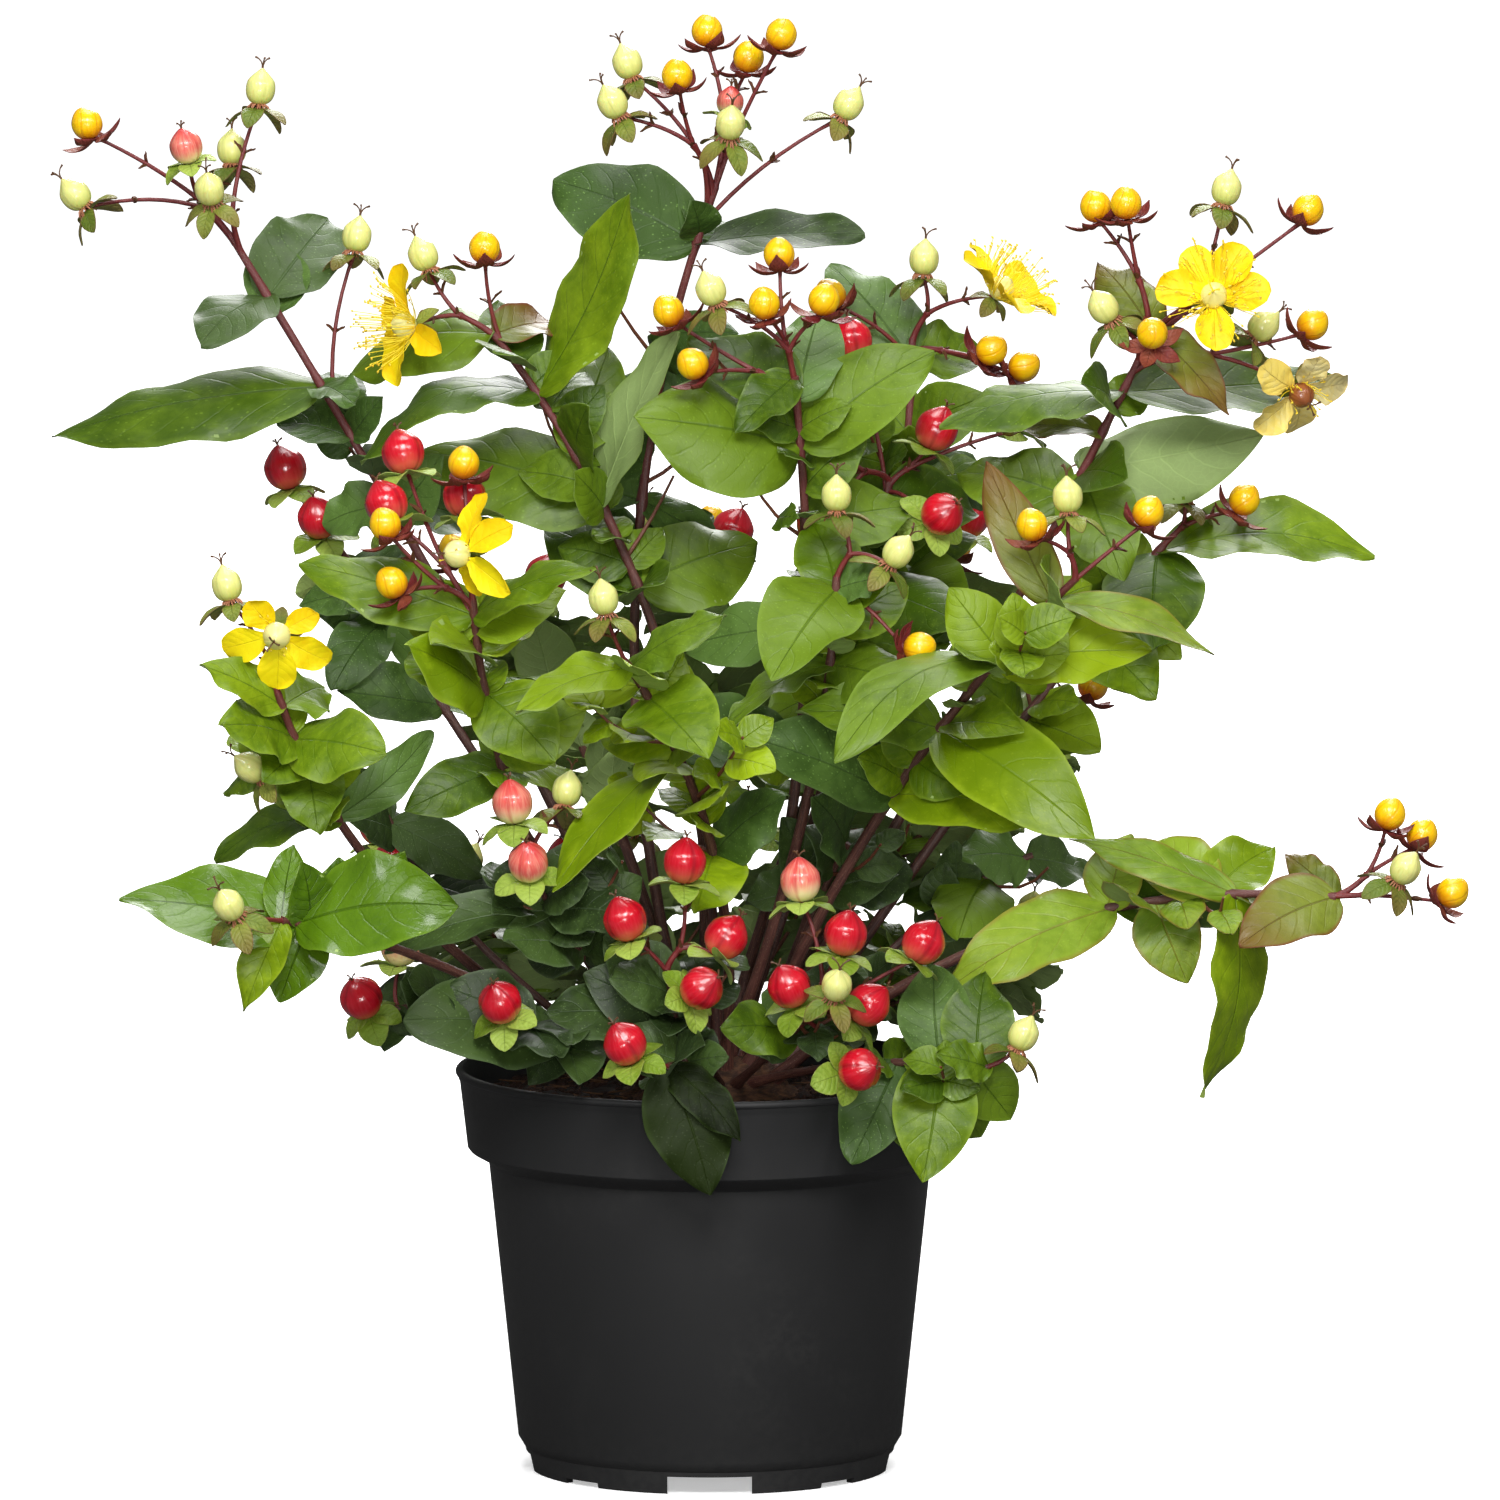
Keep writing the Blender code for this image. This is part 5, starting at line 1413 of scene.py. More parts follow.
@dataclass
class Heads:
    """Every bud, flower and berry, on its branchlet."""

    fork_angle: float = math.radians(75)
    fork_spacing: float = 14.0
    fork_span: float = 15.0
    fork_at: float = 0.42
    fork_radii: tuple[float, float] = (1.15, 0.95)
    stalk_radii: tuple[float, float] = (0.85, 0.6)
    stalk_steps: int = 8
    bare_span: float = 16.0
    petal_width: float = 13.6
    style_radii: tuple[float, ...] = (0.4, 0.3, 0.26, 0.26, 0.42)
    filament_radii: tuple[float, ...] = (0.19, 0.17, 0.15, 0.14, 0.13)
    thread_radii: tuple[float, ...] = (0.45, 0.36, 0.2)
    threads: int = 18
    sheaves: dict[str, Sheaf] = field(default_factory=dict)

    def add(self, name: str, made: Loft, owner: str, spray: tuple[float, float]) -> None:
        """Adds a loft to the sheaf of this name."""
        self.sheaves.setdefault(name, Sheaf(name)).add(made, spray, owner)

    def grow(self, growth: Growth) -> None:
        """Makes the lofts of every head.

        Args:
            growth: Where the heads are.
        """
        starts = self.forks(growth.heads)
        for number, place in enumerate(growth.heads):
            rng = random.Random(1000 + number)
            kind, head, egg = place.kind, HEADS[place.kind], EGGS[place.kind]
            self.branchlet(place, *starts[number], rng)
            start = rng.uniform(0, math.tau)
            spray = luck(rng)
            size = SMALL_PINK.get(place.owner, egg.size) if kind is PINK else egg.size
            neck = place.base + place.way * (0.8 if kind is PALE else 0.0)
            length = head.length * size
            made = egg.rings(neck, place.way, length, head.radius * size, start)
            self.add(EGG_SHEAVES[kind], made, place.owner, spray)
            if kind is not BUD:
                self.styles(place, neck + place.way * (length * 0.955), rng)
            self.sepals(place, CALYXES[kind], size if kind in (RED, PINK) else 1.0, rng)
            if kind is PALE:
                self.collar(place, rng)
            elif kind in STAMENS:
                self.petals(place, rng)
                self.stamens(place, rng)

    def forks(self, heads: Sequence[HeadPlace]) -> list[tuple[Vector, Vector]]:
        """Joins branchlets that run side by side into one up to a fork.

        Args:
            heads: Where the heads are.

        Returns:
            For each head, where its own branchlet starts and the way that it leaves.
        """
        starts = [(place.node, place.leave) for place in heads]
        spans = [place.base - place.node for place in heads]
        left = list(range(len(heads)))
        while left:
            one = left.pop(0)
            place = heads[one]
            best, closest = None, self.fork_angle
            for two in left:
                near = (place.node - heads[two].node).length < self.fork_spacing
                if (near and place.owner == heads[two].owner
                        and min(spans[one].length, spans[two].length) > self.fork_span):
                    angle = spans[one].angle(spans[two])
                    if angle < closest:
                        best, closest = two, angle
            if best is None:
                continue
            left.remove(best)
            way = (spans[one].normalized() + spans[best].normalized()).normalized()
            short = min(spans[one].length, spans[best].length)
            fork = place.node + way * short * self.fork_at + place.leave * short * 0.08
            rng = random.Random(500 + one)
            self.stalk(place.owner, place.node, place.leave, fork, self.fork_radii, rng)
            self.bract_pair(place.owner, fork, way, rng)
            starts[one] = starts[best] = (fork, way)
        return starts

    def stalk(self, owner: str, start: Vector, leave: Vector, end: Vector,
              radii: tuple[float, float], rng: random.Random) -> Bow:
        """A thin stalk that leaves one way and bows to its end.

        Args:
            owner: The node it stands for.
            start: Where it starts.
            leave: The way that it leaves.
            end: Where it ends.
            radii: Its radii at both ends.
            rng: Source of its shade.

        Returns:
            Its bend.
        """
        line = Bow(start, start + leave * ((end - start).length * 0.2) + (end - start) * 0.3, end)
        sizes = [mix(*radii, k / self.stalk_steps) for k in range(self.stalk_steps + 1)]
        sizes[-1] *= 1.5
        sizes[0] *= 1.2
        self.add("branchlets", pipe(line.points(self.stalk_steps), sizes, 7), owner, luck(rng))
        return line

    def bract_pair(self, owner: str, node: Vector, way: Vector, rng: random.Random) -> None:
        """Two small bracts on opposite sides of a stalk.

        Args:
            owner: The node they stand for.
            node: Where they grow.
            way: The stalk's way there.
            rng: Source of their turn and size.
        """
        turn = rng.uniform(0, math.pi)
        for half in (0, math.pi):
            out = around(way, turn + half)
            reach = (out * 0.8 + way * 0.6) * rng.uniform(3.0, 6.5)
            made = BRACT.rings(node, reach, (way - out * 0.4).normalized(), 2.0, rng)
            self.add("bracts", made, owner, luck(rng))

    def branchlet(self, place: HeadPlace, start: Vector, leave: Vector, rng: random.Random) -> None:
        """The stalk that bears a head, with a pair of bracts where it is long.

        Args:
            place: The head.
            start: Where the stalk starts.
            leave: The way that it leaves.
            rng: Source of its differences.
        """
        end = place.base + place.way * 0.6
        line = self.stalk(place.owner, start, leave, end, self.stalk_radii, rng)
        if (place.base - start).length > self.bare_span:
            station = rng.uniform(0.5, 0.62)
            self.bract_pair(place.owner, line.at(station), line.way(station), rng)

    def sepals(self, place: HeadPlace, calyx: Calyx, scale: float, rng: random.Random) -> None:
        """Five sepals under a head.

        Args:
            place: The head.
            calyx: Their form.
            scale: Share of their usual size.
            rng: Source of their differences.
        """
        first = rng.uniform(0, math.tau)
        for k in range(5):
            out = around(place.way, first + math.tau * k / 5 + rng.uniform(-0.12, 0.12))
            size = rng.uniform(0.86, 1.04)
            root = place.base + out * 0.7 - place.way * 0.2
            aim = (out + place.way * (calyx.lift + rng.uniform(-0.28, 0.28))).normalized()
            reach = place.base + aim * (calyx.reach * scale) * size - root
            normal = (place.way + out * 0.15).normalized()
            normal = normal - reach.normalized() * normal.dot(reach.normalized())
            made = calyx.blade.rings(root, reach, normal, calyx.width * scale * size, rng)
            self.add(calyx.name, made, place.owner, luck(rng))

    def styles(self, place: HeadPlace, top: Vector, rng: random.Random) -> None:
        """Three curved styles on the tip of a berry or ovary.

        Args:
            place: The head.
            top: The tip.
            rng: Source of their curl.
        """
        first = rng.uniform(0, math.tau)
        reach = 3.4 if place.kind in (RED, PINK) else 5.2
        name = "filaments" if place.kind is FLOWER else "styles"
        for k in range(3):
            out = around(place.way, first + math.tau * k / 3)
            tip = top + place.way * reach * 0.75 + out * reach * rng.uniform(0.35, 0.7)
            line = Bow(top, top + place.way * reach * 0.6, tip)
            self.add(name, pipe(line.points(4), self.style_radii, 5), place.owner, luck(rng))

    def collar(self, place: HeadPlace, rng: random.Random) -> None:
        """Short withered threads round the base of a pale berry.

        Args:
            place: The head.
            rng: Source of their spread.
        """
        for k in range(self.threads):
            out = around(place.way, math.tau * k / self.threads + rng.uniform(-0.1, 0.1))
            foot = place.base + out * 1.5 + place.way * 1.1
            tip = foot + (out * 0.8 - place.way * rng.uniform(0.4, 1.1)) * rng.uniform(1.8, 3.6)
            points = [foot, (foot + tip) / 2 + place.way * 0.4 + out * 0.3, tip]
            made = pipe(points, self.thread_radii, 4)
            self.add("withered_threads", made, place.owner, (rng.random(), 0.5))

    def petals(self, place: HeadPlace, rng: random.Random) -> None:
        """The five petals of a flower.

        Args:
            place: The head.
            rng: Source of their differences.
        """
        name, form = "petals", FLOWER_FORMS.get(place.owner, EVEN_PETALS)
        if place.kind is SPENT:
            name, form = "spent_petals", SPENT_PETALS
        centre = place.base + place.way * 1.5
        for k, (turn, share, lift) in enumerate(form):
            out = around(place.way, math.radians(turn + rng.uniform(-4, 4)))
            size = PETAL_REACH * share * rng.uniform(0.97, 1.03)
            root = centre + out * 1.0 + place.way * 0.1 * k
            reach = out * size + place.way * (lift + 0.1 * k) - out
            width = self.petal_width * math.sqrt(share) * rng.uniform(0.95, 1.05)
            normal = (place.way * 2 - out * 0.5).normalized()
            self.add(name, PETAL.rings(root, reach, normal, width, rng), place.owner, luck(rng))

    def stamens(self, place: HeadPlace, rng: random.Random) -> None:
        """The stamens of a flower, each with its anther.

        Args:
            place: The head.
            rng: Source of their spread.
        """
        centre = place.base + place.way * 1.5
        count, lengths = STAMENS[place.kind]
        for _ in range(count):
            angle = rng.uniform(0, math.tau)
            lean = math.radians(rng.uniform(8, 62))
            out = around(place.way, angle)
            length = rng.uniform(*lengths)
            foot = centre + out * rng.uniform(2.2, 3.4)
            aim = turned(place.way, out, lean)
            line = Bow(foot, foot + (aim * 0.5 + out * 0.5) * length * 0.5, foot + aim * length)
            spray = luck(rng)
            self.add("filaments", pipe(line.points(4), self.filament_radii, 4), place.owner, spray)
            anther = EGGS[PALE].rings(line.tip - aim * 0.4, out, 1.1, 0.42, 0, 5, 6)
            self.add("anthers", anther, place.owner, spray)


@dataclass
class Leaves:
    """Every leaf, joined by tint."""

    sheaves: dict[Tint, Sheaf] = field(default_factory=dict)

    def grow(self, growth: Growth) -> None:
        """Makes the blade of every leaf.

        Args:
            growth: Where the leaves are.
        """
        for number, leaf in enumerate(growth.leaves):
            rng = random.Random(7000 + number)
            large = ROUND_BLADE if leaf.tint in (OLD, DEEP) else LEAF_BLADE
            blade = FINE_BLADE if leaf.fine else large
            _, broad, arch = leaf.form
            width = broad * leaf_width(leaf.reach.length) * rng.uniform(0.97, 1.1)
            made = blade.rings(leaf.root, leaf.reach, leaf.frame()[1], width, rng, arch)
            sheaf = self.sheaves.setdefault(leaf.tint, Sheaf("leaves_" + leaf.tint.value))
            sheaf.add(made, luck(rng), leaf.owner)


@dataclass
class Canes:
    """The bark of every cane and side twig."""

    columns: int = 12
    step: float = 3.0
    node_swell: float = 0.3
    node_length: float = 2.6
    flare: float = 0.5
    flare_length: float = 5.0
    sunk: float = 1.5
    slim: float = 0.82

    def grow(self, growth: Growth) -> list[Sheaf]:
        """Makes the bark.

        Args:
            growth: Where the canes and twigs are.

        Returns:
            The sheaves of the canes and of the twigs.
        """
        canes, twigs = Sheaf("canes"), Sheaf("twigs")
        for number, (cane, tall) in enumerate(growth.canes):
            foot, elbow, tip = growth.line(cane)
            line = Bow(foot - growth.feet[cane.name][1] * self.sunk, elbow, tip)
            length = (elbow - line.foot).length + (tip - elbow).length
            count = int(length / self.step)
            nodes = sorted({leaf[0] for leaf in cane.leaves})
            sizes = []
            for t in (k / count for k in range(count + 1)):
                swell = sum(math.exp(-(((t - n) * length / self.node_length) ** 2)) for n in nodes)
                full = 1 + self.node_swell * min(1.0, swell)
                full += self.flare * math.exp(-t * length / self.flare_length)
                sizes.append(mix(*(TALL_RADII if tall else LOW_RADII), t) * self.slim * full)
            made = pipe(line.points(count), sizes, self.columns, bark_relief(number))
            canes.add(made, (random.Random(number).random(), 0.5), cane.mass)
            if tall:
                canes.owners.add("bough_" + cane.name)
        for number, twig in enumerate(growth.twigs):
            made = pipe(twig.points, twig.radii, 7)
            twigs.add(made, (random.Random(number).random(), 0.5), twig.owner)
        return [canes, twigs]


def bark_relief(number: int) -> Callable[[float, float], float]:
    """Relief of one cane's bark: two long ridges, fine furrows and small lumps.

    Args:
        number: The cane's number, which shifts its pattern.

    Returns:
        Share added to the radius at a distance along it and an angle round it.
    """
    def relief(along: float, angle: float) -> float:
        """Share added to the radius.

        Args:
            along: Distance along the bark, in millimetres.
            angle: Angle round it.

        Returns:
            The share.
        """
        ridge = 0.07 * math.cos(angle - along / 30) ** 8
        x, y = math.cos(angle), math.sin(angle)
        furrow = noise.noise(Vector((x * 2.2, y * 2.2, along / 14 + 9 * number)))
        lump = noise.noise(Vector((x, y, along / 5 + 5 * number)))
        return ridge + 0.07 * furrow + 0.04 * lump
    return relief


@dataclass
class Crown:
    """The low woody stock, with knobs and furrows."""

    rows: int = 30
    columns: int = 72

    def build(self) -> Sheaf:
        """Makes its mesh.

        Returns:
            The sheaf that holds it.
        """
        rings = np.zeros((self.rows, self.columns, 3))
        for r in range(self.rows):
            angle = math.pi / 2 * r / (self.rows - 1)
            reach = math.cos(angle) * 0.99 + 0.01
            for c in range(self.columns):
                turn = math.tau * c / self.columns
                flat = level(turn)
                place = flat * CROWN_RADIUS * reach + UP * CROWN_HEIGHT * math.sin(angle)
                knob = noise.noise(place / 7) * 1.1 + noise.noise(place / 2.6) * 0.5
                furrow = 0.5 * math.cos(turn * 17 + noise.noise(place / 9) * 5) * math.cos(angle)
                flare = CROWN_FLARE * max(0.0, 1 - place.z / 2.0) if r < 3 else 0.0
                wide = (CROWN_RADIUS + flare) * reach * (1 + (furrow - 0.6) / CROWN_RADIUS)
                high = SOIL_TOP + GAP + place.z + (knob - 0.6) * math.sin(angle)
                rings[r, c] = flat * wide + UP * high
        sheaf = Sheaf("woody_crown")
        sheaf.add((rings, round_marks(np.linspace(0, 1, self.rows), self.columns)), (0.5, 0.5), "crown")
        return sheaf


def inner_radius(height: float) -> float:
    """Inside radius of the pot's body, shoulder or band.

    Args:
        height: Height above the ground.

    Returns:
        The radius.
    """
    low, high, below, above = BODY_FOOT_HEIGHT, SHOULDER_BOTTOM, BODY_FOOT_RADIUS, SHOULDER_RADIUS
    if height >= BAND_BOTTOM:
        low, high, below, above = BAND_BOTTOM, RIM_HEIGHT, BAND_RADIUS, RIM_RADIUS - LIP
    elif height >= SHOULDER_BOTTOM:
        low, high, below, above = SHOULDER_BOTTOM, BAND_BOTTOM, SHOULDER_RADIUS, BAND_RADIUS
    return mix(below, above, (height - low) / (high - low)) - WALL


@dataclass
class Pot:
    """The thin-walled nursery pot with a rolled lip, a deep band and a notched foot ring."""

    segments: int = 144
    lip_radius: float = 1.3
    lip_steps: int = 8

    def profile(self) -> list[tuple[float, float]]:
        """Radius and height from the middle of the underside round to the middle of the floor.

        Returns:
            The points.
        """
        floor_top = FLOOR_BOTTOM + WALL
        foot = GROUND_RADIUS - FOOT_WALL
        under_lip = RIM_HEIGHT - 5
        middle, high = RIM_RADIUS - self.lip_radius, RIM_HEIGHT - self.lip_radius
        angles = [math.radians(-60 + 150 * k / self.lip_steps) for k in range(self.lip_steps + 1)]
        return [
            (0, 0), (CENTRE_PAD_RADIUS, 0), (CENTRE_PAD_RADIUS - 1, FLOOR_BOTTOM),
            (foot, FLOOR_BOTTOM), (foot, 0), (GROUND_RADIUS - 0.4, 0), (GROUND_RADIUS, 0.4),
            (FOOT_RADIUS, FOOT_STEP_HEIGHT - 0.4), (FOOT_RADIUS + 0.4, FOOT_STEP_HEIGHT),
            (BODY_FOOT_RADIUS, BODY_FOOT_HEIGHT),
            (SHOULDER_RADIUS - 0.2, SHOULDER_BOTTOM - 1.0), (SHOULDER_RADIUS, SHOULDER_BOTTOM),
            (SHOULDER_RADIUS + 1.2, SHOULDER_BOTTOM + 1.2),
            (BAND_RADIUS - 0.8, BAND_BOTTOM - 0.5), (BAND_RADIUS, BAND_BOTTOM + 0.5),
            (RIM_RADIUS - LIP, under_lip), (RIM_RADIUS - LIP + 0.3, under_lip + 0.9),
            *((middle + self.lip_radius * math.cos(a), high + self.lip_radius * math.sin(a))
              for a in angles),
            (RIM_RADIUS - LIP - WALL + 0.5, RIM_HEIGHT - 0.1),
            (RIM_RADIUS - LIP - WALL, RIM_HEIGHT - 0.9),
            *((inner_radius(h), h) for h in (BAND_BOTTOM, SHOULDER_BOTTOM, BODY_FOOT_HEIGHT)),
            (inner_radius(BODY_FOOT_HEIGHT) - FLOOR_CORNER, floor_top), (0, floor_top),
        ]

    def build(self, material: bpy.types.Material) -> bpy.types.Object:
        """Turns the profile, cuts the foot ring and the drain slots, and dresses the pot.

        Args:
            material: Its material.

        Returns:
            The pot.
        """
        work = bmesh.new()
        rings = []
        for radius, height in self.profile():
            count = self.segments if radius else 1
            rings.append([work.verts.new((radius * MM * math.cos(math.tau * k / self.segments),
                                          radius * MM * math.sin(math.tau * k / self.segments),
                                          height * MM)) for k in range(count)])
        for low, high in zip(rings, rings[1:]):
            for k in range(self.segments):
                n = (k + 1) % self.segments
                corners = [low[k % len(low)], low[n % len(low)], high[n % len(high)],
                           high[k % len(high)]]
                work.faces.new(list(dict.fromkeys(corners)))
        bmesh.ops.recalc_face_normals(work, faces=work.faces)
        mesh = bpy.data.meshes.new("pot_body")
        work.to_mesh(mesh)
        work.free()
        pot = stand("pot_body", mesh)
        self.cut_foot(pot)
        pot.data.shade_smooth()
        pot.data.set_sharp_from_angle(angle=math.radians(SHARP_POT))
        return dress(pot, material, ["pot"])

    def cut_foot(self, pot: bpy.types.Object) -> None:
        """Cuts the notches, recesses and drain slots.

        Args:
            pot: The turned pot.
        """
        ring = GROUND_RADIUS - FOOT_WALL / 2
        for k in range(FOOT_SPACES):
            turn = math.tau * k / FOOT_SPACES
            for size, reach, angle in (
                ((NOTCH_WIDTH, 3 * FOOT_WALL, 2 * NOTCH_HEIGHT), ring, turn),
                ((RECESS_WIDTH, 3 * FOOT_WALL, 2 * RECESS_HEIGHT), ring, turn + math.pi / FOOT_SPACES),
                ((*DRAIN_SLOT, 4 * FLOOR_BOTTOM), ring - FOOT_WALL - DRAIN_SLOT[1], turn),
            ):
                cutter = self.cutter(size, reach, angle)
                cut = pot.modifiers.new("cut", "BOOLEAN")
                cut.operation = "DIFFERENCE"
                cut.object = cutter
                graph = bpy.context.evaluated_depsgraph_get()
                mesh = bpy.data.meshes.new_from_object(pot.evaluated_get(graph), depsgraph=graph)
                pot.modifiers.clear()
                pot.data = mesh
                bpy.data.objects.remove(cutter, do_unlink=True)

    def cutter(self, size: tuple[float, float, float], reach: float, turn: float) -> bpy.types.Object:
        """A box out at a reach, turned about the pot's axis.

        Args:
            size: Its width, depth and height.
            reach: How far out it stands.
            turn: Angle about the axis, in radians.

        Returns:
            The cutter.
        """
        mesh = bpy.data.meshes.new("cutter")
        work = bmesh.new()
        bmesh.ops.create_cube(work, size=1)
        bmesh.ops.scale(work, vec=Vector(size) * MM, verts=work.verts)
        bmesh.ops.translate(work, vec=Vector((0, -reach, 0)) * MM, verts=work.verts)
        bmesh.ops.rotate(work, cent=(0, 0, 0), matrix=Matrix.Rotation(turn, 3, "Z"), verts=work.verts)
        work.to_mesh(mesh)
        work.free()
        return stand("cutter", mesh)


@dataclass
class Peat:
    """Moist peat with a crumbly top, loose crumbs and fibres."""

    columns: int = 180
    rows: int = 60
    crumbs: int = 1500
    fibres: int = 260

    def height(self, place: Vector) -> float:
        """Height of the crumbly top at a place.

        Args:
            place: The place, whose own height does not matter where it is 0.

        Returns:
            The height.
        """
        reach = Vector((place.x, place.y)).length
        mound = SOIL_MOUND * max(0.0, 1 - (reach / inner_radius(SOIL_TOP)) ** 2)
        rough = 1.3 * noise.noise(place / 9) + 0.9 * noise.noise(place / 3.6)
        rough += 0.45 * abs(noise.noise(place / 1.5))
        return SOIL_TOP - SOIL_MOUND + mound + rough - 0.3

    def surface(self) -> Sheaf:
        """The body of the peat.

        Returns:
            The sheaf that holds it.
        """
        sides = [(inner_radius(BODY_FOOT_HEIGHT) - FLOOR_CORNER - 2 * GAP, FLOOR_BOTTOM + WALL + GAP),
                 (inner_radius(BODY_FOOT_HEIGHT) - GAP, BODY_FOOT_HEIGHT + 2 * GAP),
                 (inner_radius(SHOULDER_BOTTOM) - GAP, SHOULDER_BOTTOM + GAP),
                 (inner_radius(BAND_BOTTOM) - GAP, BAND_BOTTOM + GAP)]
        edge = inner_radius(SOIL_TOP) - GAP
        total = len(sides) + self.rows
        rings = np.zeros((total, self.columns, 3))
        for c in range(self.columns):
            flat = level(math.tau * c / self.columns)
            for r, (radius, height) in enumerate(sides):
                rings[r, c] = flat * radius + UP * height
            for r in range(self.rows):
                place = flat * mix(edge, 0.5, r / (self.rows - 1))
                rings[len(sides) + r, c] = place + UP * self.height(place)
        sheaf = Sheaf("peat_bed")
        sheaf.add((rings, round_marks(np.arange(total) / total * 3, self.columns, 9)), (0.5, 0.5), "peat")
        return sheaf

    def bits(self) -> list[Sheaf]:
        """Loose crumbs and fibres on top.

        Returns:
            Their sheaves.
        """
        rng = random.Random(5)
        crumbs, fibres = Sheaf("peat_crumbs"), Sheaf("peat_fibres")
        edge = inner_radius(SOIL_TOP) - 3.0
        for k in range(self.crumbs + self.fibres):
            reach = edge * math.sqrt(rng.uniform(0.08, 1))
            angle = rng.uniform(0, math.tau)
            place = Vector((reach * math.cos(angle), reach * math.sin(angle), 0))
            place.z = self.height(place)
            spray = luck(rng)
            if k < self.crumbs:
                size = rng.uniform(0.5, 1.7)
                way = Vector((rng.uniform(-1, 1), rng.uniform(-1, 1), rng.uniform(-0.5, 0.5)))
                points = [place + way.normalized() * size * t for t in (-1, -0.4, 0.5, 1)]
                shares = ((0.2, 0.5), (0.6, 0.9), (0.5, 0.9), (0.15, 0.5))
                radii = [size * rng.uniform(*share) for share in shares]
                crumbs.add(pipe(points, radii, 5), spray, "peat")
                continue
            length = rng.uniform(4, 12)
            turn = rng.uniform(0, math.tau)
            way = Vector((math.cos(turn), math.sin(turn), rng.uniform(-0.1, 0.25)))
            bow = Vector((-way.y, way.x, 0)) * rng.uniform(-0.2, 0.2) * length
            points = [place + UP * 0.4 + way * length * t + bow * 4 * t * (1 - t)
                      for t in (0, 0.33, 0.66, 1)]
            if Vector((points[-1].x, points[-1].y)).length < edge:
                fibres.add(pipe(points, (0.25, 0.3, 0.28, 0.15), 4), spray, "peat")
        return [crumbs, fibres]


class Value:
    """A shader value that is reckoned with like a number."""

    def __init__(self, graph: "Graph", socket: bpy.types.NodeSocket) -> None:
        """Holds one output of a node."""
        self.graph = graph
        self.socket = socket

    def __add__(self, other: "Amount") -> "Value":
        """Sum with another."""
        return self.graph.math("ADD", self, other)

    def __sub__(self, other: "Amount") -> "Value":
        """What is left without another."""
        return self.graph.math("SUBTRACT", self, other)

    def __rsub__(self, other: float) -> "Value":
        """What it leaves of a number."""
        return self.graph.math("SUBTRACT", other, self)

    def __mul__(self, other: "Amount") -> "Value":
        """Product with another."""
        return self.graph.math("MULTIPLY", self, other)

    def __abs__(self) -> "Value":
        """Itself without its sign."""
        return self.graph.math("ABSOLUTE", self)


Amount = Value | float


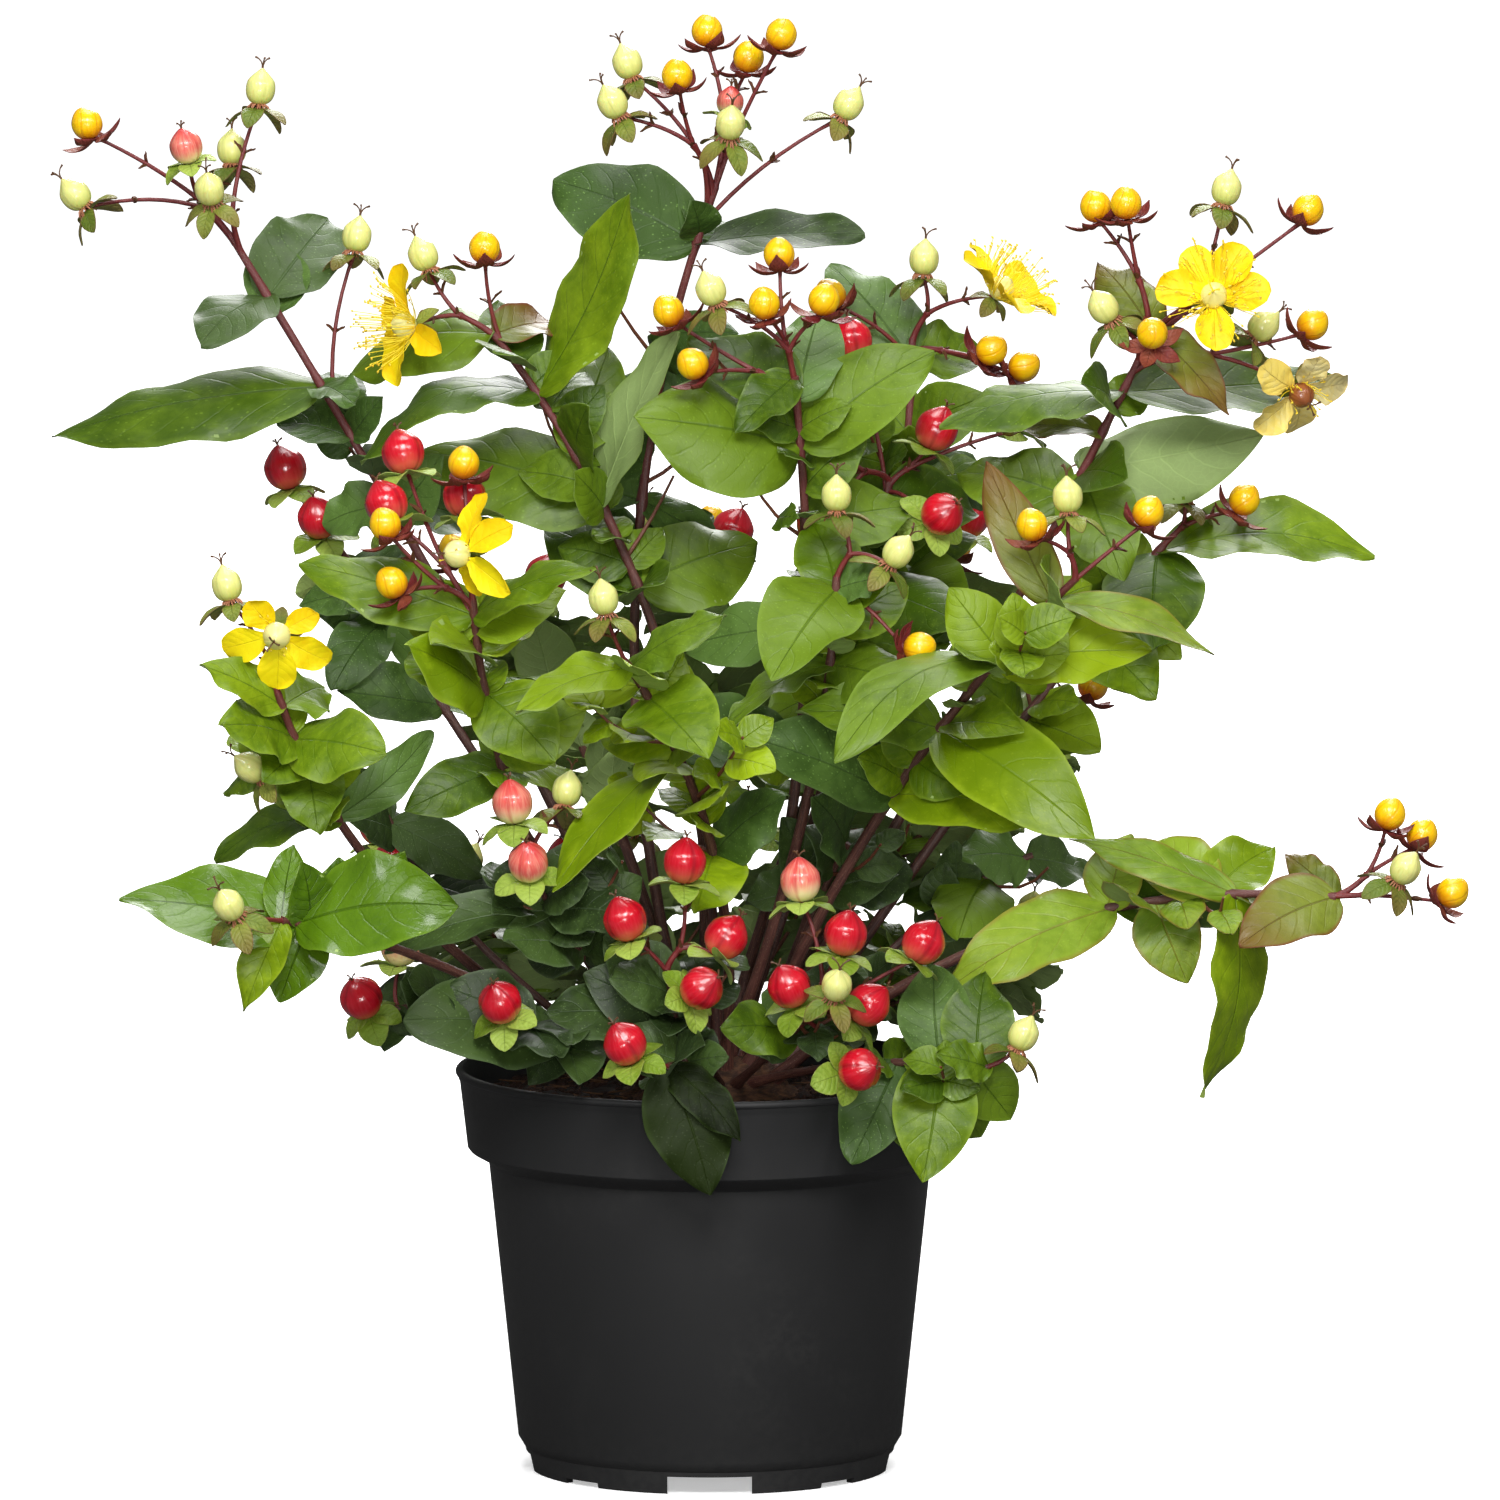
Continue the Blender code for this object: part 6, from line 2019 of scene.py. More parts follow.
class Graph:
    """A node tree with short calls that add nodes and join them."""

    def __init__(self, tree: bpy.types.NodeTree) -> None:
        """Works on a tree."""
        self.tree = tree

    def feed(self, node: bpy.types.Node, inputs: dict[str | int, Amount | Colour]) -> None:
        """Sets or joins inputs of a node.

        Args:
            node: The node.
            inputs: Values for its inputs, by name or number.
        """
        for key, value in inputs.items():
            socket = node.inputs[key]
            if isinstance(value, Value):
                self.tree.links.new(value.socket, socket)
            else:
                socket.default_value = (*value, 1) if socket.type == "RGBA" else value

    def node(self, kind: str, inputs: dict | None = None, **settings: object) -> dict[str, Value]:
        """Adds a node.

        Args:
            kind: Its type.
            inputs: Values for its inputs, by name or number.
            **settings: Its settings.

        Returns:
            Its outputs by name, the first of each name.
        """
        node = self.tree.nodes.new(kind)
        for name, value in settings.items():
            setattr(node, name, value)
        self.feed(node, inputs or {})
        return {out.name: Value(self, out) for out in reversed(node.outputs) if out.enabled}

    def math(self, operation: str, *values: Amount) -> Value:
        """Result of a Math node."""
        return self.node("ShaderNodeMath", dict(enumerate(values)), operation=operation)["Value"]

    def ramp(self, value: Value, low: Amount, high: Amount, start: float = 0.0,
             end: float = 1.0) -> Value:
        """Smooth step of a value.

        Args:
            value: What is mapped.
            low: Where the step starts.
            high: Where it ends.
            start: Result below it.
            end: Result above it.

        Returns:
            The result.
        """
        bounds = {"Value": value, "From Min": low, "From Max": high, "To Min": start, "To Max": end}
        return self.node("ShaderNodeMapRange", bounds, interpolation_type="SMOOTHSTEP")["Result"]

    def blend(self, share: Amount, first: Value | Colour, second: Value | Colour) -> Value:
        """Mix of two colours, of which the share is the second's."""
        colours = {0: share, 6: first, 7: second}
        return self.node("ShaderNodeMix", colours, data_type="RGBA")["Result"]

    def map(self, name: str) -> tuple[Value, Value]:
        """The two coordinates of a surface map."""
        place = self.node("ShaderNodeUVMap", uv_map=name)["UV"]
        parts = self.node("ShaderNodeSeparateXYZ", {0: place})
        return parts["X"], parts["Y"]

    def ring(self, share: Value) -> tuple[Value, Value, Value]:
        """Angle in radians of a share of a turn, with its cosine and its sine."""
        turn = share * math.tau
        return turn, self.math("COSINE", turn), self.math("SINE", turn)

    def place(self, x: Amount, y: Amount, z: Amount) -> Value:
        """A vector of three values."""
        return self.node("ShaderNodeCombineXYZ", {0: x, 1: y, 2: z})["Vector"]

    def noise(self, vector: Value, scale: float, detail: float = 3.0, rough: float = 0.55) -> Value:
        """Noise of a vector, 0 to 1."""
        inputs = {"Vector": vector, "Scale": scale, "Detail": detail, "Roughness": rough}
        return self.node("ShaderNodeTexNoise", inputs)["Fac"]

    def cells(self, vector: Value, scale: float, feature: str = "F1") -> Value:
        """Distance to the nearest of scattered points, or to the edge between two."""
        inputs = {"Vector": vector, "Scale": scale}
        return self.node("ShaderNodeTexVoronoi", inputs, feature=feature)["Distance"]

    def bump(self, height: Value, strength: float, distance: float) -> Value:
        """Normal of a relief, whose full step is this distance in millimetres."""
        inputs = {"Height": height, "Strength": strength, "Distance": distance * MM}
        return self.node("ShaderNodeBump", inputs)["Normal"]

    def put_out(self, values: dict[str, Value]) -> bpy.types.NodeTree:
        """Ends a group.

        Args:
            values: What it puts out, by name.

        Returns:
            The group.
        """
        for name in values:
            self.tree.interface.new_socket(name=name, in_out="OUTPUT", socket_type="NodeSocketFloat")
        self.node("NodeGroupOutput", values)
        return self.tree


def new_group(name: str, **inputs: float) -> tuple[Graph, dict[str, Value]]:
    """Starts a shader group.

    Args:
        name: Its name.
        **inputs: Defaults of the values that it takes.

    Returns:
        Its graph, and the values that it takes.
    """
    tree = bpy.data.node_groups.new(name, "ShaderNodeTree")
    for key, value in inputs.items():
        socket = tree.interface.new_socket(name=key, in_out="INPUT", socket_type="NodeSocketFloat")
        socket.default_value = value
    graph = Graph(tree)
    return graph, graph.node("NodeGroupInput")


class Groups:
    """The shader groups that more than one finish uses, each built once."""

    def __init__(self) -> None:
        """Builds them."""
        self.blade = self.blade_marks()
        self.skin = self.skin_marks()
        self.grain = self.grain_marks()

    @staticmethod
    def blade_marks() -> bpy.types.NodeTree:
        """Rib, veins, edge, mottle and relief of a leaf-like blade.

        Returns:
            The group.
        """
        graph, _ = new_group("blade marks")
        x, y = graph.map("blade")
        spray, luck_share = graph.map("spray")
        under = graph.math("GREATER_THAN", x, 1.0)
        s = x - under
        v = abs(y * 2.0 - 1.0)
        rib = 1.0 - graph.ramp(v, 0.0, s * -0.03 + 0.055)
        bow = graph.math("POWER", v, 1.3) * -1.7
        wander = graph.noise(graph.place(s, y, spray), 4.0) * 0.5
        quilt = graph.math("PINGPONG", s * 6.5 + bow + wander, 0.5)
        vein = (1.0 - graph.ramp(quilt, 0.0, 0.075)) * graph.ramp(v, 0.97, 0.6)
        net_place = graph.place(s * 16.0, y * 9.0, spray)
        net = 1.0 - graph.ramp(graph.cells(net_place, 1.6, "DISTANCE_TO_EDGE"), 0.0, 0.12)
        mottle_place = graph.place(s * 2.6, y, spray * 40.0)
        mottle = graph.noise(mottle_place, 1.6, 4.0) * 0.6 + graph.noise(mottle_place, 6.5) * 0.4
        speck_place = graph.place(s * 34.0, y * 18.0, luck_share)
        specks = 1.0 - graph.ramp(graph.cells(speck_place, 1.0), 0.12, 0.24)
        edge = graph.math("MAXIMUM", graph.ramp(v, 0.84, 1.0), graph.ramp(s, 0.955, 1.0))
        relief = rib * -0.8 + vein * -0.2 + quilt * 0.5 + net * -0.05 + mottle * 0.3
        veins = graph.math("MAXIMUM", vein, net * 0.28)
        return graph.put_out({
            "Rib": rib, "Veins": veins, "Edge": edge, "Under": under, "Mottle": mottle,
            "Specks": specks, "Tip": s, "Spray": spray, "Luck": luck_share,
            "Relief": relief * (under * -2.2 + 1.0)})

    @staticmethod
    def skin_marks() -> bpy.types.NodeTree:
        """Streaks, grooves and blush of a berry or bud, whose map runs round and along it.

        Returns:
            The group.
        """
        graph, inputs = new_group("skin marks", Lobes=3.0)
        x, y = graph.map("blade")
        spray, _ = graph.map("spray")
        turn, ring_x, ring_y = graph.ring(x)
        shift = spray * 30.0
        long_place = graph.place(ring_x * 3.2, ring_y * 3.2, y * 0.9 + shift)
        streaks = graph.ramp(graph.noise(long_place, 3.0, 4.0, 0.6), 0.36, 0.68)
        blotch = graph.noise(graph.place(ring_x, ring_y, y + shift), 1.4)
        lobe = graph.math("COSINE", turn * inputs["Lobes"] * 0.5)
        groove = 1.0 - graph.ramp(abs(lobe), 0.0, 0.3)
        return graph.put_out({"Streaks": streaks, "Groove": groove, "Along": y, "Blotch": blotch,
                              "Relief": streaks * 0.25 + groove * -0.6})

    @staticmethod
    def grain_marks() -> bpy.types.NodeTree:
        """Lengthwise grain and rough spots of bark, whose map runs along and round it.

        Returns:
            The group.
        """
        graph, inputs = new_group("grain marks", Fineness=1.0)
        x, y = graph.map("blade")
        spray, _ = graph.map("spray")
        _, ring_x, ring_y = graph.ring(y)
        along = x * inputs["Fineness"] * 2.4 + spray * 50.0
        grain = graph.noise(graph.place(ring_x * 2.6, ring_y * 2.6, along), 2.6, 5.0, 0.65)
        spots = graph.cells(graph.place(ring_x, ring_y, along * 6.0), 2.2)
        blotch = graph.noise(graph.place(ring_x, ring_y, along * 0.7), 0.9)
        return graph.put_out({"Grain": grain, "Spots": 1.0 - graph.ramp(spots, 0.1, 0.3),
                              "Along": x, "Blotch": blotch})


def start_material(name: str) -> tuple[bpy.types.Material, Graph, bpy.types.Node]:
    """A material with its shader.

    Args:
        name: Its name.

    Returns:
        The material, its graph and its Principled BSDF.
    """
    material = bpy.data.materials.new(name)
    material.use_nodes = True
    return material, Graph(material.node_tree), material.node_tree.nodes["Principled BSDF"]


def lighter(colour: Colour, share: float, lift: float = 0.0) -> Colour:
    """A colour times a share, lifted by a little."""
    return tuple(min(1.0, channel * share + lift) for channel in colour)


@dataclass(frozen=True)
class BladeFinish:
    """Skin of leaves, sepals or petals: two shades of the upper side, the under side, and marks."""

    name: str
    shade: Colour
    light: Colour
    under: Colour
    vein: Colour
    edge: Colour
    flush: Colour = (0.1, 0.02, 0.02)
    vein_share: float = 0.5
    edge_share: float = 0.5
    flush_share: float = 0.0
    speck_share: float = 0.1
    roughness: float = 0.4
    gloss: float = 0.3
    coat: float = 0.0
    relief: float = 0.5

    def material(self, groups: Groups) -> bpy.types.Material:
        """Builds the material.

        Args:
            groups: The shared shader groups.

        Returns:
            The material.
        """
        material, graph, shader = start_material(self.name)
        marks = graph.node("ShaderNodeGroup", node_tree=groups.blade)
        mottle = marks["Mottle"]
        age = mottle * 2.2 - 1.1 + marks["Spray"]
        colour = graph.blend(graph.ramp(age, 0.0, 1.0), self.shade, self.light)
        colour = graph.blend(marks["Veins"] * (self.vein_share * 0.35), colour, self.vein)
        colour = graph.blend(marks["Rib"] * self.vein_share, colour, self.vein)
        colour = graph.blend(marks["Specks"] * self.speck_share, colour, lighter(self.light, 3, 0.05))
        back = graph.blend(mottle * 0.5, self.under, lighter(self.under, 0.75))
        back_rib = graph.math("MAXIMUM", marks["Rib"], marks["Veins"])
        back = graph.blend(back_rib * 0.35, back, lighter(self.under, 1.5))
        colour = graph.blend(marks["Under"], colour, back)
        colour = graph.blend(marks["Edge"] * self.edge_share, colour, self.edge)
        if self.flush_share:
            reach = marks["Tip"] + marks["Luck"] * 0.8 + mottle * 0.5
            colour = graph.blend(graph.ramp(reach, 0.9, 1.8) * self.flush_share, colour, self.flush)
        rough = marks["Under"] * 0.22 + (mottle * 0.16 + (self.roughness - 0.08))
        graph.feed(shader, {"Base Color": colour, "Roughness": rough, "Coat Weight": self.coat,
                            "Coat Roughness": 0.12, "Specular IOR Level": self.gloss,
                            "Normal": graph.bump(marks["Relief"], 0.8, self.relief)})
        return material


@dataclass(frozen=True)
class SkinFinish:
    """Skin of berries and buds: body, streaks, colour near the base and tip, grooves. On buds the deeper
    base colour is partly painted shade, and on red berries the pale streaks are partly painted highlight.
    """

    name: str
    body: Colour
    streak: Colour
    base: Colour
    tip: Colour
    groove: Colour
    streak_share: float = 0.5
    base_share: float = 0.5
    tip_share: float = 0.3
    lobes: float = 3.0
    roughness: float = 0.25
    coat: float = 0.3
    subsurface: float = 0.15

    def material(self, groups: Groups) -> bpy.types.Material:
        """Builds the material.

        Args:
            groups: The shared shader groups.

        Returns:
            The material.
        """
        material, graph, shader = start_material(self.name)
        marks = graph.node("ShaderNodeGroup", {"Lobes": self.lobes}, node_tree=groups.skin)
        # Lengthwise streaks; on red berries they are partly painted highlight.
        colour = graph.blend(marks["Streaks"] * self.streak_share, self.body, self.streak)
        low = marks["Along"] + (marks["Blotch"] * 0.4 - 0.2)
        # Colour towards the base: the skin's own colour, on buds partly painted shade.
        colour = graph.blend(graph.ramp(low, 0.05, 0.5, self.base_share, 0.0), colour, self.base)
        colour = graph.blend(graph.ramp(low, 0.66, 0.98, 0.0, self.tip_share), colour, self.tip)
        colour = graph.blend(marks["Groove"] * 0.45, colour, self.groove)
        graph.feed(shader, {"Base Color": colour,
                            "Roughness": marks["Blotch"] * 0.2 + (self.roughness - 0.1),
                            "Coat Weight": self.coat, "Coat Roughness": 0.1,
                            "Subsurface Weight": self.subsurface,
                            "Subsurface Radius": (1.0, 0.5, 0.3), "Subsurface Scale": 2.0 * MM,
                            "Normal": graph.bump(marks["Relief"], 0.5, 0.3)})
        return material


@dataclass(frozen=True)
class BarkFinish:
    """Bark of canes, twigs and threads: deep and pale shades, spots, and a lighter young end."""

    name: str
    deep: Colour
    pale: Colour
    spot: Colour
    young: Colour
    roughness: float = 0.45
    relief: float = 0.25
    fineness: float = 1.0
    young_from: float = 3.0

    def material(self, groups: Groups) -> bpy.types.Material:
        """Builds the material.

        Args:
            groups: The shared shader groups.

        Returns:
            The material.
        """
        material, graph, shader = start_material(self.name)
        marks = graph.node("ShaderNodeGroup", {"Fineness": self.fineness}, node_tree=groups.grain)
        colour = graph.blend(graph.ramp(marks["Grain"], 0.35, 0.7), self.deep, self.pale)
        aged = graph.ramp(marks["Along"], self.young_from, self.young_from + 3.0)
        colour = graph.blend(aged * 0.7, colour, self.young)
        colour = graph.blend(marks["Spots"] * 0.5, colour, self.spot)
        graph.feed(shader, {"Base Color": colour,
                            "Roughness": marks["Blotch"] * 0.25 + (self.roughness - 0.1),
                            "Normal": graph.bump(marks["Grain"], 0.7, self.relief)})
        return material


@dataclass(frozen=True)
class PlasticFinish:
    """Black moulded plastic with a satin skin, faint flow lines, dust and rub marks."""

    name: str = "black nursery plastic"
    body: Colour = (0.016, 0.016, 0.0165)
    dust: Colour = (0.034, 0.033, 0.031)
    roughness: float = 0.58

    def material(self) -> bpy.types.Material:
        """Builds the material.

        Returns:
            The material.
        """
        material, graph, shader = start_material(self.name)
        place = graph.node("ShaderNodeTexCoord")["Object"]
        parts = graph.node("ShaderNodeSeparateXYZ", {0: place})
        cloud = graph.noise(place, 18.0, 5.0, 0.6)
        fine = graph.noise(place, 420.0, 3.0, 0.6)
        flow = graph.place(parts["X"] * 2.0, parts["Y"] * 2.0, parts["Z"] * 260.0)
        rings = graph.noise(flow, 1.0, 3.0, 0.5)
        low = graph.ramp(parts["Z"], 0.0, 0.03, 1.0, 0.0)
        dusty = (graph.ramp(cloud, 0.5, 0.75) * 0.35 + low * 0.25) * graph.ramp(fine, 0.35, 0.65)
        rough = cloud * 0.16 + (self.roughness - 0.08) + dusty * 0.3
        graph.feed(shader, {"Base Color": graph.blend(dusty, self.body, self.dust),
                            "Roughness": rough, "Specular IOR Level": 0.4,
                            "Normal": graph.bump(fine * 0.5 + rings * 0.5, 0.25, 0.12)})
        return material


@dataclass(frozen=True)
class PeatFinish:
    """Dark moist peat."""

    name: str = "moist peat"
    deep: Colour = srgb(22, 12, 9)
    pale: Colour = srgb(74, 46, 32)

    def material(self) -> bpy.types.Material:
        """Builds the material.

        Returns:
            The material.
        """
        material, graph, shader = start_material(self.name)
        place = graph.node("ShaderNodeTexCoord")["Object"]
        clods = graph.noise(place, 260.0, 6.0, 0.7)
        wide = graph.noise(place, 45.0, 3.0, 0.6)
        share = graph.ramp(clods, 0.42, 0.72) * graph.ramp(wide, 0.3, 0.7)
        graph.feed(shader, {"Base Color": graph.blend(share, self.deep, self.pale),
                            "Roughness": wide * 0.2 + 0.72, "Normal": graph.bump(clods, 0.9, 0.8)})
        return material


LEAF_FINISHES = {
    OLD: BladeFinish("old leaf", srgb(58, 84, 30), srgb(88, 118, 50), srgb(112, 132, 90),
                     srgb(42, 62, 26), srgb(96, 120, 66), speck_share=0.25, roughness=0.46,
                     vein_share=0.45, edge_share=0.35, relief=0.4),
    # Dark old leaves; on the low canes and a few other leaves this darkness is also painted shade.
    DEEP: BladeFinish("deep leaf", srgb(38, 54, 22), srgb(66, 88, 38), srgb(100, 120, 80),
                      srgb(96, 116, 84), srgb(92, 112, 74), speck_share=0.35, roughness=0.46,
                      vein_share=0.3, edge_share=0.4, relief=0.4),
    # Leaf colour darkened to stand in for shade: painted shade.
    DIM: BladeFinish("dim leaf", srgb(16, 24, 5), srgb(32, 44, 12), srgb(90, 108, 70),
                     srgb(48, 62, 24), srgb(56, 74, 30), speck_share=0.2, roughness=0.55,
                     vein_share=0.3, edge_share=0.4, gloss=0.12, relief=0.4),
    GROWN: BladeFinish("grown leaf", srgb(60, 86, 8), srgb(100, 127, 22), srgb(142, 164, 100),
                       srgb(50, 78, 12), srgb(122, 150, 50), speck_share=0.12, roughness=0.42,
                       vein_share=0.5, edge_share=0.35, relief=0.4),
    BRIGHT: BladeFinish("bright leaf", srgb(80, 108, 6), srgb(124, 150, 22), srgb(150, 176, 96),
                        srgb(64, 94, 8), srgb(140, 164, 48), speck_share=0.07, roughness=0.38,
                        vein_share=0.5, edge_share=0.35, relief=0.4),
    YOUNG: BladeFinish("young leaf", srgb(104, 130, 6), srgb(146, 170, 22), srgb(162, 186, 92),
                       srgb(84, 114, 8), srgb(158, 180, 50), speck_share=0.05, roughness=0.36,
                       vein_share=0.45, edge_share=0.35, relief=0.35),
    GLOSSY: BladeFinish("glossy leaf", srgb(56, 88, 4), srgb(84, 118, 10), srgb(150, 176, 90),
                        srgb(46, 78, 6), srgb(112, 144, 36), speck_share=0.02, roughness=0.32,
                        vein_share=0.5, edge_share=0.3, coat=0.25, relief=0.8),
    FLUSHED: BladeFinish("flushed leaf", srgb(84, 96, 24), srgb(118, 130, 40), srgb(150, 146, 98),
                         srgb(84, 62, 30), srgb(112, 40, 34), srgb(112, 46, 34), flush_share=0.7,
                         edge_share=0.7, speck_share=0.05, roughness=0.38, vein_share=0.5),
    TAWNY: BladeFinish("tawny leaf", srgb(94, 124, 18), srgb(134, 160, 42), srgb(152, 174, 104),
                       srgb(130, 84, 50), srgb(134, 84, 44), srgb(140, 84, 44), flush_share=0.1,
                       edge_share=0.45, speck_share=0.05, roughness=0.38, vein_share=0.35,
                       relief=0.4),
}
HEAD_FINISHES = {
    # The bud's deeper orange base is partly its own amber and partly painted shade on its lower side.
    "buds": SkinFinish("amber bud", srgb(254, 206, 8), srgb(248, 172, 8), srgb(214, 120, 10),
                       srgb(240, 156, 14), srgb(224, 146, 8), 0.4, 0.8, 0.25, 5.0, 0.24, 0.4),
    "pale_berries": SkinFinish("pale berry", srgb(232, 232, 144), srgb(212, 218, 116),
                               srgb(196, 204, 96), srgb(222, 216, 140), srgb(204, 208, 112),
                               0.35, 0.6, 0.3, 3.0, 0.28, 0.3, 0.25),
    # Its paler pink lengthwise streaks are partly painted highlight, like long reflections of the side
    # lights.
    "red_berries": SkinFinish("red berry", srgb(200, 8, 32), srgb(226, 60, 76), srgb(236, 128, 104),
                              srgb(150, 8, 28), srgb(120, 6, 24), 0.3, 0.4, 0.5, 3.0, 0.2, 0.5),
    "pink_berries": SkinFinish("pink berry", srgb(228, 96, 88), srgb(242, 172, 146),
                               srgb(244, 226, 172), srgb(206, 26, 44), srgb(196, 50, 54),
                               0.6, 1.0, 0.7, 3.0, 0.24, 0.4),
    "ovaries": SkinFinish("ovary", srgb(240, 232, 150), srgb(214, 222, 120), srgb(220, 214, 110),
                          srgb(236, 226, 150), srgb(210, 206, 110), 0.3, 0.4, 0.3, 3.0, 0.3, 0.2),
    "spent_ovaries": SkinFinish("spent ovary", srgb(150, 84, 44), srgb(190, 120, 60),
                                srgb(96, 40, 30), srgb(120, 60, 36), srgb(90, 40, 26)),
}
SHEET_FINISHES = {
    "bud_sepals": BladeFinish("bud sepal", srgb(112, 34, 38), srgb(140, 72, 52), srgb(126, 56, 48),
                              srgb(150, 84, 62), srgb(118, 30, 40), vein_share=0.2, roughness=0.42),
    "berry_sepals": BladeFinish("berry sepal", srgb(112, 140, 32), srgb(160, 184, 78),
                                srgb(160, 182, 100), srgb(166, 186, 92), srgb(150, 150, 76),
                                edge_share=0.35, roughness=0.42, vein_share=0.3),
    "pale_sepals": BladeFinish("pale berry sepal", srgb(92, 112, 32), srgb(132, 142, 56),
                               srgb(136, 146, 78), srgb(140, 152, 74), srgb(110, 52, 44),
                               srgb(112, 56, 44), flush_share=0.45, edge_share=0.6, roughness=0.42,
                               vein_share=0.3),
    "bracts": BladeFinish("bract", srgb(96, 40, 36), srgb(120, 84, 44), srgb(110, 70, 44),
                          srgb(110, 60, 40), srgb(90, 30, 30), vein_share=0.2),
    "petals": BladeFinish("petal", srgb(250, 212, 4), srgb(255, 236, 16), srgb(246, 210, 14),
                          srgb(240, 186, 4), srgb(250, 218, 10), srgb(232, 160, 6), vein_share=0.08,
                          edge_share=0.15, flush_share=0.15, speck_share=0.0, roughness=0.5,
                          relief=0.25),
    "spent_petals": BladeFinish("spent petal", srgb(252, 226, 110), srgb(255, 244, 176),
                                srgb(250, 230, 150), srgb(226, 180, 80), srgb(228, 176, 80),
                                srgb(170, 80, 40), vein_share=0.25, edge_share=0.3, flush_share=0.15,
                                roughness=0.6, relief=0.6),
}
BARK_FINISHES = {
    "canes": BarkFinish("cane bark", srgb(64, 34, 32), srgb(112, 72, 60), srgb(140, 112, 90),
                        srgb(112, 42, 46), 0.4, 0.3),
    "twigs": BarkFinish("twig bark", srgb(92, 40, 34), srgb(134, 84, 56), srgb(140, 110, 70),
                        srgb(112, 50, 40), 0.42, 0.2),
    "branchlets": BarkFinish("branchlet bark", srgb(92, 22, 30), srgb(140, 56, 52), srgb(128, 70, 60),
                             srgb(110, 28, 36), 0.38, 0.2),
    "styles": BarkFinish("style", srgb(70, 40, 24), srgb(120, 84, 50), srgb(60, 30, 20),
                         srgb(80, 44, 26), 0.5, 0.1),
    "withered_threads": BarkFinish("withered thread", srgb(150, 84, 60), srgb(196, 140, 100),
                                   srgb(120, 60, 44), srgb(160, 96, 70), 0.6, 0.1),
    "filaments": BarkFinish("filament", srgb(252, 222, 30), srgb(255, 238, 70), srgb(252, 228, 50),
                            srgb(254, 234, 70), 0.5, 0.05),
    "anthers": BarkFinish("anther", srgb(240, 200, 40), srgb(250, 226, 80), srgb(226, 170, 30),
                          srgb(244, 210, 60), 0.6, 0.1),
    "woody_crown": BarkFinish("old bark", srgb(48, 26, 18), srgb(104, 70, 46), srgb(130, 100, 72),
                              srgb(80, 48, 32), 0.75, 0.9, 3.0),
    "peat_crumbs": BarkFinish("peat crumb", srgb(30, 16, 12), srgb(70, 42, 30), srgb(86, 56, 40),
                              srgb(44, 24, 18), 0.85, 0.5),
    "peat_fibres": BarkFinish("peat fibre", srgb(70, 44, 28), srgb(126, 90, 58), srgb(60, 36, 24),
                              srgb(90, 60, 40), 0.8, 0.2),
}


@dataclass(frozen=True)
class Light:
    """A soft light: place it stands at, place it looks at, size in metres, and watts."""

    name: str
    place: tuple[float, float, float]
    target: tuple[float, float, float]
    size: float
    watts: float


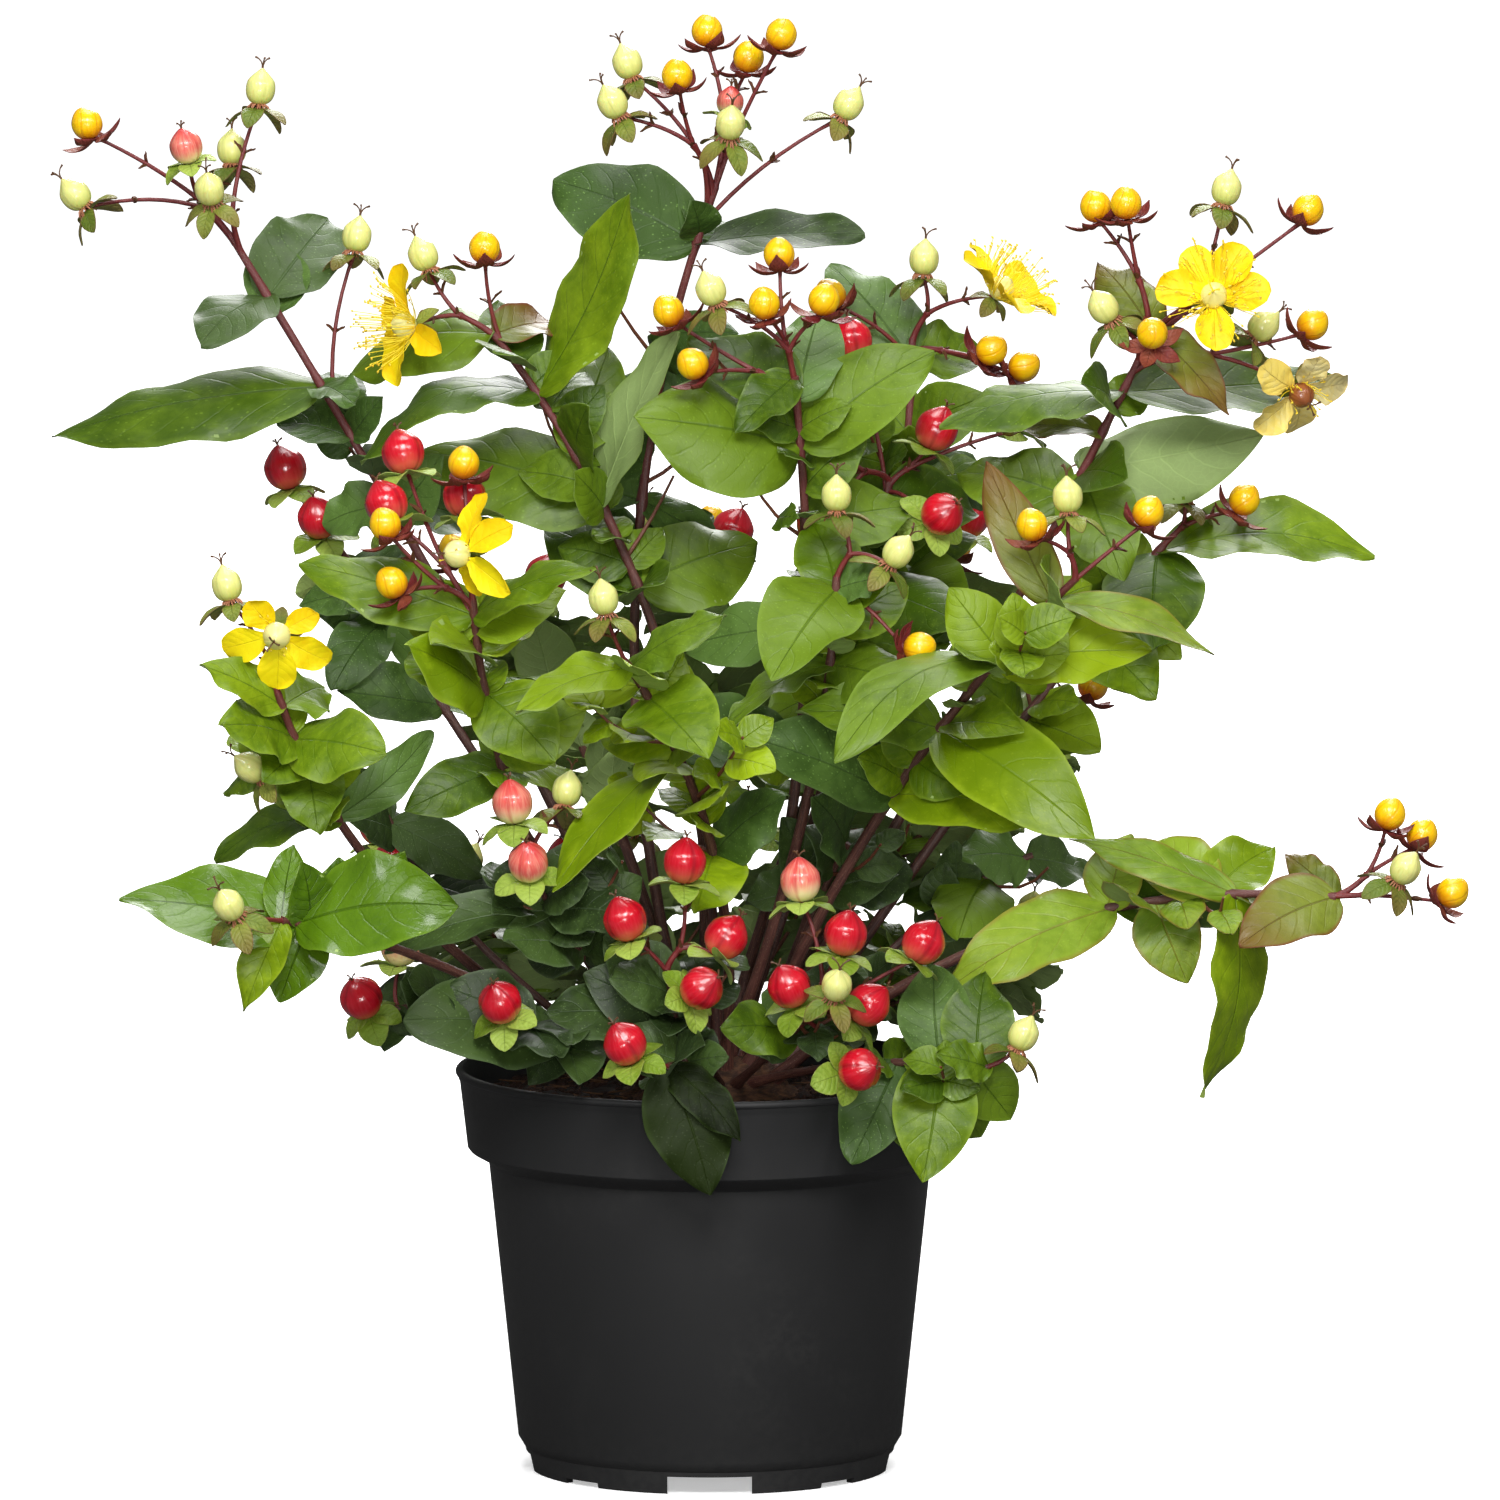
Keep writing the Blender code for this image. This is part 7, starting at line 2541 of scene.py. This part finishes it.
@dataclass
class Studio:
    """Pale floor and surround, soft lights, and the camera at the photograph's angle."""

    distance: float = 6.0
    pitch: float = 7.2
    focal_length: float = 432.0
    sensor: float = 36.0
    target: tuple[float, float, float] = (0.0134, 0.0, 0.2414)
    surround: float = 0.15
    floor_bounce: float = 0.07
    floor_half: float = 8.0
    lights: tuple[Light, ...] = (
        Light("front", (0, -2.4, 2.1), (0, 0, 0.2), 1.2, 66),
        Light("low front", (0, -2.3, 0.4), (0, 0, 0.15), 0.5, 16),
        Light("left", (-1.6, -2.0, 1.9), (0, 0, 0.3), 0.6, 17),
        Light("right", (1.6, -2.0, 2.0), (0, 0, 0.3), 0.6, 16),
        Light("top", (0.1, 0.3, 2.8), (0, 0, 0.25), 1.4, 34),
        Light("back", (0.3, 2.6, 2.0), (0, 0, 0.25), 1.6, 70),
    )

    def build(self) -> None:
        """Sets up the studio."""
        scene = bpy.context.scene
        scene.view_settings.view_transform = "Standard"
        scene.world = bpy.data.worlds.new("pale surround")
        scene.world.use_nodes = True
        graph = Graph(scene.world.node_tree)
        seen = graph.node("ShaderNodeLightPath")["Is Camera Ray"]
        graph.feed(graph.tree.nodes["Background"], {
            "Color": (1, 1, 1), "Strength": graph.ramp(seen, 0.0, 1.0, self.surround, 1.0)})
        self.floor()
        for light in self.lights:
            data = bpy.data.lights.new(light.name, "AREA")
            data.shape = "DISK"
            data.size = light.size
            data.energy = light.watts
            way = Vector(light.target) - Vector(light.place)
            self.aim(stand(light.name, data), Vector(light.place), way)
        self.camera()

    @staticmethod
    def aim(ob: bpy.types.Object, place: Vector, way: Vector) -> None:
        """Puts a light or camera at a place, looking along a way."""
        ob.location = place
        ob.rotation_euler = way.to_track_quat("-Z", "Y").to_euler()

    def floor(self) -> None:
        """A wide pale floor that glows white to the camera; its glow is dimmed near the pot, which paints
        shade round the pot's real soft shadow.
        """
        mesh = bpy.data.meshes.new("floor")
        half = self.floor_half
        mesh.from_pydata([(-half, -half, 0), (half, -half, 0), (half, half, 0), (-half, half, 0)], [],
                         [(0, 1, 2, 3)])
        material, graph, shader = start_material("pale floor")
        place = graph.node("ShaderNodeTexCoord")["Object"]
        seen = graph.node("ShaderNodeLightPath")["Is Camera Ray"]
        pale = graph.blend(graph.noise(place, 3.0, 4.0), (0.88, 0.88, 0.88), (0.92, 0.92, 0.92))
        reach = graph.node("ShaderNodeVectorMath", {0: place}, operation="LENGTH")["Value"]
        # Glow that only the camera sees, fading to under half near the pot: painted shade round the pot.
        graph.feed(shader, {"Base Color": graph.blend(seen, (self.floor_bounce,) * 3, pale),
                            "Emission Strength": graph.ramp(reach, 0.1, 0.9, 0.45, 1.0) * seen,
                            "Emission Color": (1, 1, 1), "Roughness": 0.9})
        mesh.materials.append(material)
        stand("floor", mesh)

    def camera(self) -> None:
        """The camera at the photograph's viewing angle."""
        pitch = math.radians(self.pitch)
        way = Vector((0, math.cos(pitch), -math.sin(pitch)))
        data = bpy.data.cameras.new("camera")
        data.lens = self.focal_length
        data.sensor_width = self.sensor
        data.clip_end = 50
        camera = stand("camera", data)
        self.aim(camera, Vector(self.target) - way * self.distance, way)
        bpy.context.scene.camera = camera


def main() -> None:
    """Builds the studio, the pot and the plant."""
    logging.basicConfig(level=logging.INFO, format="%(message)s")
    Studio().build()
    groups = Groups()
    Pot().build(PlasticFinish().material())
    peat = Peat()
    peat.surface().piece(PeatFinish().material(), "peat")
    growth = Growth()
    growth.grow()
    LOG.info("%d leaves, %d heads, %d side twigs", len(growth.leaves), len(growth.heads),
             len(growth.twigs))
    leaves, heads = Leaves(), Heads()
    leaves.grow(growth)
    heads.grow(growth)
    finishes = {**HEAD_FINISHES, **SHEET_FINISHES, **BARK_FINISHES,
                **{"leaves_" + tint.value: finish for tint, finish in LEAF_FINISHES.items()}}
    for slot, sheaves in (("peat", peat.bits()), ("woody_stock", [Crown().build()]),
                          ("cane_bark", Canes().grow(growth)),
                          ("foliage", [*leaves.sheaves.values(), *heads.sheaves.values()])):
        for sheaf in sheaves:
            sheaf.piece(finishes[sheaf.name].material(groups), slot)


if __name__ == "__main__":
    main()
